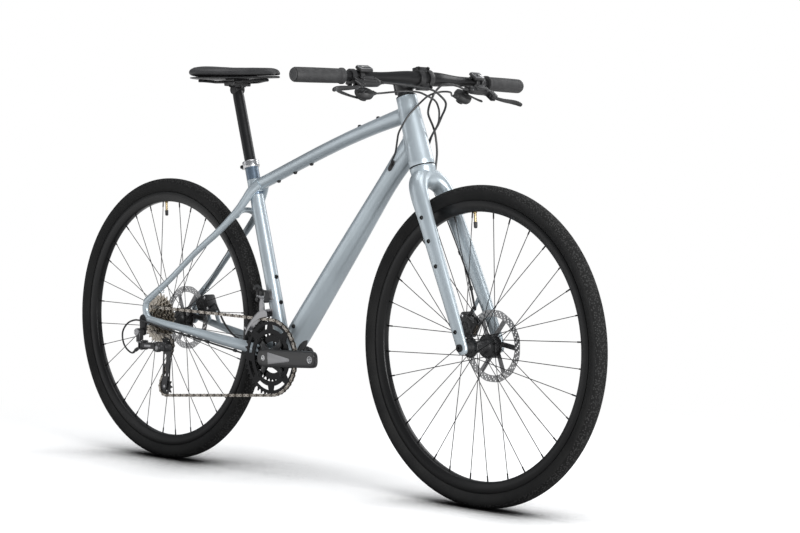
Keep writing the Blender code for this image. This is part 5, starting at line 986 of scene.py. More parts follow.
hands = [Hand(-1.0, "right", radians(24.0)), Hand(1.0, "left", radians(38.0))]
for hand in hands:
    grip = lathe("grip_sleeve",
                 [(0.1295, GRIP_BORE), (0.0, GRIP_BORE), (0.0, 0.0172), (0.0010, 0.0178), (0.0052, 0.0178),
                  (0.0064, 0.0172), (0.0082, 0.0157), (0.0100, 0.0155), (0.0118, 0.0159), (0.040, 0.0162),
                  (0.085, 0.0164), (0.118, 0.0163), (0.1262, 0.0161), (0.1290, 0.0150),
                  (0.1295, GRIP_BORE)], hand.at(GRIP_START), hand.out, 56)
    assemble("grip_" + hand.word + "_sleeve", [grip], grip_rubber, "steering", "rubber",
             ("grip_" + hand.word,))
    plug = lathe("grip_plug",
                 [(0.1240, 0.0), (0.1240, 0.0108), (0.1296, 0.0110), (0.1296, 0.0136), (0.1306, 0.0140),
                  (0.1314, 0.0134), (0.1319, 0.0112), (0.1319, 0.0070), (0.1312, 0.0062), (0.1312, 0.0)],
                 hand.at(GRIP_START), hand.out, 40)
    dress(plug, plug_plastic, "steering", "black_metal")

# Brake levers: forged black bodies on a split clamp, each with a master cylinder, a fluid chamber
# with a screwed lid, a hose nut, and a two-finger blade that swings on a pin.
LEVER_CLAMP_AT = GRIP_START - 0.0234
LEVER_PIVOT_AT = LEVER_CLAMP_AT + 0.0070
MASTER_END = LEVER_CLAMP_AT - 0.0600
LEVER_HALF_HEIGHT = 0.0041
LEVER_ROWS = [(0.0, 0.0470, -0.0030, 0.0040, 0.0036), (0.0130, 0.0540, -0.0030, 0.0036, 0.0038),
              (0.0330, 0.0580, -0.0035, 0.0030, 0.0046), (0.0580, 0.0600, -0.0040, 0.0030, 0.0056),
              (0.0750, 0.0640, -0.0040, 0.0034, 0.0056), (0.0850, 0.0695, -0.0040, 0.0038, 0.0045),
              (0.0872, 0.0708, -0.0040, 0.0018, 0.0022)]
moulded_black = Finish("moulded_black_plastic", (0.024, 0.024, 0.025), 0.50)
moulded_black.mottle(0.02, 2.0, (0.020, 0.020, 0.021), (0.031, 0.031, 0.032))
moulded_black.rough(0.42 + 0.16 * moulded_black.noise(0.006, 3.0))
moulded_black.bump(moulded_black.cells(0.0008), 0.00006, 0.5)


def collar(hand, distance, width, outer):
    """A split band round the bar with its pinch lug and bolt below."""
    centre = hand.at(distance)
    half = width * 0.5
    band = lathe("band",
                 [(-half, GRIP_BORE + 0.0002), (-half, outer - 0.0010), (-half + 0.0010, outer),
                  (half - 0.0010, outer), (half, outer - 0.0010), (half, GRIP_BORE + 0.0002),
                  (-half, GRIP_BORE + 0.0002)], centre, hand.out, 48)
    lugs = [hand.block(distance, 0.0030 * sign - 0.001, -outer - 0.0010, (width * 0.95, 0.0046, 0.0075),
                       0.0010) for sign in (-1.0, 1.0)]
    bolt = bar("bolt", hand.at(distance, -0.0090, -outer - 0.0020),
               hand.at(distance, 0.0080, -outer - 0.0020), 0.0024, 20, 0.0004)
    return [band, *lugs, bolt]


for hand in hands:
    pieces = collar(hand, LEVER_CLAMP_AT, 0.0120, 0.0163)
    start, end = hand.at(LEVER_CLAMP_AT + 0.006, 0.0300, -0.003), hand.at(MASTER_END, 0.0250, -0.003)
    along = (start - end).normalized()
    length = (start - end).length
    pieces.append(lathe("cylinder",
                        [(0.0, 0.0), (0.0, 0.0058), (0.0010, 0.0064), (0.0040, 0.0066), (0.0050, 0.0082),
                         (0.0068, 0.0092), (0.0110, 0.0095), (length * 0.45, 0.0095),
                         (length * 0.62, 0.0090), (length - 0.006, 0.0086), (length - 0.002, 0.0080),
                         (length, 0.0066), (length, 0.0)], end, along, 40))
    pieces += [hand.block(LEVER_CLAMP_AT, 0.0210, -0.0020, (0.0116, 0.0160, 0.0148), 0.0022),
               hand.block(LEVER_CLAMP_AT - 0.026, 0.0275, 0.0040, (0.0380, 0.0160, 0.0100), 0.0030, 4)]
    fork_ears = hand.block(LEVER_PIVOT_AT, 0.0420, -0.0030, (0.0170, 0.0236, 0.0168), 0.0030, 4)
    carve(fork_ears,
          hand.block(LEVER_PIVOT_AT + 0.0120, 0.0530, -0.0030,
                     (0.0500, 0.0330, 2.0 * (LEVER_HALF_HEIGHT + GAP)), 0.0))
    pieces += [fork_ears,
               hand.block(LEVER_CLAMP_AT - 0.001, 0.0330, -0.0020, (0.0170, 0.0100, 0.0150), 0.0025)]
    assemble("brake_lever_body_" + hand.word + "_forging", pieces, satin_black, "steering", "black_metal",
             ("brake_lever_body_" + hand.word,), 40.0)
    lid = hand.block(LEVER_CLAMP_AT - 0.026, 0.0275, 0.0094, (0.0350, 0.0142, 0.0014), 0.0005)
    lid_screws = [screw(hand.at(LEVER_CLAMP_AT - 0.026 + shift, 0.0275, 0.0100), hand.up, 0.0016, 0.0010,
                        0.0008) for shift in (-0.0145, 0.0145)]
    pin = bar("pin", hand.at(LEVER_PIVOT_AT, 0.0470, -0.0118), hand.at(LEVER_PIVOT_AT, 0.0470, 0.0058),
              0.0024, 24, 0.0003)
    nut = bar("nut", end + along * 0.0010, end - along * 0.0060, 0.0046, 6, 0.0004)
    assemble("brake_fittings_" + hand.word, [nut, pin, *lid_screws], bolt_black, "steering", "black_metal")
    dress(lid, moulded_black, "steering", "black_metal")
    axis_low = hand.at(LEVER_PIVOT_AT, 0.0470, -0.0030 - LEVER_HALF_HEIGHT)
    axis_high = hand.at(LEVER_PIVOT_AT, 0.0470, -0.0030 + LEVER_HALF_HEIGHT)
    knuckle = bar("knuckle", axis_low, axis_high, 0.0055, 32, 0.0006)
    blade = skin("blade", tube_rings(hand.path(LEVER_ROWS, LEVER_PIVOT_AT), 24, 0.8, hand.up))
    heel = hand.block(LEVER_PIVOT_AT - 0.0045, 0.0430, -0.0030, (0.0080, 0.0070, 0.0076), 0.0012)
    assemble("brake_lever_" + hand.word + "_blade", [blade, knuckle, heel], satin_black,
             "brake_lever_" + hand.word, "black_metal", ("brake_lever_" + hand.word,), 45.0)

# Shifters: moulded pods under the bar with a gear window on top in a silver frame, a large
# thumb paddle and a small finger trigger that turn about the pod's screw.
SHIFTER_AT = LEVER_CLAMP_AT - 0.0210
POD_AT = SHIFTER_AT - 0.0190
THUMB_ROWS = [(0.0, 0.0080, -0.0487, 0.0055, 0.0020), (0.0200, -0.0060, -0.0487, 0.0050, 0.0020),
              (0.0360, -0.0200, -0.0470, 0.0065, 0.0026), (0.0440, -0.0275, -0.0453, 0.0058, 0.0024),
              (0.0462, -0.0292, -0.0450, 0.0030, 0.0012)]
TRIGGER_ROWS = [(0.0, 0.0080, -0.0253, 0.0040, 0.0015), (0.0160, 0.0230, -0.0253, 0.0038, 0.0015),
                (0.0300, 0.0330, -0.0253, 0.0042, 0.0018), (0.0366, 0.0344, -0.0253, 0.0038, 0.0018),
                (0.0381, 0.0346, -0.0253, 0.0018, 0.0009)]
silver_trim = Finish("silver_painted_trim", (0.36, 0.36, 0.37), 0.34, 0.85)
silver_trim.worn(0.28, 0.14, 0.003, 0.0008, 0.00003, 0.4)
lens_clear = Finish("gear_window", (0.010, 0.010, 0.011), 0.08, Coat_Weight=1.0, Coat_Roughness=0.03)
lens_clear.worn(0.06, 0.06, 0.004, 0.002, 0.00002, 0.2, (2.0, 1.0))
pale_mark = Finish("pale_window_marks", (0.72, 0.72, 0.70), 0.5)
pale_mark.rough(0.45 + 0.1 * pale_mark.noise(0.001, 2.0))
for hand in hands:
    pieces = collar(hand, SHIFTER_AT, 0.0110, 0.0156)
    pod_axis = hand.at(POD_AT, 0.0080)
    pieces.append(lathe("pod",
                        [(-0.0460, 0.0), (-0.0460, 0.0126), (-0.0452, 0.0140), (-0.0430, 0.0183),
                         (-0.0412, 0.0196), (-0.0372, 0.0213), (-0.0350, 0.0214), (-0.0300, 0.0207),
                         (-0.0282, 0.0200), (-0.0276, 0.0186), (-0.0276, 0.0)], pod_axis, hand.up, 56))
    pieces += [hand.block(SHIFTER_AT - 0.0060, 0.0030, 0.0188, (0.0340, 0.0240, 0.0076), 0.0030, 4),
               hand.block(POD_AT + 0.0160, -0.0020, -0.0200, (0.0128, 0.0138, 0.0200), 0.0030, 3),
               hand.block(POD_AT + 0.0040, 0.0030, -0.0310, (0.0250, 0.0200, 0.0080), 0.0025, 3)]
    assemble("shifter_body_" + hand.word + "_housing", pieces, moulded_black, "steering", "black_metal",
             ("shifter_body_" + hand.word,), 40.0)
    frame_trim = hand.block(SHIFTER_AT - 0.0060, 0.0030, 0.0232, (0.0316, 0.0196, 0.0016), 0.0006)
    assemble("window_trim_" + hand.word, [frame_trim], silver_trim, "steering", "alloy")
    lens = hand.block(SHIFTER_AT - 0.0060, 0.0040, 0.0240, (0.0270, 0.0110, 0.0014), 0.0006, 3)
    assemble("gear_window_" + hand.word, [lens], lens_clear, "steering", "black_metal")
    count = 8 if hand.word == "right" else 3
    ticks = [hand.block(SHIFTER_AT - 0.0060 + 0.0220 * (i / (count - 1) - 0.5), 0.0048, 0.02473,
                        (0.0007, 0.0042, 0.0001), 0.0) for i in range(count)]
    ticks.append(hand.block(SHIFTER_AT - 0.0060 + 0.0050, 0.0014, 0.02473, (0.0030, 0.0016, 0.0001), 0.0))
    assemble("gear_marks_" + hand.word, ticks, pale_mark, "steering", "alloy")
    start = hand.at(POD_AT - 0.0160, 0.0080, -0.0350)
    rows = [(-0.004, 0.0), (-0.004, 0.0050), (0.0006, 0.0052), (0.0012, 0.0060)]
    for k in range(6):
        rows += [(0.0020 + k * 0.0012, 0.0060), (0.0024 + k * 0.0012, 0.0055), (0.0028 + k * 0.0012, 0.0060)]
    barrel = lathe("barrel_adjuster",
                   [*rows, (0.0100, 0.0056), (0.0108, 0.0040), (0.0160, 0.0036), (0.0162, 0.0023)], start,
                   -hand.out, 32)
    assemble("barrel_adjuster_" + hand.word, [barrel], moulded_black, "steering", "black_metal")
    disc = bar("thumb_disc", pod_axis - hand.up * 0.0510, pod_axis - hand.up * 0.0463, 0.0085, 40, 0.0008)
    cap_face = screw(pod_axis - hand.up * 0.0509, -hand.up, 0.0040, 0.0014, 0.0018)
    paddle = skin("paddle", tube_rings(hand.path(THUMB_ROWS, POD_AT), 24, 0.7, hand.up))
    assemble("shift_lever_" + hand.word + "_paddle", [paddle, disc, cap_face], moulded_black,
             "shift_lever_" + hand.word, "black_metal", ("shift_lever_" + hand.word,), 45.0)
    disc = bar("trigger_disc", pod_axis - hand.up * 0.0271, pod_axis - hand.up * 0.0235, 0.0070, 40, 0.0006)
    finger = skin("finger", tube_rings(hand.path(TRIGGER_ROWS, POD_AT), 20, 0.7, hand.up))
    assemble("release_lever_" + hand.word + "_trigger", [finger, disc], moulded_black,
             "release_lever_" + hand.word, "black_metal", ("release_lever_" + hand.word,), 45.0)

# Wheels: black double-wall alloy rims, 32 crossed steel spokes each, turned hubs, and rubber
# tyres with smooth walls and a fine block tread; the valve stands between two spokes.
BEAD_RADIUS = 0.3110
RIM_TOP = 0.3165
RIM_FOOT = 0.2920
SPOKES_PER_FLANGE = 16
PAIR_STEP = tau / 8.0
AXLE_BORE = 0.0064
TYRE_HALF_WIDTH = 0.0200
RIM_HALF_WIDTH = 0.0125
SPOKE_CROSSINGS = 3
FLANGE_PHASE = 0.10
HALF_SPOKE = pi / SPOKES_PER_FLANGE
ROTOR_RADIUS = 0.0797
ROTOR_ARMS = 6
ROTOR_BOLTS = (0.0220, 0.24)
black_steel = Finish("black_spoke_steel", (0.018, 0.018, 0.019), 0.32, 0.7)
black_steel.worn(0.26, 0.14, 0.01, 0.0006, 0.00002, 0.3, (2.0, 2.0))
brass = Finish("valve_brass", (0.46, 0.36, 0.20), 0.32, 1.0)
brass.rough(0.26 + 0.18 * brass.noise(0.002, 2.0))
brass.bump(brass.waves("X", 600.0), 0.0001, 0.5)


def on_circle(centre, radius, angle):
    """The (x, z) place at an angle on a circle round a centre."""
    return centre.x + radius * cos(angle), centre.z + radius * sin(angle)


def ring_of(x, z, radius, count):
    """Evenly spread (x, z) points of a circle."""
    return [(x + radius * cos(tau * i / count), z + radius * sin(tau * i / count)) for i in range(count)]


def sheet_part(name, outline, holes, low, high, edge, segments=1):
    """A flat plate across Y, cut from an outline of (x, z) points with holes, edges broken."""
    curve = bpy.data.curves.new(name, "CURVE")
    curve.dimensions = "2D"
    curve.fill_mode = "BOTH"
    curve.extrude = (high - low) * 0.5 - edge
    curve.bevel_depth = edge
    curve.bevel_resolution = segments - 1
    curve.offset = -edge
    for loop in [outline, *holes]:
        spline = curve.splines.new("POLY")
        spline.points.add(len(loop) - 1)
        spline.use_cyclic_u = True
        for point, (x, z) in zip(spline.points, loop):
            point.co = (x, z, 0.0, 1.0)
    placed(name, curve)
    bpy.ops.object.convert(target="MESH")
    piece = bpy.context.active_object
    piece.data.transform(Matrix(((1, 0, 0, 0), (0, 0, -1, (low + high) * 0.5), (0, 1, 0, 0), (0, 0, 0, 1))))
    faced_out(piece, merged=True)
    piece.name = name
    return piece


def about(finish, centre):
    """Distance from an axle, along it, and round it, for patterns that follow a wheel."""
    x, y, z = finish.axes(finish.place(move=tuple(-part for part in centre)))
    return (x * x + z * z) ** 0.5, y, finish.node("ShaderNodeMath", {"operation": "ARCTAN2"}, {0: z, 1: x})


def tyre_rubber(name, centre):
    """Black rubber: a brushed crown with a fine tread whose grooves carry painted shade, and dusty walls with
    faint moulded rings.
    """
    made = Finish(name, (0.013, 0.013, 0.013), 0.78)
    made.put(made.shader, "Specular IOR Level", 0.25)
    radius = about(made, centre)[0]
    crown = radius.over(0.3375, 0.3425)
    wear = made.noise(0.05, 4.0)
    dust = made.blend(wear.over(0.3, 0.75), (0.0095, 0.0095, 0.0098), (0.0165, 0.0165, 0.0162))
    # The grooves between the knobs are painted near black and the knob tops lighter: painted shade in the
    # tread's grooves.
    knobs_and_groove_shade = made.cells(0.0042, feature="F1").over(0.22, 0.55)
    made.tone(made.blend(crown, dust, made.blend(knobs_and_groove_shade, (0.034, 0.034, 0.034), (0.006, 0.006, 0.006))))
    made.rough(0.66 + 0.10 * wear + 0.12 * crown)
    rings = made.node("ShaderNodeMath", {"operation": "SINE"}, {0: radius * 3900.0})
    rings = rings * (1.0 - crown) * (0.12 * radius.over(0.317, 0.320))
    made.bump((1.0 - knobs_and_groove_shade) * crown * 0.9 + rings + made.noise(0.0012, 2.0) * 0.12, 0.0009, 0.8)
    return made


def rim_black(name, centre):
    """Black anodised rim with a polished brake-free wall and faint circular machining."""
    made = Finish(name, (0.012, 0.012, 0.0125), 0.34, 0.5)
    radius = about(made, centre)[0]
    rings = made.node("ShaderNodeMath", {"operation": "SINE"}, {0: radius * 5200.0})
    made.rough(0.28 + 0.12 * made.noise(0.03, 3.0) + rings * 0.02)
    made.bump(rings * 0.4 + made.noise(0.0009, 2.0) * 0.6, 0.00004, 0.4)
    return made


def rotor_steel(name, centre):
    """Ground stainless steel: brushed in rings, and darker where the pads never touch."""
    made = Finish(name, (0.55, 0.55, 0.56), 0.30, 1.0)
    radius, across, turn = about(made, centre)
    rings = made.noise(0.0007, 3.0,
                       made.node("ShaderNodeCombineXYZ", {},
                                 {"X": radius * 1.0, "Y": turn * 0.002, "Z": across}))
    track = radius.over(0.0640, 0.0652)
    made.tone(made.blend(track, (0.20, 0.20, 0.205), (0.36, 0.36, 0.365)))
    made.rough(0.22 + 0.22 * rings)
    made.bump(rings, 0.00003, 0.5)
    return made


def rotor_disc(name, centre, plane):
    """A brake disc: a slotted ring on six leaning arms round a bolted centre."""
    outline = [on_circle(centre, ROTOR_RADIUS - 0.0005 * (1.0 + cos(12.0 * a)), a)
               for a in [tau * i / 144 for i in range(144)]]
    holes = [ring_of(centre.x, centre.z, 0.0163, 48)]
    for i in range(ROTOR_ARMS):
        turn = tau * i / ROTOR_ARMS
        holes.append(ring_of(*on_circle(centre, ROTOR_BOLTS[0], turn + ROTOR_BOLTS[1]), 0.0026, 14))
        window = []
        for radius, lean, steps, flip in ((0.0643, 0.0, 12, 1), (0.0262, 0.22, 6, -1)):
            half = 0.0058 / radius
            span = [turn + half + lean + (tau / ROTOR_ARMS - 2.0 * half) * k / (steps - 1)
                    for k in range(steps)][::flip]
            window += [on_circle(centre, radius, a) for a in span]
        holes.append(window)
    for i in range(36):
        turn = tau * i / 36
        for radius, shift in ((0.0680, 0.0), (0.0720, 0.055), (0.0758, 0.11)):
            holes.append(ring_of(*on_circle(centre, radius, turn + shift), 0.0020, 10))
    return sheet_part(name, outline, holes, plane - 0.0009, plane + 0.0009, 0.00015)


def wheel(word, axle, profile, flanges, rotor_plane):
    """One wheel round its axle: tyre, rim, hub, spokes with their nipples, and the disc."""
    body = word + "_wheel"
    outer = [(0.0102, BEAD_RADIUS), (0.0102, RIM_TOP - 0.0002), (0.0112, RIM_TOP + 0.0010),
             (0.0132, RIM_TOP + 0.0028), (0.0158, 0.3222), (0.0181, 0.3262), (0.0195, 0.3302),
             (TYRE_HALF_WIDTH, 0.3334), (0.0199, 0.3362), (0.0193, 0.3388), (0.0183, 0.3412),
             (0.0170, 0.3434), (0.0152, 0.3456), (0.0128, 0.3475), (0.0100, 0.3489), (0.0066, 0.3498),
             (0.0032, 0.3502), (0.0, 0.3503)]
    inner = [(0.0, 0.3473), (0.0090, 0.3455), (0.0145, 0.3410), (0.0165, 0.3340), (0.0140, 0.3250),
             (0.0072, RIM_TOP + 0.0030), (0.0072, BEAD_RADIUS)]
    loop = outer + [(-y, r) for y, r in outer[-2::-1]] + [(-y, r) for y, r in inner[::-1]]
    loop += [*inner[1:], outer[0]]
    tyre = lathe(word + "_tyre_rubber", loop, axle, Y_AXIS, 144)
    dress(tyre, tyre_rubber(word + "_tyre_compound", axle), body, "tyre", (word + "_tyre",), 50.0)
    w = RIM_HALF_WIDTH
    rim_loop = [(w - 0.0004, RIM_TOP), (w, RIM_TOP - 0.0006), (w, 0.3070), (w - 0.0006, 0.3040),
                (w - 0.0030, 0.2950), (w - 0.0046, 0.2930), (w - 0.0080, 0.2921), (0.0, 0.2920)]
    seat = [(w - 0.0020, RIM_TOP - 0.0006), (w - 0.0016, RIM_TOP), (w - 0.0004, RIM_TOP)]
    rim_all = rim_loop + [(-y, r) for y, r in rim_loop[-2::-1]] + [(-y, r) for y, r in seat[-2::-1]]
    rim_all += [(-(w - 0.0020), BEAD_RADIUS - GAP), (w - 0.0020, BEAD_RADIUS - GAP), *seat]
    rim = lathe(word + "_rim_hoop", rim_all, axle, Y_AXIS, 144)
    dress(rim, rim_black(word + "_rim_finish", axle), body, "black_metal", (word + "_rim",), 40.0)
    shell = lathe(word + "_hub_shell", profile, axle, Y_AXIS, 64)
    soften(shell, 0.0005, 2, 40.0)
    dress(shell, satin_black, body, "black_metal", (word + "_hub",), 35.0)
    spokes, nipples = [], []
    for flange_y, flange_radius, phase in flanges:
        away = 1.0 if flange_y > 0.0 else -1.0
        for i in range(SPOKES_PER_FLANGE):
            lean = 1.0 if i % 2 == 0 else -1.0
            start_angle = phase + PAIR_STEP * (i // 2) + (PAIR_STEP * 0.5 if lean < 0.0 else 0.0)
            end_angle = start_angle + lean * PAIR_STEP * SPOKE_CROSSINGS * 0.5
            start = axle + toward(start_angle) * (flange_radius - 0.0035)
            start.y = flange_y + 0.0016 * lean * away
            end = axle + toward(end_angle) * (RIM_FOOT - 0.0004)
            end.y = (0.0026 + 0.0011 * lean) * away
            along = (end - start).normalized()
            elbow = start - Y_AXIS * (away * lean * 0.0036)
            spokes.append(wire("spoke", [elbow, start, start.lerp(end, 0.5), end - along * 0.010], 0.0009, 8))
            head = bar("spoke_head", elbow - Y_AXIS * (0.0007 * away * lean),
                       elbow + Y_AXIS * (0.0003 * away * lean), 0.0018, 10)
            nipples += [bar("nipple", end - along * 0.0125, end + along * 0.0006, 0.0017, 8), head]
    assemble(word + "_spokes", spokes, black_steel, body, "black_metal", angle=60.0)
    assemble(word + "_nipples", nipples, black_steel, body, "black_metal", angle=30.0)
    disc = rotor_disc(word + "_brake_disc", axle, rotor_plane)
    dress(disc, rotor_steel(word + "_disc_steel", axle), body, "steel", (word + "_rotor",), 30.0)
    screws = [screw(axle + toward(tau * i / ROTOR_ARMS + ROTOR_BOLTS[1]) * ROTOR_BOLTS[0]
                    + Y_AXIS * (rotor_plane + 0.0009), Y_AXIS, 0.0032, 0.0018, 0.0016)
              for i in range(ROTOR_ARMS)]
    assemble(word + "_disc_screws", screws, bolt_black, body, "black_metal")


front_hub_profile = [(-0.0500, AXLE_BORE), (-0.0500, 0.0100), (-0.0420, 0.0104), (-0.0416, 0.0128),
                     (-0.0352, 0.0130), (-0.0340, 0.0180), (-0.0338, 0.0222), (-0.0330, 0.0226),
                     (-0.0318, 0.0226), (-0.0312, 0.0222), (-0.0306, 0.0175), (-0.0270, 0.0138),
                     (-0.0200, 0.0128), (0.0080, 0.0128), (0.0150, 0.0142), (0.0188, 0.0200),
                     (0.0192, 0.0262), (0.0200, 0.0266), (0.0216, 0.0266), (0.0223, 0.0262),
                     (0.0230, 0.0220), (0.0300, 0.0208), (0.0383, 0.0205), (0.0383, 0.0160),
                     (0.0416, 0.0160), (0.0420, 0.0110), (0.0500, 0.0100), (0.0500, AXLE_BORE),
                     (-0.0500, AXLE_BORE)]
rear_hub_profile = [(-0.0317, AXLE_BORE), (-0.0317, 0.0168), (-0.0210, 0.0188), (-0.0198, 0.0246),
                    (-0.0190, 0.0250), (-0.0170, 0.0250), (-0.0162, 0.0246), (-0.0156, 0.0190),
                    (-0.0110, 0.0152), (0.0, 0.0143), (0.0200, 0.0143), (0.0280, 0.0156), (0.0318, 0.0190),
                    (0.0323, 0.0246), (0.0330, 0.0250), (0.0347, 0.0250), (0.0354, 0.0246),
                    (0.0360, 0.0215), (0.0543, 0.0205), (0.0543, 0.0160), (0.0576, 0.0160),
                    (0.0582, 0.0122), (0.0710, 0.0110), (0.0710, AXLE_BORE), (-0.0317, AXLE_BORE)]
wheel("front", FRONT_AXLE, front_hub_profile,
      ((-0.0325, 0.0225, FLANGE_PHASE), (0.0208, 0.0265, FLANGE_PHASE + HALF_SPOKE)), FRONT_ROTOR_PLANE)
wheel("rear", REAR_AXLE, rear_hub_profile,
      ((-0.0180, 0.0250, FLANGE_PHASE), (0.0338, 0.0250, FLANGE_PHASE + HALF_SPOKE)), REAR_ROTOR_PLANE)
for word, axle, turn in (("front", FRONT_AXLE, radians(94.5)), ("rear", REAR_AXLE, radians(93.6))):
    body = word + "_wheel"
    inward = -toward(turn)
    stem = lathe("valve_stem",
                 [(-0.0020, 0.0), (-0.0020, 0.0030), (0.0, 0.0042), (0.0024, 0.0042), (0.0030, 0.0030),
                  (0.0220, 0.0030), (0.0220, 0.0)], axle - inward * RIM_FOOT, inward, 20)
    assemble(word + "_valve_stem", [stem], brass, body, "alloy")
    cap = lathe("valve_cap",
                [(0.0215, 0.0), (0.0215, 0.0040), (0.0225, 0.0043), (0.0330, 0.0040), (0.0350, 0.0030),
                 (0.0356, 0.0)], axle - inward * RIM_FOOT, inward, 20)
    assemble(word + "_valve_cap", [cap], moulded_black, body, "black_metal")

# Rear axle: a black steel thru axle. Its head sits in the left dropout, and its far end is
# screwed into the right one.
rear_bar = bar("thru_axle", REAR_AXLE - Y_AXIS * 0.0772, REAR_AXLE + Y_AXIS * 0.0810, AXLE_RADIUS, 40,
               0.0004)
rear_head = lathe("axle_head",
                  [(0.0, 0.0), (0.0, 0.0090), (0.0027, 0.0090), (0.0035, 0.0082), (0.0035, 0.0)],
                  REAR_AXLE + Y_AXIS * 0.0803, Y_AXIS, 40)
carve(rear_head, bar("socket", REAR_AXLE + Y_AXIS * 0.0820, REAR_AXLE + Y_AXIS * 0.0860, 0.0034, 6))
assemble("rear_thru_axle", [rear_bar, rear_head], bolt_black, "frame", "black_metal", ("rear_axle",))

# Seat clamp: a bright machined alloy collar at the top of the seat tube, slit behind and
# pinched by a black cross bolt.
band_low, band_high = SEAT_TUBE_LENGTH - 0.0135, SEAT_TUBE_LENGTH + 0.0030
band_middle = (band_low + band_high) * 0.5
collar_band = lathe("collar_band",
                    [(band_low, 0.0166), (band_low, 0.0194), (band_low + 0.0008, 0.0200),
                     (band_middle - 0.0022, 0.0200), (band_middle - 0.0018, 0.0196),
                     (band_middle + 0.0018, 0.0196), (band_middle + 0.0022, 0.0200),
                     (band_high - 0.0008, 0.0200), (band_high, 0.0194), (band_high, 0.0138),
                     (band_high - 0.0022, 0.0138), (band_high - 0.0026, 0.0166), (band_low, 0.0166)],
                    BRACKET, SEAT_UP, 64)
ears = brick("ears", seat_point(band_middle, -0.0218), (SEAT_FORWARD, Y_AXIS, SEAT_UP),
             (0.0090, 0.0180, 0.0124), 0.0018, 3)
carve(collar_band, ears, operation="UNION")
carve(collar_band,
      brick("slit", seat_point(band_middle, -0.0250), (SEAT_FORWARD, Y_AXIS, SEAT_UP),
            (0.0180, 0.0020, 0.0300)),
      bar("hole", seat_point(band_middle, 0.0, -0.0185), seat_point(band_middle, 0.0, -0.0300), 0.0013, 16))
bright_alloy = Finish("polished_alloy", (0.60, 0.60, 0.61), 0.24, 1.0)
bright_alloy.worn(0.18, 0.16, 0.004, 0.0009, 0.00003, 0.4)
assemble("seat_collar", [collar_band], bright_alloy, "frame", "alloy", ("seat_clamp",), 40.0)
pinch = [bar("pinch_bolt", seat_point(band_middle, -0.0220, -0.0125),
             seat_point(band_middle, -0.0220, 0.0125), 0.0030, 24, 0.0005),
         bar("pinch_head", seat_point(band_middle, -0.0220, -0.0130),
             seat_point(band_middle, -0.0220, -0.0092), 0.0042, 28, 0.0006)]
assemble("seat_pinch_bolt", pinch, bolt_black, "frame", "black_metal")

# Seatpost: a drawn aluminium tube, anodised black, that slides in the seat tube. The saddle
# clamp rocks on the turned barrel across its top.
POST_TOP = SEAT_TUBE_LENGTH + 0.1830
POST_FOOT = POST_TOP - 0.3000
seat_head = seat_point(POST_TOP)
post = lathe("post",
             [(POST_FOOT, 0.0114), (POST_FOOT, 0.0132), (POST_TOP - 0.2996, 0.0136),
              (POST_TOP - 0.020, 0.0136), (POST_TOP - 0.008, 0.0130), (POST_TOP, 0.0110), (POST_TOP, 0.0),
              (POST_TOP - 0.030, 0.0), (POST_TOP - 0.030, 0.0114), (POST_FOOT, 0.0114)], BRACKET, SEAT_UP,
             56)
barrel = bar("barrel", seat_head - Y_AXIS * 0.0135, seat_head + Y_AXIS * 0.0135, 0.0120, 48, 0.0008)
web = brick("web", seat_point(POST_TOP - 0.012), (SEAT_FORWARD, Y_AXIS, SEAT_UP), (0.0200, 0.0200, 0.0200),
            0.0040, 4)
assemble("seatpost_tube", [post, barrel, web], anodised, "seatpost", "black_metal", ("seatpost",), 40.0)

# Saddle clamp: a forged lower cradle and an upper yoke, painted black. They hold both rails and
# are drawn together by two bolts.
AXES = (X_AXIS, Y_AXIS, Z_AXIS)
RAIL_RADIUS = 0.0035
RAIL_HALF = 0.0220
RAIL_LOW = seat_head.z + 0.0180
cradle = brick("cradle", (seat_head.x, 0.0, RAIL_LOW - 0.0045), AXES, (0.0360, 0.0560, 0.0110), 0.0025, 3)
cradle_lip = brick("cradle_lip", (seat_head.x, 0.0, RAIL_LOW - 0.0095), AXES, (0.0300, 0.0300, 0.0060),
                   0.0015)
carve(cradle, cradle_lip, operation="UNION")
carve(cradle, bar("seat", seat_head - Y_AXIS * 0.05, seat_head + Y_AXIS * 0.05, 0.0123, 48))
yoke = brick("yoke", (seat_head.x, 0.0, RAIL_LOW + 0.0042), AXES, (0.0300, 0.0540, 0.0066), 0.0022, 3)
for side in (-1.0, 1.0):
    for jaw in (cradle, yoke):
        carve(jaw, bar("groove", (seat_head.x - 0.05, side * RAIL_HALF, RAIL_LOW),
                       (seat_head.x + 0.05, side * RAIL_HALF, RAIL_LOW), RAIL_RADIUS + GAP, 24))
clamp_bolts = [bar("bolt", (seat_head.x + ahead, 0.0, RAIL_LOW - 0.0150),
                   (seat_head.x + ahead, 0.0, RAIL_LOW + 0.0080), 0.0025, 20)
               for ahead in (-0.0165, 0.0165)]
assemble("saddle_clamp_jaws", [cradle, yoke, *clamp_bolts], satin_black, "saddle_clamp", "black_metal",
         ("saddle_clamp",), 40.0)

# Saddle: bent black steel rails in a moulded nylon shell, a foam pad under a stretched synthetic
# cover whose panels meet at stitched side seams and a shallow centre channel.
RAIL_HIGH = RAIL_LOW + 0.0032
SADDLE_REAR = seat_head.x - 0.1245
SADDLE_HALF_WIDTH = 0.0750
SEAM_SHARE = 0.80
SHELL_UNDERSIDE = RAIL_HIGH + RAIL_RADIUS + GAP
SHELL_HIGH = SHELL_UNDERSIDE + 0.0056
SADDLE_TOP = SHELL_UNDERSIDE + 0.0325
rail_rows = [(0.0260, 0.0380, 1.0), (0.0400, 0.0350, 0.92), (0.0620, 0.0262, 0.35),
             (0.0780, RAIL_HALF, 0.0), (0.1650, RAIL_HALF, 0.0), (0.1850, RAIL_HALF - 0.0035, 0.25),
             (0.2120, 0.0120, 0.92), (0.2240, 0.0085, 1.0), (0.2290, 0.0040, 1.0)]
rail_points = [Vector((SADDLE_REAR + x, y, RAIL_LOW + (RAIL_HIGH - RAIL_LOW) * up)) for x, y, up in rail_rows]
rail_line = [(point, 0.0, 0.0) for point in rail_points]
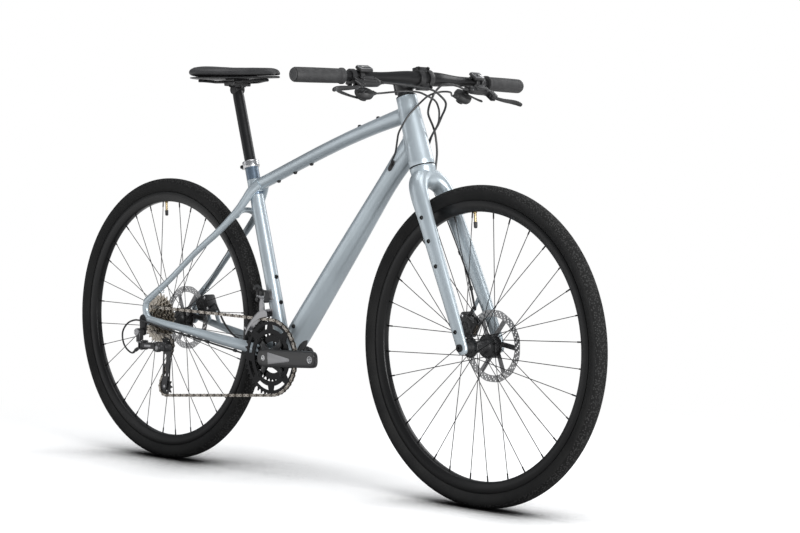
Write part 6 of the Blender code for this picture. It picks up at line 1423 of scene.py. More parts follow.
rail_line += [(Vector((p.x, -p.y, p.z)), 0.0, 0.0) for p in rail_points[::-1]]
rails = wire("saddle_rail_rods", [row[0] for row in curved(rail_line, 5)], RAIL_RADIUS, 20)
dress(rails, anodised, "saddle", "black_metal", ("saddle_rails",), 60.0)
saddle_rows = [(0.0000, 0.36, 0.0085), (0.0040, 0.56, 0.0045), (0.0140, 0.80, 0.0015),
               (0.0300, 0.95, 0.0000), (0.0480, 1.00, 0.0005), (0.0680, 0.96, 0.0015),
               (0.0880, 0.84, 0.0030), (0.1080, 0.70, 0.0040), (0.1300, 0.53, 0.0048),
               (0.1550, 0.40, 0.0052), (0.1850, 0.31, 0.0055), (0.2150, 0.265, 0.0060),
               (0.2400, 0.245, 0.0072), (0.2560, 0.22, 0.0095), (0.2650, 0.17, 0.0125),
               (0.2700, 0.09, 0.0165)]
saddle_line = curved(saddle_rows, 4)


def saddle_ring(x, half_width, low, high, sides=56):
    """One cross-section: a crowned top with a shallow channel, rounded sides and a flat foot."""
    ring = []
    for i in range(sides):
        v = sin(tau * i / sides)
        y = half_width * squared(cos(tau * i / sides), 0.72)
        z = (low + high) * 0.5 + (high - low) * 0.5 * squared(v, 0.62 if v > 0.0 else 0.45)
        if v > 0.0:
            channel = min(1.0, max(0.0, (x - 0.02) / 0.05)) * min(1.0, max(0.0, (0.25 - x) / 0.05))
            z -= 0.0022 * max(0.0, 1.0 - (y / 0.010) ** 2) * channel
            z -= 0.0040 * (abs(y) / max(half_width, 0.001)) ** 3
        ring.append(Vector((SADDLE_REAR + x, y, z)))
    return ring


leather = Finish("saddle_cover_synthetic", (0.034, 0.034, 0.036), 0.55)
grain = leather.cells(0.0016, feature="SMOOTH_F1")
leather.mottle(0.04, 3.0, (0.030, 0.030, 0.032), (0.046, 0.046, 0.048))
leather.rough(0.48 + 0.16 * leather.noise(0.02, 3.0))
leather.bump(grain * 0.7 + leather.noise(0.0007, 2.0) * 0.3, 0.00022, 0.5)
pad = skin("saddle_pad",
           [saddle_ring(x, SADDLE_HALF_WIDTH * wide, SHELL_HIGH + GAP + 0.0010 * (1.0 - wide),
                        SADDLE_TOP - below) for x, wide, below in saddle_line])
dress(pad, leather, "saddle", "cover", ("saddle_cover",), 70.0)
pad_surface = surface_of(pad)
thread = Finish("saddle_thread", (0.055, 0.055, 0.058), 0.7)
thread.bump(thread.waves("X", 500.0), 0.0002, 0.7)
seams = []
for side in (-1.0, 1.0):
    line = []
    for x, wide, below in saddle_line[6:-9]:
        above = Vector((SADDLE_REAR + x, side * SADDLE_HALF_WIDTH * wide * SEAM_SHARE, SADDLE_TOP + 0.05))
        hit = pad_surface.ray_cast(above, -Z_AXIS)
        if hit[0] is not None:
            line.append(hit[0] + Z_AXIS * 0.0001)
    seams.append(wire("seam", line, 0.0005, 6))
assemble("saddle_seams", seams, thread, "saddle", "cover", angle=60.0)
shell_rings = [oval(Vector((SADDLE_REAR + x, 0.0, (SHELL_UNDERSIDE + SHELL_HIGH) * 0.5)), Y_AXIS, Z_AXIS,
                    SADDLE_HALF_WIDTH * 0.955 * wide, (SHELL_HIGH - SHELL_UNDERSIDE) * 0.5, 40, 0.62)
               for x, wide, below in saddle_line[3:-3]]
saddle_base = skin("saddle_shell_moulding", shell_rings)
dress(saddle_base, moulded_black, "saddle", "black_metal", ("saddle_shell",), 50.0)

# Bottom bracket: a sealed cartridge screwed into the shell, whose black cups stand out at both
# ends, and the ground steel spindle that turns in it.
plain_steel = Finish("bright_steel", (0.56, 0.56, 0.57), 0.26, 1.0)
plain_steel.worn(0.20, 0.16, 0.004, 0.0008, 0.00003, 0.4)
bracket_cups = lathe("bracket_cups",
                     [(-0.0373, 0.0088), (-0.0373, 0.0188), (-0.0366, 0.0196), (-0.0350, 0.0200),
                      (-0.0343, 0.0200), (-0.0343, 0.0167), (0.0343, 0.0167), (0.0343, 0.0200),
                      (0.0350, 0.0200), (0.0366, 0.0196), (0.0373, 0.0188), (0.0373, 0.0088),
                      (-0.0373, 0.0088)], BRACKET, Y_AXIS, 48)
assemble("bracket_cartridge", [bracket_cups], anodised, "frame", "black_metal", ("bottom_bracket",), 35.0)
spindle_bar = bar("spindle_bar", BRACKET - Y_AXIS * 0.0620, BRACKET + Y_AXIS * 0.0620, 0.0085, 40, 0.0008)
dress(spindle_bar, plain_steel, "crankset", "steel", ("spindle",))

# Cranks: forged black alloy arms with a rounded boxy section; the right one carries a four-arm
# spider, a bright inlay near the axle, and both end in a threaded pedal eye with a steel insert.
CRANK_LENGTH = 0.1725
CRANK_TURN = radians(2.7)
CRANK_THICK = 0.0130
ARM_FACE = 0.0726
PEDAL_FACE = ARM_FACE + 0.0094
SPIDER_MIDDLE = -0.0447
crank_along = toward(CRANK_TURN)
arm_rows = [(-0.112, 0.0085), (-0.107, 0.0125), (-0.085, 0.0172), (-0.045, 0.0190), (0.0, 0.0212),
            (0.08, 0.0212), (0.16, 0.0210), (0.50, 0.0203), (0.85, 0.0196), (1.0, 0.0192), (1.045, 0.0184),
            (1.068, 0.0170), (1.080, 0.0140), (1.085, 0.0100)]
crank_satin = Finish("satin_black_crank", (0.020, 0.020, 0.021), 0.30, 0.25, Coat_Weight=0.4,
                     Coat_Roughness=0.2)
crank_satin.worn(0.26, 0.14, 0.02, 0.0008, 0.00003, 0.4)


def arm_face(share):
    """How far out the arm's face is, from the axle (0) to the pedal eye (1)."""
    return ARM_FACE + (PEDAL_FACE - ARM_FACE) * min(1.0, max(0.0, share))


def crank(side, word):
    """One forged arm with its hub, eye and steel parts, and the spider on the right one."""
    along = crank_along * (-side)
    stations = [(BRACKET + along * (CRANK_LENGTH * share)
                 + Y_AXIS * (side * (arm_face(share) - CRANK_THICK * 0.5)), high, CRANK_THICK * 0.5)
                for share, high in arm_rows]
    arm = tube("arm", stations, 4, 48, 0.50)
    inner = 0.0385 if side < 0.0 else 0.0400
    hub = bar("hub", BRACKET + Y_AXIS * (side * inner), BRACKET + Y_AXIS * (side * (ARM_FACE - 0.004)),
              0.0165, 48, 0.0010)
    pieces = [arm, hub]
    if side < 0.0:
        for i in range(4):
            out = toward(CRANK_TURN + pi * 0.25 + pi * 0.5 * i)
            middle = SPIDER_MIDDLE
            rows = [(0.008, middle - 0.0070, 0.0150, 0.0060), (0.022, middle - 0.0050, 0.0105, 0.0052),
                    (0.036, middle - 0.0014, 0.0078, 0.0032), (0.052, middle, 0.0068, 0.0020),
                    (0.0625, middle, 0.0058, 0.0019), (0.0648, middle, 0.0030, 0.0012)]
            stations = [(BRACKET + out * reach + Y_AXIS * y, high, thick) for reach, y, high, thick in rows]
            pieces.append(tube("spider_arm", stations, 4, 28, 0.6))
    eye = BRACKET + along * CRANK_LENGTH
    carve(arm, bar("eye", eye + Y_AXIS * (side * 0.05), eye + Y_AXIS * (side * 0.10), 0.0086, 32),
          bar("dish", BRACKET + Y_AXIS * (side * (ARM_FACE - 0.0030)),
              BRACKET + Y_AXIS * (side * (ARM_FACE + 0.004)), 0.0074, 40))
    join("crank_" + word, pieces)
    dress(arm, crank_satin, "crankset", "black_metal", ("crank_arm_" + word,), 40.0)
    insert = lathe("pedal_insert",
                   [(0.0002, 0.0069), (0.0002, 0.0085), (0.0126, 0.0085), (0.0129, 0.0082),
                    (0.0129, 0.0072), (0.0125, 0.0069), (0.0002, 0.0069)],
                   eye + Y_AXIS * (side * (PEDAL_FACE - CRANK_THICK)), Y_AXIS * side, 32)
    bolt = lathe("spindle_bolt",
                 [(-0.002, 0.0), (-0.002, 0.0072), (0.0004, 0.0072), (0.0010, 0.0066), (0.0013, 0.0046),
                  (0.0002, 0.0040), (-0.0012, 0.0036), (-0.0012, 0.0)],
                 BRACKET + Y_AXIS * (side * (ARM_FACE - 0.0016)), Y_AXIS * side, 32)
    assemble("crank_steel_" + word, [insert, bolt], plain_steel, "crankset", "steel")


crank(-1.0, "right")
crank(1.0, "left")
inlay_up = crank_along.cross(Y_AXIS).normalized()
inlay_spots = ((0.0175, 0.0130), (0.0190, -0.0135), (0.0230, -0.0138), (0.0945, -0.0068),
               (0.0985, -0.0050), (0.0998, -0.0022), (0.0980, 0.0004), (0.0940, 0.0012), (0.0210, 0.0135))
inlay_at = [BRACKET + crank_along * along + inlay_up * high for along, high in inlay_spots]
inlay = skin("crank_inlay",
             [[Vector((p.x, -arm_face((p - BRACKET).dot(crank_along) / CRANK_LENGTH) - lift, p.z))
               for p in inlay_at] for lift in (-0.0008, 0.00035)])
soften(inlay, 0.0002, 2)
dress(inlay, silver_trim, "crankset", "alloy")

# Chainrings: a black 44-tooth and a black 28-tooth ring, stamped and machined, the large one with
# curved windows; four black bolts hold them to the spider.
PITCH = 0.0127
RING_HALF = 0.0012
gloss_black = Finish("gloss_black_ring", (0.012, 0.012, 0.013), 0.30, 0.9, Coat_Weight=0.1,
                     Coat_Roughness=0.15)
gloss_black.worn(0.22, 0.14, 0.01, 0.0009, 0.00003, 0.4)


def pitch_radius(teeth):
    """The radius at which a chain's pins lie on a wheel."""
    return PITCH * 0.5 / sin(pi / teeth)


def toothed(centre, teeth, phase, tip, root):
    """Outline of a sprocket whose rollers sit at the phase angle and every tooth on from it."""
    radius = pitch_radius(teeth)
    loop = []
    for i in range(teeth):
        middle = phase + tau * (i + 0.5) / teeth
        step = tau / teeth
        for share, reach in ((-0.50, -root), (-0.34, -root + 0.0004), (-0.20, -0.0010), (-0.10, tip * 0.85),
                             (0.0, tip), (0.10, tip * 0.85), (0.20, -0.0010), (0.34, -root + 0.0004)):
            loop.append(on_circle(centre, radius + reach, middle + step * share))
    return loop


def ring_windows(centre, low, high, count, phase, gap):
    """Curved windows between two radii, with a bar of metal between one and the next."""
    holes = []
    for i in range(count):
        turn = phase + tau * i / count
        half = pi / count - gap
        outer = [on_circle(centre, high, turn + half * (k / 6.0 - 1.0)) for k in range(13)]
        inner = [on_circle(centre, low, turn - half * 0.82 * (k / 4.0 - 1.0)) for k in range(9)]
        holes.append(outer + inner)
    return holes


# The chain's straight runs give the angle at which a roller sits on each toothed wheel.
LARGE_PLANE, SMALL_PLANE = -0.0482, -0.0412
FIRST_COG_PLANE, COG_STEP = -0.0665, 0.0048
COG_PLANE = FIRST_COG_PLANE + COG_STEP * 2
LARGE_TEETH, SMALL_TEETH, COG_IN_USE, PULLEY_TEETH = 44, 28, 15, 11
CAGE_AXIS = REAR_AXLE + Vector((0.0780, 0.0, -0.0653))
GUIDE = CAGE_AXIS + Vector((-0.0160, 0.0, 0.0050))
TENSION = CAGE_AXIS + Vector((-0.0200, 0.0, -0.0980))


def leaving_angle(start, start_radius, start_turn, end, end_radius, end_turn):
    """The heading of the straight run from one wheel to the next."""
    across, rise = end.x - start.x, end.z - start.z
    offset = end_turn * end_radius - start_turn * start_radius
    return atan2(rise, across) - atan2(offset, sqrt(across ** 2 + rise ** 2 - offset ** 2))


loop_wheels = [(BRACKET, pitch_radius(LARGE_TEETH), 1.0, LARGE_PLANE),
               (REAR_AXLE, pitch_radius(COG_IN_USE), 1.0, COG_PLANE),
               (GUIDE, pitch_radius(PULLEY_TEETH), -1.0, COG_PLANE),
               (TENSION, pitch_radius(PULLEY_TEETH), 1.0, COG_PLANE)]
fine_loop = []
for i, (centre, radius, turn, plane) in enumerate(loop_wheels):
    last, following = loop_wheels[i - 1], loop_wheels[(i + 1) % 4]
    arriving = leaving_angle(last[0], last[1], last[2], centre, radius, turn)
    going = leaving_angle(centre, radius, turn, following[0], following[1], following[2])
    sweep = (going - arriving) * turn % tau
    for k in range(121):
        heading = arriving + turn * sweep * k / 120
        fine_loop.append(Vector((centre.x, plane, centre.z))
                         - Vector((-sin(heading), 0.0, cos(heading))) * (turn * radius))
fine_loop.append(fine_loop[0])
runs = [0.0]
for first, second in zip(fine_loop, fine_loop[1:]):
    runs.append(runs[-1] + hypot(second.x - first.x, second.z - first.z))
LINKS = 2 * round(runs[-1] / PITCH / 2.0)


def along_chain(distance):
    """The point at a distance round the chain's line."""
    distance %= runs[-1]
    low, high = 0, len(runs) - 1
    while high - low > 1:
        half = (low + high) // 2
        low, high = (half, high) if runs[half] <= distance else (low, half)
    return fine_loop[low].lerp(fine_loop[high],
                               (distance - runs[low]) / max(runs[high] - runs[low], 0.0000001))


step = runs[-1] / LINKS
rollers = [along_chain(step * (i + 0.5)) for i in range(LINKS)]


def roller_phase(centre):
    """The angle of the roller that sits deepest on a wheel."""
    nearest = min(rollers, key=lambda p: (hypot(p.x - centre.x, p.z - centre.z), p.x))
    on_wheel = [p for p in rollers
                if hypot(p.x - centre.x, p.z - centre.z) < hypot(nearest.x - centre.x, nearest.z - centre.z)
                + 0.0006]
    middle = on_wheel[len(on_wheel) // 2]
    return atan2(middle.z - centre.z, middle.x - centre.x)


ring_phase = CRANK_TURN + pi * 0.25
large_ring = sheet_part("large_ring", toothed(BRACKET, LARGE_TEETH, roller_phase(BRACKET), 0.0036, 0.0042),
                        [ring_of(BRACKET.x, BRACKET.z, 0.0560, 96),
                         *ring_windows(BRACKET, 0.0675, 0.0775, 8, ring_phase + pi / 8.0, 0.11)],
                        LARGE_PLANE - RING_HALF, LARGE_PLANE + RING_HALF, 0.0003)
spider_turns = [ring_phase + pi * 0.5 * i for i in range(4)]
tabs = [brick("tab", BRACKET + toward(turn) * 0.0565 + Y_AXIS * LARGE_PLANE,
              (toward(turn), Y_AXIS, Vector((-sin(turn), 0.0, cos(turn)))), (0.0120, 0.0022, 0.0150), 0.0006)
        for turn in spider_turns]
assemble("chainring_44", [large_ring, *tabs], gloss_black, "crankset", "black_metal", ("chainring_large",),
         30.0)
small_ring = sheet_part("small_ring", toothed(BRACKET, SMALL_TEETH, 0.0, 0.0034, 0.0042),
                        [ring_of(BRACKET.x, BRACKET.z, pitch_radius(SMALL_TEETH) - 0.0196, 72)],
                        SMALL_PLANE - RING_HALF, SMALL_PLANE + RING_HALF, 0.0003)
assemble("chainring_28", [small_ring], gloss_black, "crankset", "black_metal", ("chainring_small",), 30.0)
ring_bolts = [screw(BRACKET + toward(turn) * 0.0585 + Y_AXIS * (LARGE_PLANE - 0.0011), -Y_AXIS,
                    0.0050, 0.0016, 0.0026) for turn in spider_turns]
assemble("ring_bolts", ring_bolts, bolt_black, "crankset", "steel")

# Cassette: eight stamped, nickel-plated steel cogs, the larger ones pierced, slid on the rear
# hub's black body.
cog_steel = Finish("cog_steel", (0.40, 0.365, 0.315), 0.30, 1.0)
cog_steel.mottle(0.012, 4.0, (0.56, 0.52, 0.46), (0.36, 0.32, 0.27))
cog_steel.worn(0.26, 0.20, 0.004, 0.0009, 0.00004, 0.5)
COG_TEETH = (11, 13, 15, 17, 20, 23, 26, 30)
cogs = []
for i, teeth in enumerate(COG_TEETH):
    plane = FIRST_COG_PLANE + COG_STEP * i
    phase = roller_phase(REAR_AXLE) if teeth == COG_IN_USE else 0.35 * i
    holes = [ring_of(REAR_AXLE.x, REAR_AXLE.z, 0.0152, 40)]
    if teeth >= 20:
        holes += [ring_of(*on_circle(REAR_AXLE, pitch_radius(teeth) * 0.5 + 0.0075, tau * k / 8 + 0.2 * i),
                          0.0028 + 0.0003 * (i - 4), 14) for k in range(8)]
    cogs.append(sheet_part("cog", toothed(REAR_AXLE, teeth, phase, 0.0030, 0.0042), holes, plane - 0.0009,
                           plane + 0.0009, 0.0002))
assemble("cassette_cogs", cogs, cog_steel, "cassette", "steel", ("cassette",), 30.0)
body_rows = [(-0.0712, AXLE_BORE), (-0.0712, 0.0150), (-0.0708, 0.0156), (-0.0688, 0.0156), (-0.0684, 0.0151),
             (-0.0322, 0.0151), (-0.0322, AXLE_BORE), (-0.0712, AXLE_BORE)]
lock_body = lathe("cassette_body", [(y + 0.0002, r) for y, r in body_rows], REAR_AXLE, Y_AXIS, 48)
dress(lock_body, anodised, "cassette", "black_metal")

# Chain: riveted steel links, inner and outer plates in turn, laid once round the large ring, a
# cog and both pulleys.
chain_steel = Finish("oiled_chain_steel", (0.42, 0.40, 0.37), 0.34, 1.0)
chain_steel.mottle(0.006, 3.0, (0.52, 0.485, 0.44), (0.34, 0.31, 0.275))
chain_steel.rough(0.28 + 0.18 * chain_steel.noise(0.003, 3.0))
plate_loop = []
for end in (0.5, -0.5):
    for k in range(7):
        a = pi * (k / 6.0 - 0.5) + (0.0 if end > 0.0 else pi)
        plate_loop.append((end * PITCH + 0.0037 * cos(a), 0.0037 * sin(a)))
    plate_loop.append((0.0, 0.0026 if end > 0.0 else -0.0026))
verts, faces = [], []
for i in range(LINKS):
    a, b = rollers[i], rollers[(i + 1) % LINKS]
    middle = (a + b) * 0.5
    along = Vector((b.x - a.x, 0.0, b.z - a.z)).normalized()
    up = Vector((-along.z, 0.0, along.x))
    outer = i % 2 == 0
    for side in (-1.0, 1.0):
        near, far = (0.0024, 0.0033) if outer else (0.0014, 0.0023)
        base = len(verts)
        count = len(plate_loop)
        for y in (near, far):
            verts += [middle + along * u + up * v + Y_AXIS * (side * y) for u, v in plate_loop]
        loop = list(range(count))
        for k in loop:
            j = (k + 1) % count
            quad = (base + k, base + j, base + count + j, base + count + k)
            faces.append(quad if side > 0.0 else quad[::-1])
        low_face, high_face = tuple(base + k for k in loop), tuple(base + count + k for k in loop)
        faces += [low_face[::-1], high_face] if side > 0.0 else [low_face, high_face[::-1]]
    base = len(verts)
    for y, r in ((-0.0036, 0.0018), (0.0036, 0.0018)):
        verts += [a + along * (r * cos(tau * k / 8)) + up * (r * sin(tau * k / 8)) + Y_AXIS * y
                  for k in range(8)]
    faces += [(base + k, base + 8 + k, base + 8 + (k + 1) % 8, base + (k + 1) % 8) for k in range(8)]
    faces += [tuple(base + k for k in range(8)), tuple(base + 15 - k for k in range(8))]
    base = len(verts)
    for y in (-0.0014, 0.0014):
        verts += [a + along * (0.0036 * cos(tau * k / 10)) + up * (0.0036 * sin(tau * k / 10)) + Y_AXIS * y
                  for k in range(10)]
    faces += [(base + k, base + 10 + k, base + 10 + (k + 1) % 10, base + (k + 1) % 10) for k in range(10)]
LINK_FACES = len(faces) // LINKS
INNER_FACES = 20
mesh = bpy.data.meshes.new("chain_links")
mesh.from_pydata(verts, [], faces)
chain_links = faced_out(placed("chain_links", mesh))
dress(chain_links, chain_steel, "frame", "steel", ("chain",), 35.0)
inner_steel = Finish("dark_inner_link_steel", (0.12, 0.105, 0.09), 0.42, 1.0)
inner_steel.mottle(0.006, 3.0, (0.17, 0.15, 0.13), (0.07, 0.06, 0.05))
inner_steel.rough(0.36 + 0.18 * inner_steel.noise(0.003, 3.0))
chain_links.data.materials.append(inner_steel.material)
for i, face in enumerate(chain_links.data.polygons):
    if i % LINK_FACES >= LINK_FACES - INNER_FACES or (i // LINK_FACES) % 2 == 1:
        face.material_index = 1

# Rear derailleur hanger: a machined black alloy tongue that the axle clamps outside the right
# dropout, with the rear axle's far end showing in it.
def hull(points):
    """The outline around a set of (x, z) points."""
    ordered = sorted(set(points))
    halves = []
    for row in (ordered, ordered[::-1]):
        half = []
        for x, z in row:
            while len(half) > 1:
                (ax, az), (bx, bz) = half[-2], half[-1]
                if (bx - ax) * (z - az) - (bz - az) * (x - ax) > 0.0:
                    break
                half.pop()
            half.append((x, z))
        halves += half[:-1]
    return halves


HANGER_BOLT = REAR_AXLE + Vector((0.0, 0.0, -0.0308))
tongue = sheet_part("hanger_tongue",
                    hull(ring_of(0.0, REAR_AXLE.z, 0.0119, 48) + ring_of(0.0, HANGER_BOLT.z, 0.0094, 40)),
                    [], -DROPOUT_FACE - 0.0072, -DROPOUT_FACE - 0.0005, 0.0008, 2)
axle_end = lathe("axle_end",
                 [(0.0065, 0.0), (0.0065, 0.0078), (0.0074, 0.0078), (0.0078, 0.0072), (0.0078, 0.0036),
                  (0.0068, 0.0032), (0.0068, 0.0)], REAR_AXLE - Y_AXIS * (DROPOUT_FACE - 0.0002), -Y_AXIS,
                 36)
assemble("hanger_plate", [tongue, axle_end], anodised, "frame", "black_metal", ("derailleur_hanger",), 35.0)

# Rear derailleur: four forged, painted pieces hinged on steel pins round a coil spring, with a
# barrel adjuster behind, limit screws, and a sprung plate cage that holds two toothed pulleys.
mech_grey = Finish("dark_grey_mech_paint", (0.040, 0.040, 0.042), 0.38, 0.5, Coat_Weight=0.2,
                   Coat_Roughness=0.3)
mech_grey.worn(0.32, 0.16, 0.008, 0.0008, 0.00004, 0.5)
LINK_Z = CAGE_AXIS.z + 0.0030
LINK_START, LINK_END = 0.0140, 0.0660
OUTER_LINK_Y = -DROPOUT_FACE - 0.0192
INNER_LINK_Y = OUTER_LINK_Y + 0.0135
LINK_HALF = 0.0074
TAB_HALF = LINK_HALF + 0.0040
TAB_Y = (OUTER_LINK_Y + INNER_LINK_Y) * 0.5
TAB_WIDTH = INNER_LINK_Y - OUTER_LINK_Y + 0.0090
knuckle_face = -DROPOUT_FACE - 0.0075
knuckle = bar("knuckle", HANGER_BOLT + Y_AXIS * knuckle_face,
              HANGER_BOLT + Y_AXIS * (knuckle_face - 0.0175), 0.0095, 48, 0.0016, segments=3)
neck_low = LINK_Z + TAB_HALF - 0.002
neck = brick("neck", (0.0030, knuckle_face - 0.0095, (neck_low + HANGER_BOLT.z) * 0.5), AXES,
             (0.0130, 0.0160, HANGER_BOLT.z - neck_low + 0.006), 0.0035, 4)
tab = brick("tab", (LINK_START - 0.0030, TAB_Y, LINK_Z), AXES, (0.0160, TAB_WIDTH, 2.0 * TAB_HALF), 0.0026, 4)
carve(tab,
      brick("slot", (LINK_START + 0.0035, TAB_Y, LINK_Z), AXES,
            (0.0200, TAB_WIDTH + 0.01, 2.0 * (LINK_HALF + GAP))))
adjuster_end = Vector((-0.0125, OUTER_LINK_Y + 0.0010, LINK_Z - 0.0150))
adjuster_along = (Vector((0.0060, adjuster_end.y, LINK_Z - 0.0050)) - adjuster_end).normalized()
adjuster_rows = [(0.0, 0.0023), (0.0, 0.0040), (0.0008, 0.0044)]
for k in range(6):
    adjuster_rows += [(0.0012 + 0.0014 * k, 0.0044), (0.0017 + 0.0014 * k, 0.0039),
                      (0.0022 + 0.0014 * k, 0.0044)]
adjuster = lathe("adjuster", [*adjuster_rows, (0.0105, 0.0036), (0.0190, 0.0034), (0.0190, 0.0)],
                 adjuster_end, adjuster_along, 32)
assemble("derailleur_upper_knuckle", [knuckle, neck, tab, adjuster], mech_grey, "frame", "black_metal",
         ("derailleur_b_knuckle",), 40.0)


def pins_at(x, name, body):
    """The two pins, with their heads, that hinge the links at one end."""
    pins = [bar("pin", (x, y, LINK_Z - TAB_HALF - 0.0002), (x, y, LINK_Z + TAB_HALF + 0.0002), 0.0016, 20,
                0.0002) for y in (OUTER_LINK_Y, INNER_LINK_Y)]
    pins += [bar("pin_head", (x, y, LINK_Z + sign * (TAB_HALF - 0.0004)),
                 (x, y, LINK_Z + sign * (TAB_HALF + 0.0008)), 0.0027, 24, 0.0003)
             for y in (OUTER_LINK_Y, INNER_LINK_Y) for sign in (-1.0, 1.0)]
    assemble(name, pins, plain_steel, body, "steel")


pins_at(LINK_START, "derailleur_upper_pins", "frame")
bolt = lathe("hanger_bolt",
             [(0.0, 0.0090), (0.0016, 0.0088), (0.0024, 0.0078), (0.0024, 0.0042), (0.0010, 0.0036),
              (0.0010, 0.0)], HANGER_BOLT + Y_AXIS * (knuckle_face - 0.0170), -Y_AXIS, 40)
limit_screws = [screw((LINK_START - 0.0085 + 0.0070 * k, TAB_Y - TAB_WIDTH * 0.5 + 0.0002, LINK_Z + 0.0070),
                      -Y_AXIS, 0.0022, 0.0016, 0.0011) for k in range(2)]
assemble("derailleur_silver_bolts", [bolt, *limit_screws], silver_trim, "frame", "steel")
for word, y in (("outer", OUTER_LINK_Y), ("inner", INNER_LINK_Y)):
    ends = [bar("eye", (x, y, LINK_Z - LINK_HALF), (x, y, LINK_Z + LINK_HALF), 0.0042, 32, 0.0006)
            for x in (LINK_START, LINK_END)]
    rows = [(LINK_START, 0.0062, 0.0018), (LINK_START + 0.006, 0.0070, 0.0022),
            (0.0400, 0.0073, 0.0026 if word == "outer" else 0.0019), (LINK_END - 0.006, 0.0070, 0.0022),
            (LINK_END, 0.0062, 0.0018)]
    shift = -0.0008 if word == "outer" else 0.0
    body = skin("link",
                tube_rings(curved([(Vector((x, y + shift, LINK_Z)), high, wide) for x, high, wide in rows],
                                  6), 32, 0.5))
    assemble("derailleur_" + word + "_link", [body, *ends], mech_grey, "derailleur_link_" + word,
             "black_metal", ("derailleur_link_" + word,), 45.0)
inlay = brick("outer_link_inlay", (0.0400, OUTER_LINK_Y - 0.00325, LINK_Z), AXES, (0.0240, 0.0006, 0.0050),
              0.0002)
dress(inlay, silver_trim, "derailleur_link_outer", "alloy")
spring_points = []
for k in range(61):
    a = tau * 5.0 * k / 60
    spring_points.append(Vector((LINK_START + 0.012 + 0.028 * k / 60,
                                 INNER_LINK_Y - 0.0066 + 0.0027 * cos(a), LINK_Z + 0.0027 * sin(a))))
spring = wire("derailleur_spring", spring_points, 0.0006, 6)
dress(spring, plain_steel, "derailleur_link_inner", "steel", angle=60.0)

CAGE_OUTER, CAGE_INNER, CAGE_WALL = COG_PLANE - 0.0057, COG_PLANE + 0.0042, 0.0015
barrel_face = CAGE_OUTER - GAP
low_body = brick("low_body", (LINK_END + 0.0070, TAB_Y, LINK_Z), AXES, (0.0240, TAB_WIDTH, 2.0 * TAB_HALF),
                 0.0034, 4)
drum = bar("drum", (CAGE_AXIS.x, barrel_face, CAGE_AXIS.z),
           (CAGE_AXIS.x, TAB_Y + TAB_WIDTH * 0.5 - 0.002, CAGE_AXIS.z), 0.0100, 48, 0.0012)
outer_drum = bar("outer_drum", (CAGE_AXIS.x, TAB_Y, CAGE_AXIS.z),
                 (CAGE_AXIS.x, TAB_Y - TAB_WIDTH * 0.5 - 0.0006, CAGE_AXIS.z), 0.0102, 48, 0.0014)
carve(low_body, drum, outer_drum, operation="UNION")
carve(low_body,
      brick("slot", (LINK_END - 0.0030, TAB_Y, LINK_Z), AXES,
            (0.0200, TAB_WIDTH + 0.004, 2.0 * (LINK_HALF + GAP))),
      bar("bore", (CAGE_AXIS.x, barrel_face + 0.005, CAGE_AXIS.z),
          (CAGE_AXIS.x, barrel_face - 0.0120, CAGE_AXIS.z), 0.0043, 32))
assemble("derailleur_lower_knuckle", [low_body], mech_grey, "derailleur_p_knuckle", "black_metal",
         ("derailleur_p_knuckle",), 40.0)
pins_at(LINK_END, "derailleur_lower_pins", "derailleur_p_knuckle")
drum_screw = screw((CAGE_AXIS.x, TAB_Y - TAB_WIDTH * 0.5 - 0.0004, CAGE_AXIS.z), -Y_AXIS, 0.0048, 0.0016,
                   0.0022)
assemble("lower_knuckle_screw", [drum_screw], silver_trim, "derailleur_p_knuckle", "steel")
outer_line = hull(ring_of(GUIDE.x, GUIDE.z, 0.0090, 40) + ring_of(CAGE_AXIS.x, CAGE_AXIS.z, 0.0085, 40)
                  + ring_of(TENSION.x, TENSION.z, 0.0085, 40))
inner_line = hull(ring_of(GUIDE.x, GUIDE.z, 0.0085, 40) + ring_of(TENSION.x, TENSION.z, 0.0085, 40))
run = (TENSION - GUIDE).normalized()


def cage_window(low, high, half):
    """A slot between two distances from the guide pulley to the other."""
    ends = [GUIDE + run * low, GUIDE + run * high]
    return hull([spot for end in ends for spot in ring_of(end.x, end.z, half, 20)])


windows = [cage_window(0.0260, 0.0440, 0.0036), cage_window(0.0580, 0.0760, 0.0036)]
cage_outer = sheet_part("cage_outer", outer_line, windows, CAGE_OUTER, CAGE_OUTER + CAGE_WALL, 0.0003)
cage_inner = sheet_part("cage_inner", inner_line, windows, CAGE_INNER, CAGE_INNER + CAGE_WALL, 0.0003)
cage_pins = [bar("cage_pin", (c.x, CAGE_OUTER + 0.0005, c.z), (c.x, CAGE_INNER + 0.0010, c.z), 0.0025, 24)
             for c in (GUIDE, TENSION)]
cage_pins.append(bar("cage_pivot", (CAGE_AXIS.x, CAGE_OUTER + 0.0010, CAGE_AXIS.z),
                     (CAGE_AXIS.x, CAGE_OUTER - 0.0110, CAGE_AXIS.z), 0.0040, 28))
assemble("derailleur_cage_plates", [cage_outer, cage_inner, *cage_pins], mech_grey, "derailleur_cage",
         "black_metal", ("derailleur_cage",), 35.0)
pulley_screws = [screw((c.x, CAGE_OUTER + 0.0001, c.z), -Y_AXIS, 0.0034, 0.0014, 0.0016)
                 for c in (GUIDE, TENSION)]
assemble("pulley_screws", pulley_screws, plain_steel, "derailleur_cage", "steel")
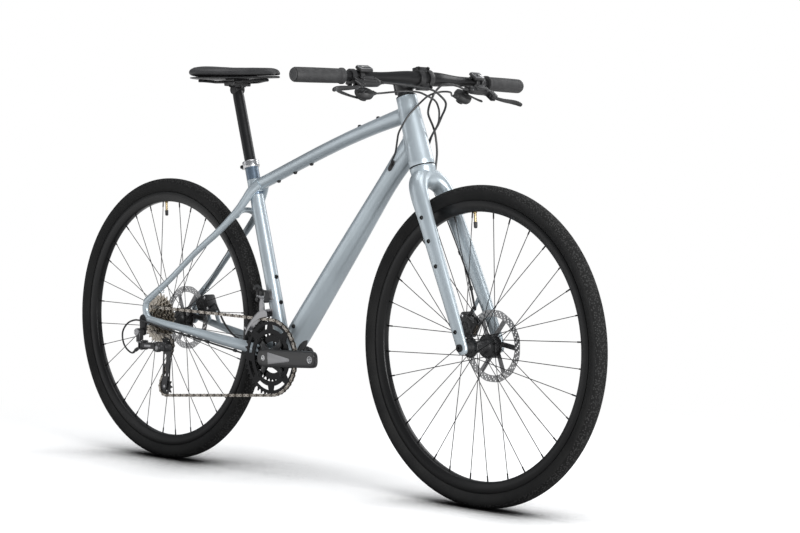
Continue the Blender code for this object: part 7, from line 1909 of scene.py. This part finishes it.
for word, centre in (("guide", GUIDE), ("tension", TENSION)):
    holes = [ring_of(centre.x, centre.z, 0.0029, 20)]
    holes += [ring_of(*on_circle(centre, 0.0115, tau * k / 5), 0.0022, 12) for k in range(5)]
    disc = sheet_part("pulley", toothed(centre, PULLEY_TEETH, roller_phase(centre), 0.0026, 0.0044), holes,
                      COG_PLANE - 0.0012, COG_PLANE + 0.0012, 0.0002)
    hub = lathe("pulley_hub",
                [(-0.0036, 0.0028), (-0.0036, 0.0056), (-0.0032, 0.0060), (0.0032, 0.0060),
                 (0.0036, 0.0056), (0.0036, 0.0028), (-0.0036, 0.0028)], centre + Y_AXIS * COG_PLANE,
                Y_AXIS, 32)
    assemble(word + "_pulley_wheel", [disc, hub], moulded_black, word + "_pulley", "plastic",
             (word + "_pulley",), 35.0)

# Front derailleur: a black band-clamp body beside the seat tube, and a plated steel cage of two
# curved plates that swings on a pin and guides the chain on the large ring.
BAND_ALONG = 0.1500
BAND_BORE = 0.0175
MECH_X = seat_point(BAND_ALONG).x
MECH_HINGE = Vector((MECH_X - 0.0030, -0.0385, seat_point(BAND_ALONG).z - 0.0040))
band = lathe("band",
             [(BAND_ALONG - 0.013, BAND_BORE), (BAND_ALONG - 0.013, 0.0194), (BAND_ALONG - 0.0120, 0.0200),
              (BAND_ALONG + 0.0120, 0.0200), (BAND_ALONG + 0.013, 0.0194), (BAND_ALONG + 0.013, BAND_BORE),
              (BAND_ALONG - 0.013, BAND_BORE)], BRACKET, SEAT_UP, 56)
carve(band,
      brick("front_half", seat_point(BAND_ALONG) + (SEAT_FORWARD * 0.7 + Y_AXIS * 0.7) * 0.0240,
            (SEAT_FORWARD + Y_AXIS, SEAT_UP, SEAT_FORWARD - Y_AXIS), (0.0560, 0.0500, 0.0800)))
mech_block = brick("mech_block", (MECH_X - 0.0070, -0.0310, MECH_HINGE.z + 0.0010), AXES,
                   (0.0300, 0.0220, 0.0300), 0.0050, 4)
upper_arm = brick("upper_arm", (MECH_X - 0.0190, -0.0330, MECH_HINGE.z + 0.0170),
                  (X_AXIS - Z_AXIS * 0.55, Y_AXIS, Z_AXIS + X_AXIS * 0.55), (0.0300, 0.0120, 0.0120),
                  0.0030, 3)
pivot_rows = ((-0.0010, 0.0100, 0.0055), (-0.0150, -0.0060, 0.0050), (-0.0240, 0.0200, 0.0045))
pivots = [bar("pivot_boss", (MECH_X + ahead, -0.0400, MECH_HINGE.z + up),
              (MECH_X + ahead, -0.0445, MECH_HINGE.z + up), radius, 32, 0.0008)
          for ahead, up, radius in pivot_rows]
carve(mech_block, upper_arm, *pivots, operation="UNION")
carve(mech_block, bar("tube", seat_point(0.05), seat_point(0.30), BAND_BORE, 48),
      brick("slot", MECH_HINGE, AXES, (0.0206, 0.0100, 0.0400)))
cable_arm = brick("cable_arm", (MECH_X - 0.0190, -0.0262, MECH_HINGE.z - 0.0080), AXES,
                  (0.0110, 0.0100, 0.0060), 0.0015)
hinge_pin = bar("hinge_pin", MECH_HINGE - X_AXIS * 0.0120, MECH_HINGE + X_AXIS * 0.0120, 0.0016, 16)
assemble("front_derailleur_clamp", [mech_block, cable_arm, hinge_pin], satin_black, "frame", "black_metal",
         ("front_derailleur_body",), 40.0)
band_bolt = screw(seat_point(BAND_ALONG - 0.0040, 0.0, -0.0196), -Y_AXIS, 0.0046, 0.0034, 0.0022)
bracket_plate = brick("bracket_plate", seat_point(BAND_ALONG - 0.0030, -0.0060, -0.0200),
                      (SEAT_FORWARD, Y_AXIS, SEAT_UP), (0.0150, 0.0050, 0.0240), 0.0014)
low_screws = [screw((MECH_X - 0.0150 + 0.0070 * k, -0.0418, MECH_HINGE.z + 0.0020), -Y_AXIS, 0.0021, 0.0014,
                    0.0010) for k in range(2)]
low_screws.append(bar("arm_tip", (MECH_X - 0.0330, -0.0330, MECH_HINGE.z + 0.0260),
                      (MECH_X - 0.0250, -0.0330, MECH_HINGE.z + 0.0210), 0.0026, 20, 0.0005))
assemble("front_derailleur_silver", [bracket_plate, band, band_bolt, *low_screws], silver_trim, "frame",
         "steel")


def cage_arc(low, high, inner_radius, outer_radius, count=22):
    """A curved strip round the bracket, between two angles in degrees."""
    angles = [radians(low + (high - low) * i / (count - 1)) for i in range(count)]
    outside = [on_circle(BRACKET, outer_radius, a) for a in angles]
    return outside + [on_circle(BRACKET, inner_radius, a) for a in angles[::-1]]


ARC_LOW, ARC_HIGH = pitch_radius(LARGE_TEETH) + 0.0070, pitch_radius(LARGE_TEETH) + 0.0260
mech_outer, mech_inner = LARGE_PLANE - 0.0068, LARGE_PLANE + 0.0092
sickle_rows = ((94.0, 0.0100), (96.0, 0.0135), (100.0, 0.0162), (106.0, 0.0172), (112.0, 0.0155),
               (118.0, 0.0125), (126.0, 0.0098), (134.0, 0.0078), (142.0, 0.0060), (148.0, 0.0040),
               (150.0, 0.0020))
sickle = [on_circle(BRACKET, ARC_LOW + reach, radians(degrees_round)) for degrees_round, reach in sickle_rows]
sickle += [on_circle(BRACKET, ARC_LOW, radians(150.0 - 2.8 * k)) for k in range(21)]
arcs = [sheet_part("outer_plate", sickle, [], mech_outer, mech_outer + 0.0011, 0.0003),
        wire("plate_rib", [Vector((x, mech_outer - 0.0001, z)) for x, z in sickle[3:10]], 0.0008, 8),
        sheet_part("inner_plate", cage_arc(92.0, 146.0, ARC_LOW, ARC_HIGH), [], mech_inner - 0.0011,
                   mech_inner, 0.0003),
        sheet_part("top_web", cage_arc(98.0, 112.0, ARC_HIGH - 0.0060, ARC_HIGH - 0.0022, 6), [],
                   mech_outer + 0.0004, mech_inner - 0.0004, 0.0002),
        sheet_part("tail_web", cage_arc(142.0, 144.5, ARC_LOW + 0.0040, ARC_HIGH - 0.0040, 4), [],
                   mech_outer + 0.0004, mech_inner - 0.0004, 0.0002)]
arm_foot = BRACKET.z + ARC_HIGH * sin(radians(110.0)) - 0.0075
swing_eye = bar("swing_eye", MECH_HINGE - X_AXIS * 0.0100, MECH_HINGE + X_AXIS * 0.0100, 0.0042, 32, 0.0005)
swing_arm = brick("swing_arm",
                  (MECH_HINGE.x + 0.0010, MECH_HINGE.y - 0.0008, (arm_foot + MECH_HINGE.z) * 0.5), AXES,
                  (0.0140, 0.0030, MECH_HINGE.z - arm_foot), 0.0008)
join("front_derailleur_plates", [*arcs, swing_eye, swing_arm])
plate_steel = Finish("plated_guide_steel", (0.36, 0.36, 0.37), 0.30, 1.0)
plate_steel.worn(0.24, 0.16, 0.004, 0.0009, 0.00003, 0.4)
dress(arcs[0], plate_steel, "front_derailleur_cage", "steel", ("front_derailleur_cage",), 35.0)

# Brake calipers: two-piston, cast in halves that bolt together over the disc, black painted,
# with a round cap over each piston and steel-backed pads in the slot.
pad_backing = Finish("pad_backing_steel", (0.20, 0.17, 0.14), 0.45, 0.9)
pad_backing.worn(0.40, 0.2, 0.004, 0.0012, 0.00008, 0.5, (3.0, 3.0))


def caliper(centre, radial, tangent, name, body):
    axes = (radial, Y_AXIS, tangent)
    block = brick("caliper", centre - Y_AXIS * 0.0005, axes, (0.0440, 0.0340, 2.0 * CALIPER_HALF), 0.0050, 4)
    for side in (-1.0, 1.0):
        carve(block,
              brick("flank", centre + Y_AXIS * (side * 0.0190) + radial * 0.0160, axes,
                    (0.0200, 0.0080, 0.0600), 0.0020))
        carve(block,
              lathe("dish", [(0.0, 0.0), (0.0, 0.0100), (0.0040, 0.0110), (0.0040, 0.0)],
                    centre - radial * 0.0050 + Y_AXIS * (side * 0.0158 - 0.0005), Y_AXIS * side, 36))
    carve(block, brick("slot", centre - radial * 0.0100, axes, (0.0400, 0.0068, 0.0800)))
    pistons = [lathe("piston_cap",
                     [(-0.003, 0.0), (-0.003, 0.0086), (0.0012, 0.0086), (0.0018, 0.0078), (0.0018, 0.0034),
                      (0.0006, 0.0030), (0.0006, 0.0)],
                     centre - radial * 0.0050 + Y_AXIS * (side * 0.0150 - 0.0005), Y_AXIS * side, 36)
               for side in (-1.0, 1.0)]
    assemble(name + "_body", [block, *pistons], satin_black, body, "black_metal", (name,), 40.0)
    pads = [brick("pad", centre - radial * 0.0120 + Y_AXIS * (side * 0.0022), axes,
                  (0.0280, 0.0016, 0.0240), 0.0004) for side in (-1.0, 1.0)]
    assemble(name + "_pads", pads, pad_backing, body, "steel")
    bolts = [screw(centre + radial * 0.0150 + tangent * along - Y_AXIS * 0.0150, -Y_AXIS, 0.0034, 0.0026,
                   0.0016) for along in (-0.0140, 0.0140)]
    assemble(name + "_bolts", bolts, plain_steel, body, "steel")


caliper(rear_caliper_centre, rear_radial, rear_tangent, "rear_caliper", "frame")
caliper(front_caliper_centre, front_radial, front_tangent, "front_caliper", "steering")

# Hoses and housings: two black brake hoses and two black gear housings. They leave the controls,
# loop in front of the head tube, and all but the front brake hose run through the down tube.
LANE = 0.0090
ENTRY_DEPTH = 0.00075
HOSE_RADIUS = 0.0025
HOUSING_RADIUS = 0.0022
PORT_FRACTION = 1.0 - 0.0844 / DOWN_SPAN
EXIT_FRACTION = 0.0570 / DOWN_SPAN
PORT_SIDE = DOWN_WIDTH * 0.40
POD_SIDE = POD_AT - 0.0215


def smooth_route(points, bend, longest):
    """A smooth line through given points, with a new point wherever it has turned or run on enough."""
    points = [Vector(point) for point in points]
    fine = [points[0]]
    for i in range(len(points) - 1):
        a = points[max(i - 1, 0)]
        b = points[i]
        c = points[i + 1]
        d = points[min(i + 2, len(points) - 1)]
        reach = (c - b).length
        enter = (c - a).normalized() * reach
        leave = (d - b).normalized() * reach
        for k in range(1, 13):
            t = k / 12.0
            fine.append(b * (2 * t ** 3 - 3 * t ** 2 + 1) + enter * (t ** 3 - 2 * t ** 2 + t)
                        + c * (3 * t ** 2 - 2 * t ** 3) + leave * (t ** 3 - t ** 2))
    kept = [fine[0]]
    heading = fine[1] - fine[0]
    for i in range(1, len(fine) - 1):
        onward = fine[i + 1] - fine[i]
        run = (fine[i] - kept[-1]).length
        if run > 0.0045 and (heading.angle(onward) > bend or run > longest):
            kept.append(fine[i])
            heading = onward
    return kept + [fine[-1]]


def below_shell(side, back=0.0):
    """A point just under the bracket shell."""
    return BRACKET + Vector((-back, side, -SHELL_RADIUS - 0.0056))


def leaving(hand, distance, ahead, up):
    """The first two points of a line that leaves a control towards the stem."""
    start = hand.at(distance, ahead, up) - hand.out * ENTRY_DEPTH
    return [start, start - hand.out * 0.016]


def inside_tube(lane):
    """A line's run down the inside of the down tube, in a lane of its own."""
    return [down_point(0.80, 0.0, lane), down_point(0.50, 0.0, lane), down_point(0.23, 0.0, lane)]


def out_of_slot(lane):
    """Out of the slot low on the down tube and under the bracket shell."""
    return [down_point(0.150, -0.0090, lane), down_point(EXIT_FRACTION, -0.0250, lane),
            BRACKET + Vector((0.0310, lane, -0.0080)), BRACKET + Vector((0.0160, lane, -0.0235)),
            below_shell(lane)]


def stay_side(side, fraction, out, below):
    """A point beside or below a chainstay, by fraction of the way from the axle to the bracket."""
    return REAR_AXLE.lerp(BRACKET, fraction) + Vector((0.0, side * out, 0.0030 - below))


port_right = down_point(PORT_FRACTION, 0.0, -PORT_SIDE)
port_upper = down_point(PORT_FRACTION + 0.006, 0.0040, PORT_SIDE)
port_lower = down_point(PORT_FRACTION - 0.006, -0.0040, PORT_SIDE)
head_middle = steer_point(HEAD_START + 0.0806)


def by_bar(*offset):
    """A point near the middle of the handlebar."""
    return BAR_CENTRE + Vector(offset)


def by_bracket(*offset):
    """A point near the bottom bracket."""
    return BRACKET + Vector(offset)


def by_axle(*offset):
    """A point near the rear axle."""
    return REAR_AXLE + Vector(offset)


def by_head(forward, side, drop):
    """A point near the head tube, measured from its middle."""
    return head_middle + Vector((forward, side, -drop))


front_shift = leaving(hands[1], POD_SIDE, 0.0080, -0.0350)
front_shift += [by_bar(-0.0011, 0.0900, -0.0265), by_bar(-0.0016, 0.0600, -0.0268),
                by_bar(-0.0063, 0.0300, -0.0351), by_head(0.0226, -0.0050, -0.0637),
                by_head(0.0137, -0.0300, -0.0370), by_head(0.0065, -0.0450, -0.0108),
                by_head(-0.0048, -0.0450, 0.0068), by_head(-0.0231, -0.0350, 0.0465),
                port_right + down_along * 0.0120 - Y_AXIS * 0.0070, port_right]
front_shift += [port_right - down_along * 0.0130 + Y_AXIS * 0.0090]
front_shift += inside_tube(-LANE) + out_of_slot(-0.0060)
front_shift += [below_shell(-0.0050, 0.0170), by_bracket(-0.0340, -0.0040, -0.0060),
                by_bracket(-0.0370, -0.0040, 0.0200), seat_point(0.0700, -SEAT_TUBE_RADIUS - 0.0055, -0.0060),
                seat_point(0.1050, -SEAT_TUBE_RADIUS - 0.0040, -0.0130)]
mech_entry = Vector((MECH_X - 0.0190, -0.0260, MECH_HINGE.z - 0.0120 - 0.0003))
front_shift += [mech_entry - Z_AXIS * 0.0130, mech_entry]

front_brake = leaving(hands[1], MASTER_END, 0.0250, -0.0030)
front_brake += [by_bar(0.0115, 0.1000, -0.0125), by_bar(0.0170, 0.0500, -0.0110),
                by_bar(0.0142, 0.0270, -0.0280), by_head(0.0330, 0.0200, -0.0716),
                by_head(0.0248, 0.0200, -0.0550), by_head(0.0184, 0.0250, -0.0387),
                by_head(0.0150, 0.0440, -0.0126), by_head(0.0130, 0.0540, 0.0070)]
# Rows of (height, ahead, side) down the back of the left blade
down_blade = ((0.4600, 0.0010, 0.0560), (0.4200, -0.0130, 0.0510), (0.3800, -0.0210, 0.0430),
              (0.3450, -0.0115, 0.0440), (0.3000, -0.0035, 0.0460), (0.2000, 0.0100, 0.0510),
              (0.1500, 0.0170, 0.0480), (0.1200, 0.0205, 0.0430), (0.0900, 0.0240, 0.0380))
front_brake += [steer_point(height, ahead, side) for height, ahead, side in down_blade]
hose_foot = (front_caliper_centre + front_radial * 0.0030 + front_tangent * (CALIPER_HALF + GAP)
             - Y_AXIS * 0.0070)
front_brake += [hose_foot + front_tangent * 0.0250 + Y_AXIS * 0.0020, hose_foot]

rear_brake = leaving(hands[0], MASTER_END, 0.0250, -0.0030)
rear_brake += [by_bar(0.0300, -0.0750, -0.0175), by_bar(0.0436, -0.0300, -0.0233),
               by_bar(0.0418, -0.0050, -0.0272), by_bar(0.0402, 0.0150, -0.0362),
               by_head(0.0664, 0.0300, -0.0658), by_head(0.0557, 0.0400, -0.0516),
               by_head(0.0440, 0.0430, -0.0372), by_head(0.0337, 0.0410, -0.0161),
               by_head(0.0181, 0.0405, 0.0036), by_head(-0.0050, 0.0385, 0.0370),
               port_upper + down_along * 0.0130 + Y_AXIS * 0.0080, port_upper,
               port_upper - down_along * 0.0130 - Y_AXIS * 0.0090]
rear_brake += inside_tube(LANE) + out_of_slot(0.0120)
rear_brake += [below_shell(0.0180, 0.0250), stay_side(1.0, 0.867, 0.0270, 0.0205),
               stay_side(1.0, 0.755, 0.0325, 0.0185), stay_side(1.0, 0.620, 0.0375, 0.0185),
               stay_side(1.0, 0.520, 0.0362, 0.0120), stay_side(1.0, 0.430, 0.0390, -0.0010),
               stay_side(1.0, 0.360, 0.0420, -0.0200)]
hose_end = rear_caliper_centre + rear_radial * (0.0220 + 0.0006) - rear_tangent * 0.0120 - Y_AXIS * 0.0090
rear_brake += [hose_end + rear_radial * 0.0240 - rear_tangent * 0.0170, hose_end + rear_radial * 0.0180,
               hose_end]

rear_shift = leaving(hands[0], POD_SIDE, 0.0080, -0.0350)
rear_shift += [by_bar(0.0170, -0.0850, -0.0310), by_bar(0.0307, -0.0600, -0.0305),
               by_bar(0.0336, -0.0400, -0.0323), by_bar(0.0318, -0.0200, -0.0373),
               by_head(0.0630, 0.0000, -0.0682), by_head(0.0567, 0.0180, -0.0525),
               by_head(0.0494, 0.0280, -0.0383), by_head(0.0417, 0.0330, -0.0192),
               by_head(0.0246, 0.0320, 0.0070), by_head(0.0030, 0.0360, 0.0400),
               port_lower + down_along * 0.0130 + Y_AXIS * 0.0080, port_lower,
               port_lower - down_along * 0.0130 - Y_AXIS * 0.0100]
rear_shift += inside_tube(0.0) + out_of_slot(0.0030)
rear_shift += [below_shell(0.0000, 0.0200), below_shell(-0.0120, 0.0500),
               stay_side(-1.0, 0.740, 0.0360, 0.0190), stay_side(-1.0, 0.572, 0.0460, 0.0165),
               stay_side(-1.0, 0.411, 0.0545, 0.0145), stay_side(-1.0, 0.228, 0.0665, 0.0130),
               stay_side(-1.0, 0.150, 0.0800, 0.0090), by_axle(0.0420, -0.0905, -0.0080),
               by_axle(0.0220, -0.0935, -0.0040), by_axle(0.0000, -0.0945, -0.0020),
               by_axle(-0.0230, -0.0955, -0.0030), by_axle(-0.0470, -0.0975, -0.0130),
               by_axle(-0.0630, -0.0990, -0.0340), by_axle(-0.0610, -0.0990, -0.0580),
               by_axle(-0.0470, -0.0990, -0.0750), adjuster_end - adjuster_along * 0.0150,
               adjuster_end - adjuster_along * 0.0003]

hose_black = Finish("hose_black", (0.020, 0.020, 0.021), 0.42, Coat_Weight=0.1, Coat_Roughness=0.3)
hose_black.mottle(0.02, 2.0, (0.017, 0.017, 0.018), (0.026, 0.026, 0.027))
hose_black.worn(0.36, 0.14, 0.01, 0.0010, 0.00005, 0.4)


def hose(name, points, radius, body=None):
    """One smooth round hose with a ferrule at both ends."""
    route = smooth_route(points, radians(4.0), 0.030)
    piece = wire(name + "_line", route, radius, 14)
    ends = []
    for end, next_point in ((route[0], route[2]), (route[-1], route[-3])):
        along = (next_point - end).normalized()
        ends.append(lathe("ferrule",
                          [(0.0002, radius), (0.0002, radius + 0.0004), (0.0007, radius + 0.0008),
                           (0.0100, radius + 0.0007), (0.0108, radius + 0.0003), (0.0108, radius)], end,
                          along, 20))
    assemble(name + "_line", [piece, *ends], hose_black, body, "hose", (name,), 60.0)
    return piece, route


rear_brake_line, rear_brake_route = hose("rear_brake_hose", rear_brake, HOSE_RADIUS)
rear_shift_line, rear_shift_route = hose("rear_shift_housing", rear_shift, HOUSING_RADIUS)
front_shift_line = hose("front_shift_housing", front_shift, HOUSING_RADIUS)[0]
front_brake_route = hose("front_brake_hose", front_brake, HOSE_RADIUS, "steering")[1]
blend_start = port_upper + Vector((0.010, 0.0, 0.015))
blend_end = by_bar(0.035, 0.0, -0.045)
for line in (rear_brake_line, rear_shift_line, front_shift_line):
    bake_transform(line)

# Port grommets, guides and ties: moulded rubber and nylon pieces where the lines go into the down
# tube, pass under the bracket shell, and lie along the stays and the fork blade.
grommets = []
for side, half_length, half_height in ((-1.0, 0.0130, 0.0045), (1.0, 0.0160, 0.0090)):
    middle = down_point(PORT_FRACTION, 0.0, 0.0)
    rings = []
    for out, grow in ((-0.0010, 0.0002), (0.0012, 0.0016), (0.0020, 0.0010), (0.0022, -0.0004),
                      (0.0014, -0.0012), (0.0009, -0.0020)):
        ring = []
        for k in range(40):
            u, v = squared(cos(tau * k / 40), 0.7), squared(sin(tau * k / 40), 0.8)
            spot = middle + down_along * (u * (half_length + grow)) + down_lift * (v * (half_height + grow))
            hit = frame_surface.ray_cast(Vector((spot.x, side * 0.2, spot.z)), Vector((0.0, -side, 0.0)))
            wall = hit[0].y if hit[0] is not None else side * 0.0200
            ring.append(Vector((spot.x, wall + side * out, spot.z)))
        rings.append(ring)
    grommets.append(skin("grommet", rings))
assemble("port_grommets", grommets, moulded_black, "frame", "rubber", angle=50.0)


def clip(route, at, radius, half=0.0045):
    """A snug ring round a hose at the point of its route that is nearest a place."""
    nearest = min(range(2, len(route) - 2), key=lambda k: (route[k] - at).length)
    along = (route[nearest + 1] - route[nearest - 1]).normalized()
    return lathe("tie",
                 [(-half, radius), (-half, radius + 0.0010), (-half + 0.0006, radius + 0.0014),
                  (half - 0.0006, radius + 0.0014), (half, radius + 0.0010), (half, radius),
                  (-half, radius)], route[nearest], along, 24)


HOSE_TIE_BORE = 0.0026
HOUSING_TIE_BORE = 0.0023
ties = [clip(rear_brake_route, stay_side(1.0, f, 0.035, 0.018), HOSE_TIE_BORE) for f in (0.80, 0.66, 0.47)]
ties += [clip(rear_shift_route, stay_side(-1.0, f, 0.050, 0.015), HOUSING_TIE_BORE)
         for f in (0.66, 0.49, 0.30)]
assemble("stay_ties", ties, moulded_black, "frame", "plastic", angle=50.0)
fork_ties = [clip(front_brake_route, steer_point(height, 0.0, 0.05), HOSE_TIE_BORE)
             for height in (0.33, 0.22, 0.13)]
assemble("fork_ties", fork_ties, moulded_black, "steering", "plastic", angle=50.0)
cover_rows = [(0.036, 0.0205, 0.0010, 0.0034), (0.040, 0.0210, 0.0042, 0.0084),
              (0.050, 0.0212, 0.0068, 0.0112), (0.060, 0.0214, 0.0064, 0.0115),
              (0.070, 0.0212, 0.0046, 0.0104), (0.078, 0.0210, 0.0026, 0.0080),
              (0.082, 0.0205, 0.0008, 0.0034)]
cover_stations = [(BRACKET + down_along * along - down_lift * drop + Y_AXIS * 0.0030, deep, wide)
                  for along, drop, deep, wide in cover_rows]
cover = tube("cable_exit_cover", cover_stations, 4, 32, 0.85)
dress(cover, moulded_black, "frame", "plastic", angle=60.0)
guide = brick("shell_guide", by_bracket(-0.0040, 0.0040, -0.0235), AXES, (0.0300, 0.0380, 0.0030), 0.0010)
dress(guide, moulded_black, "frame", "plastic")
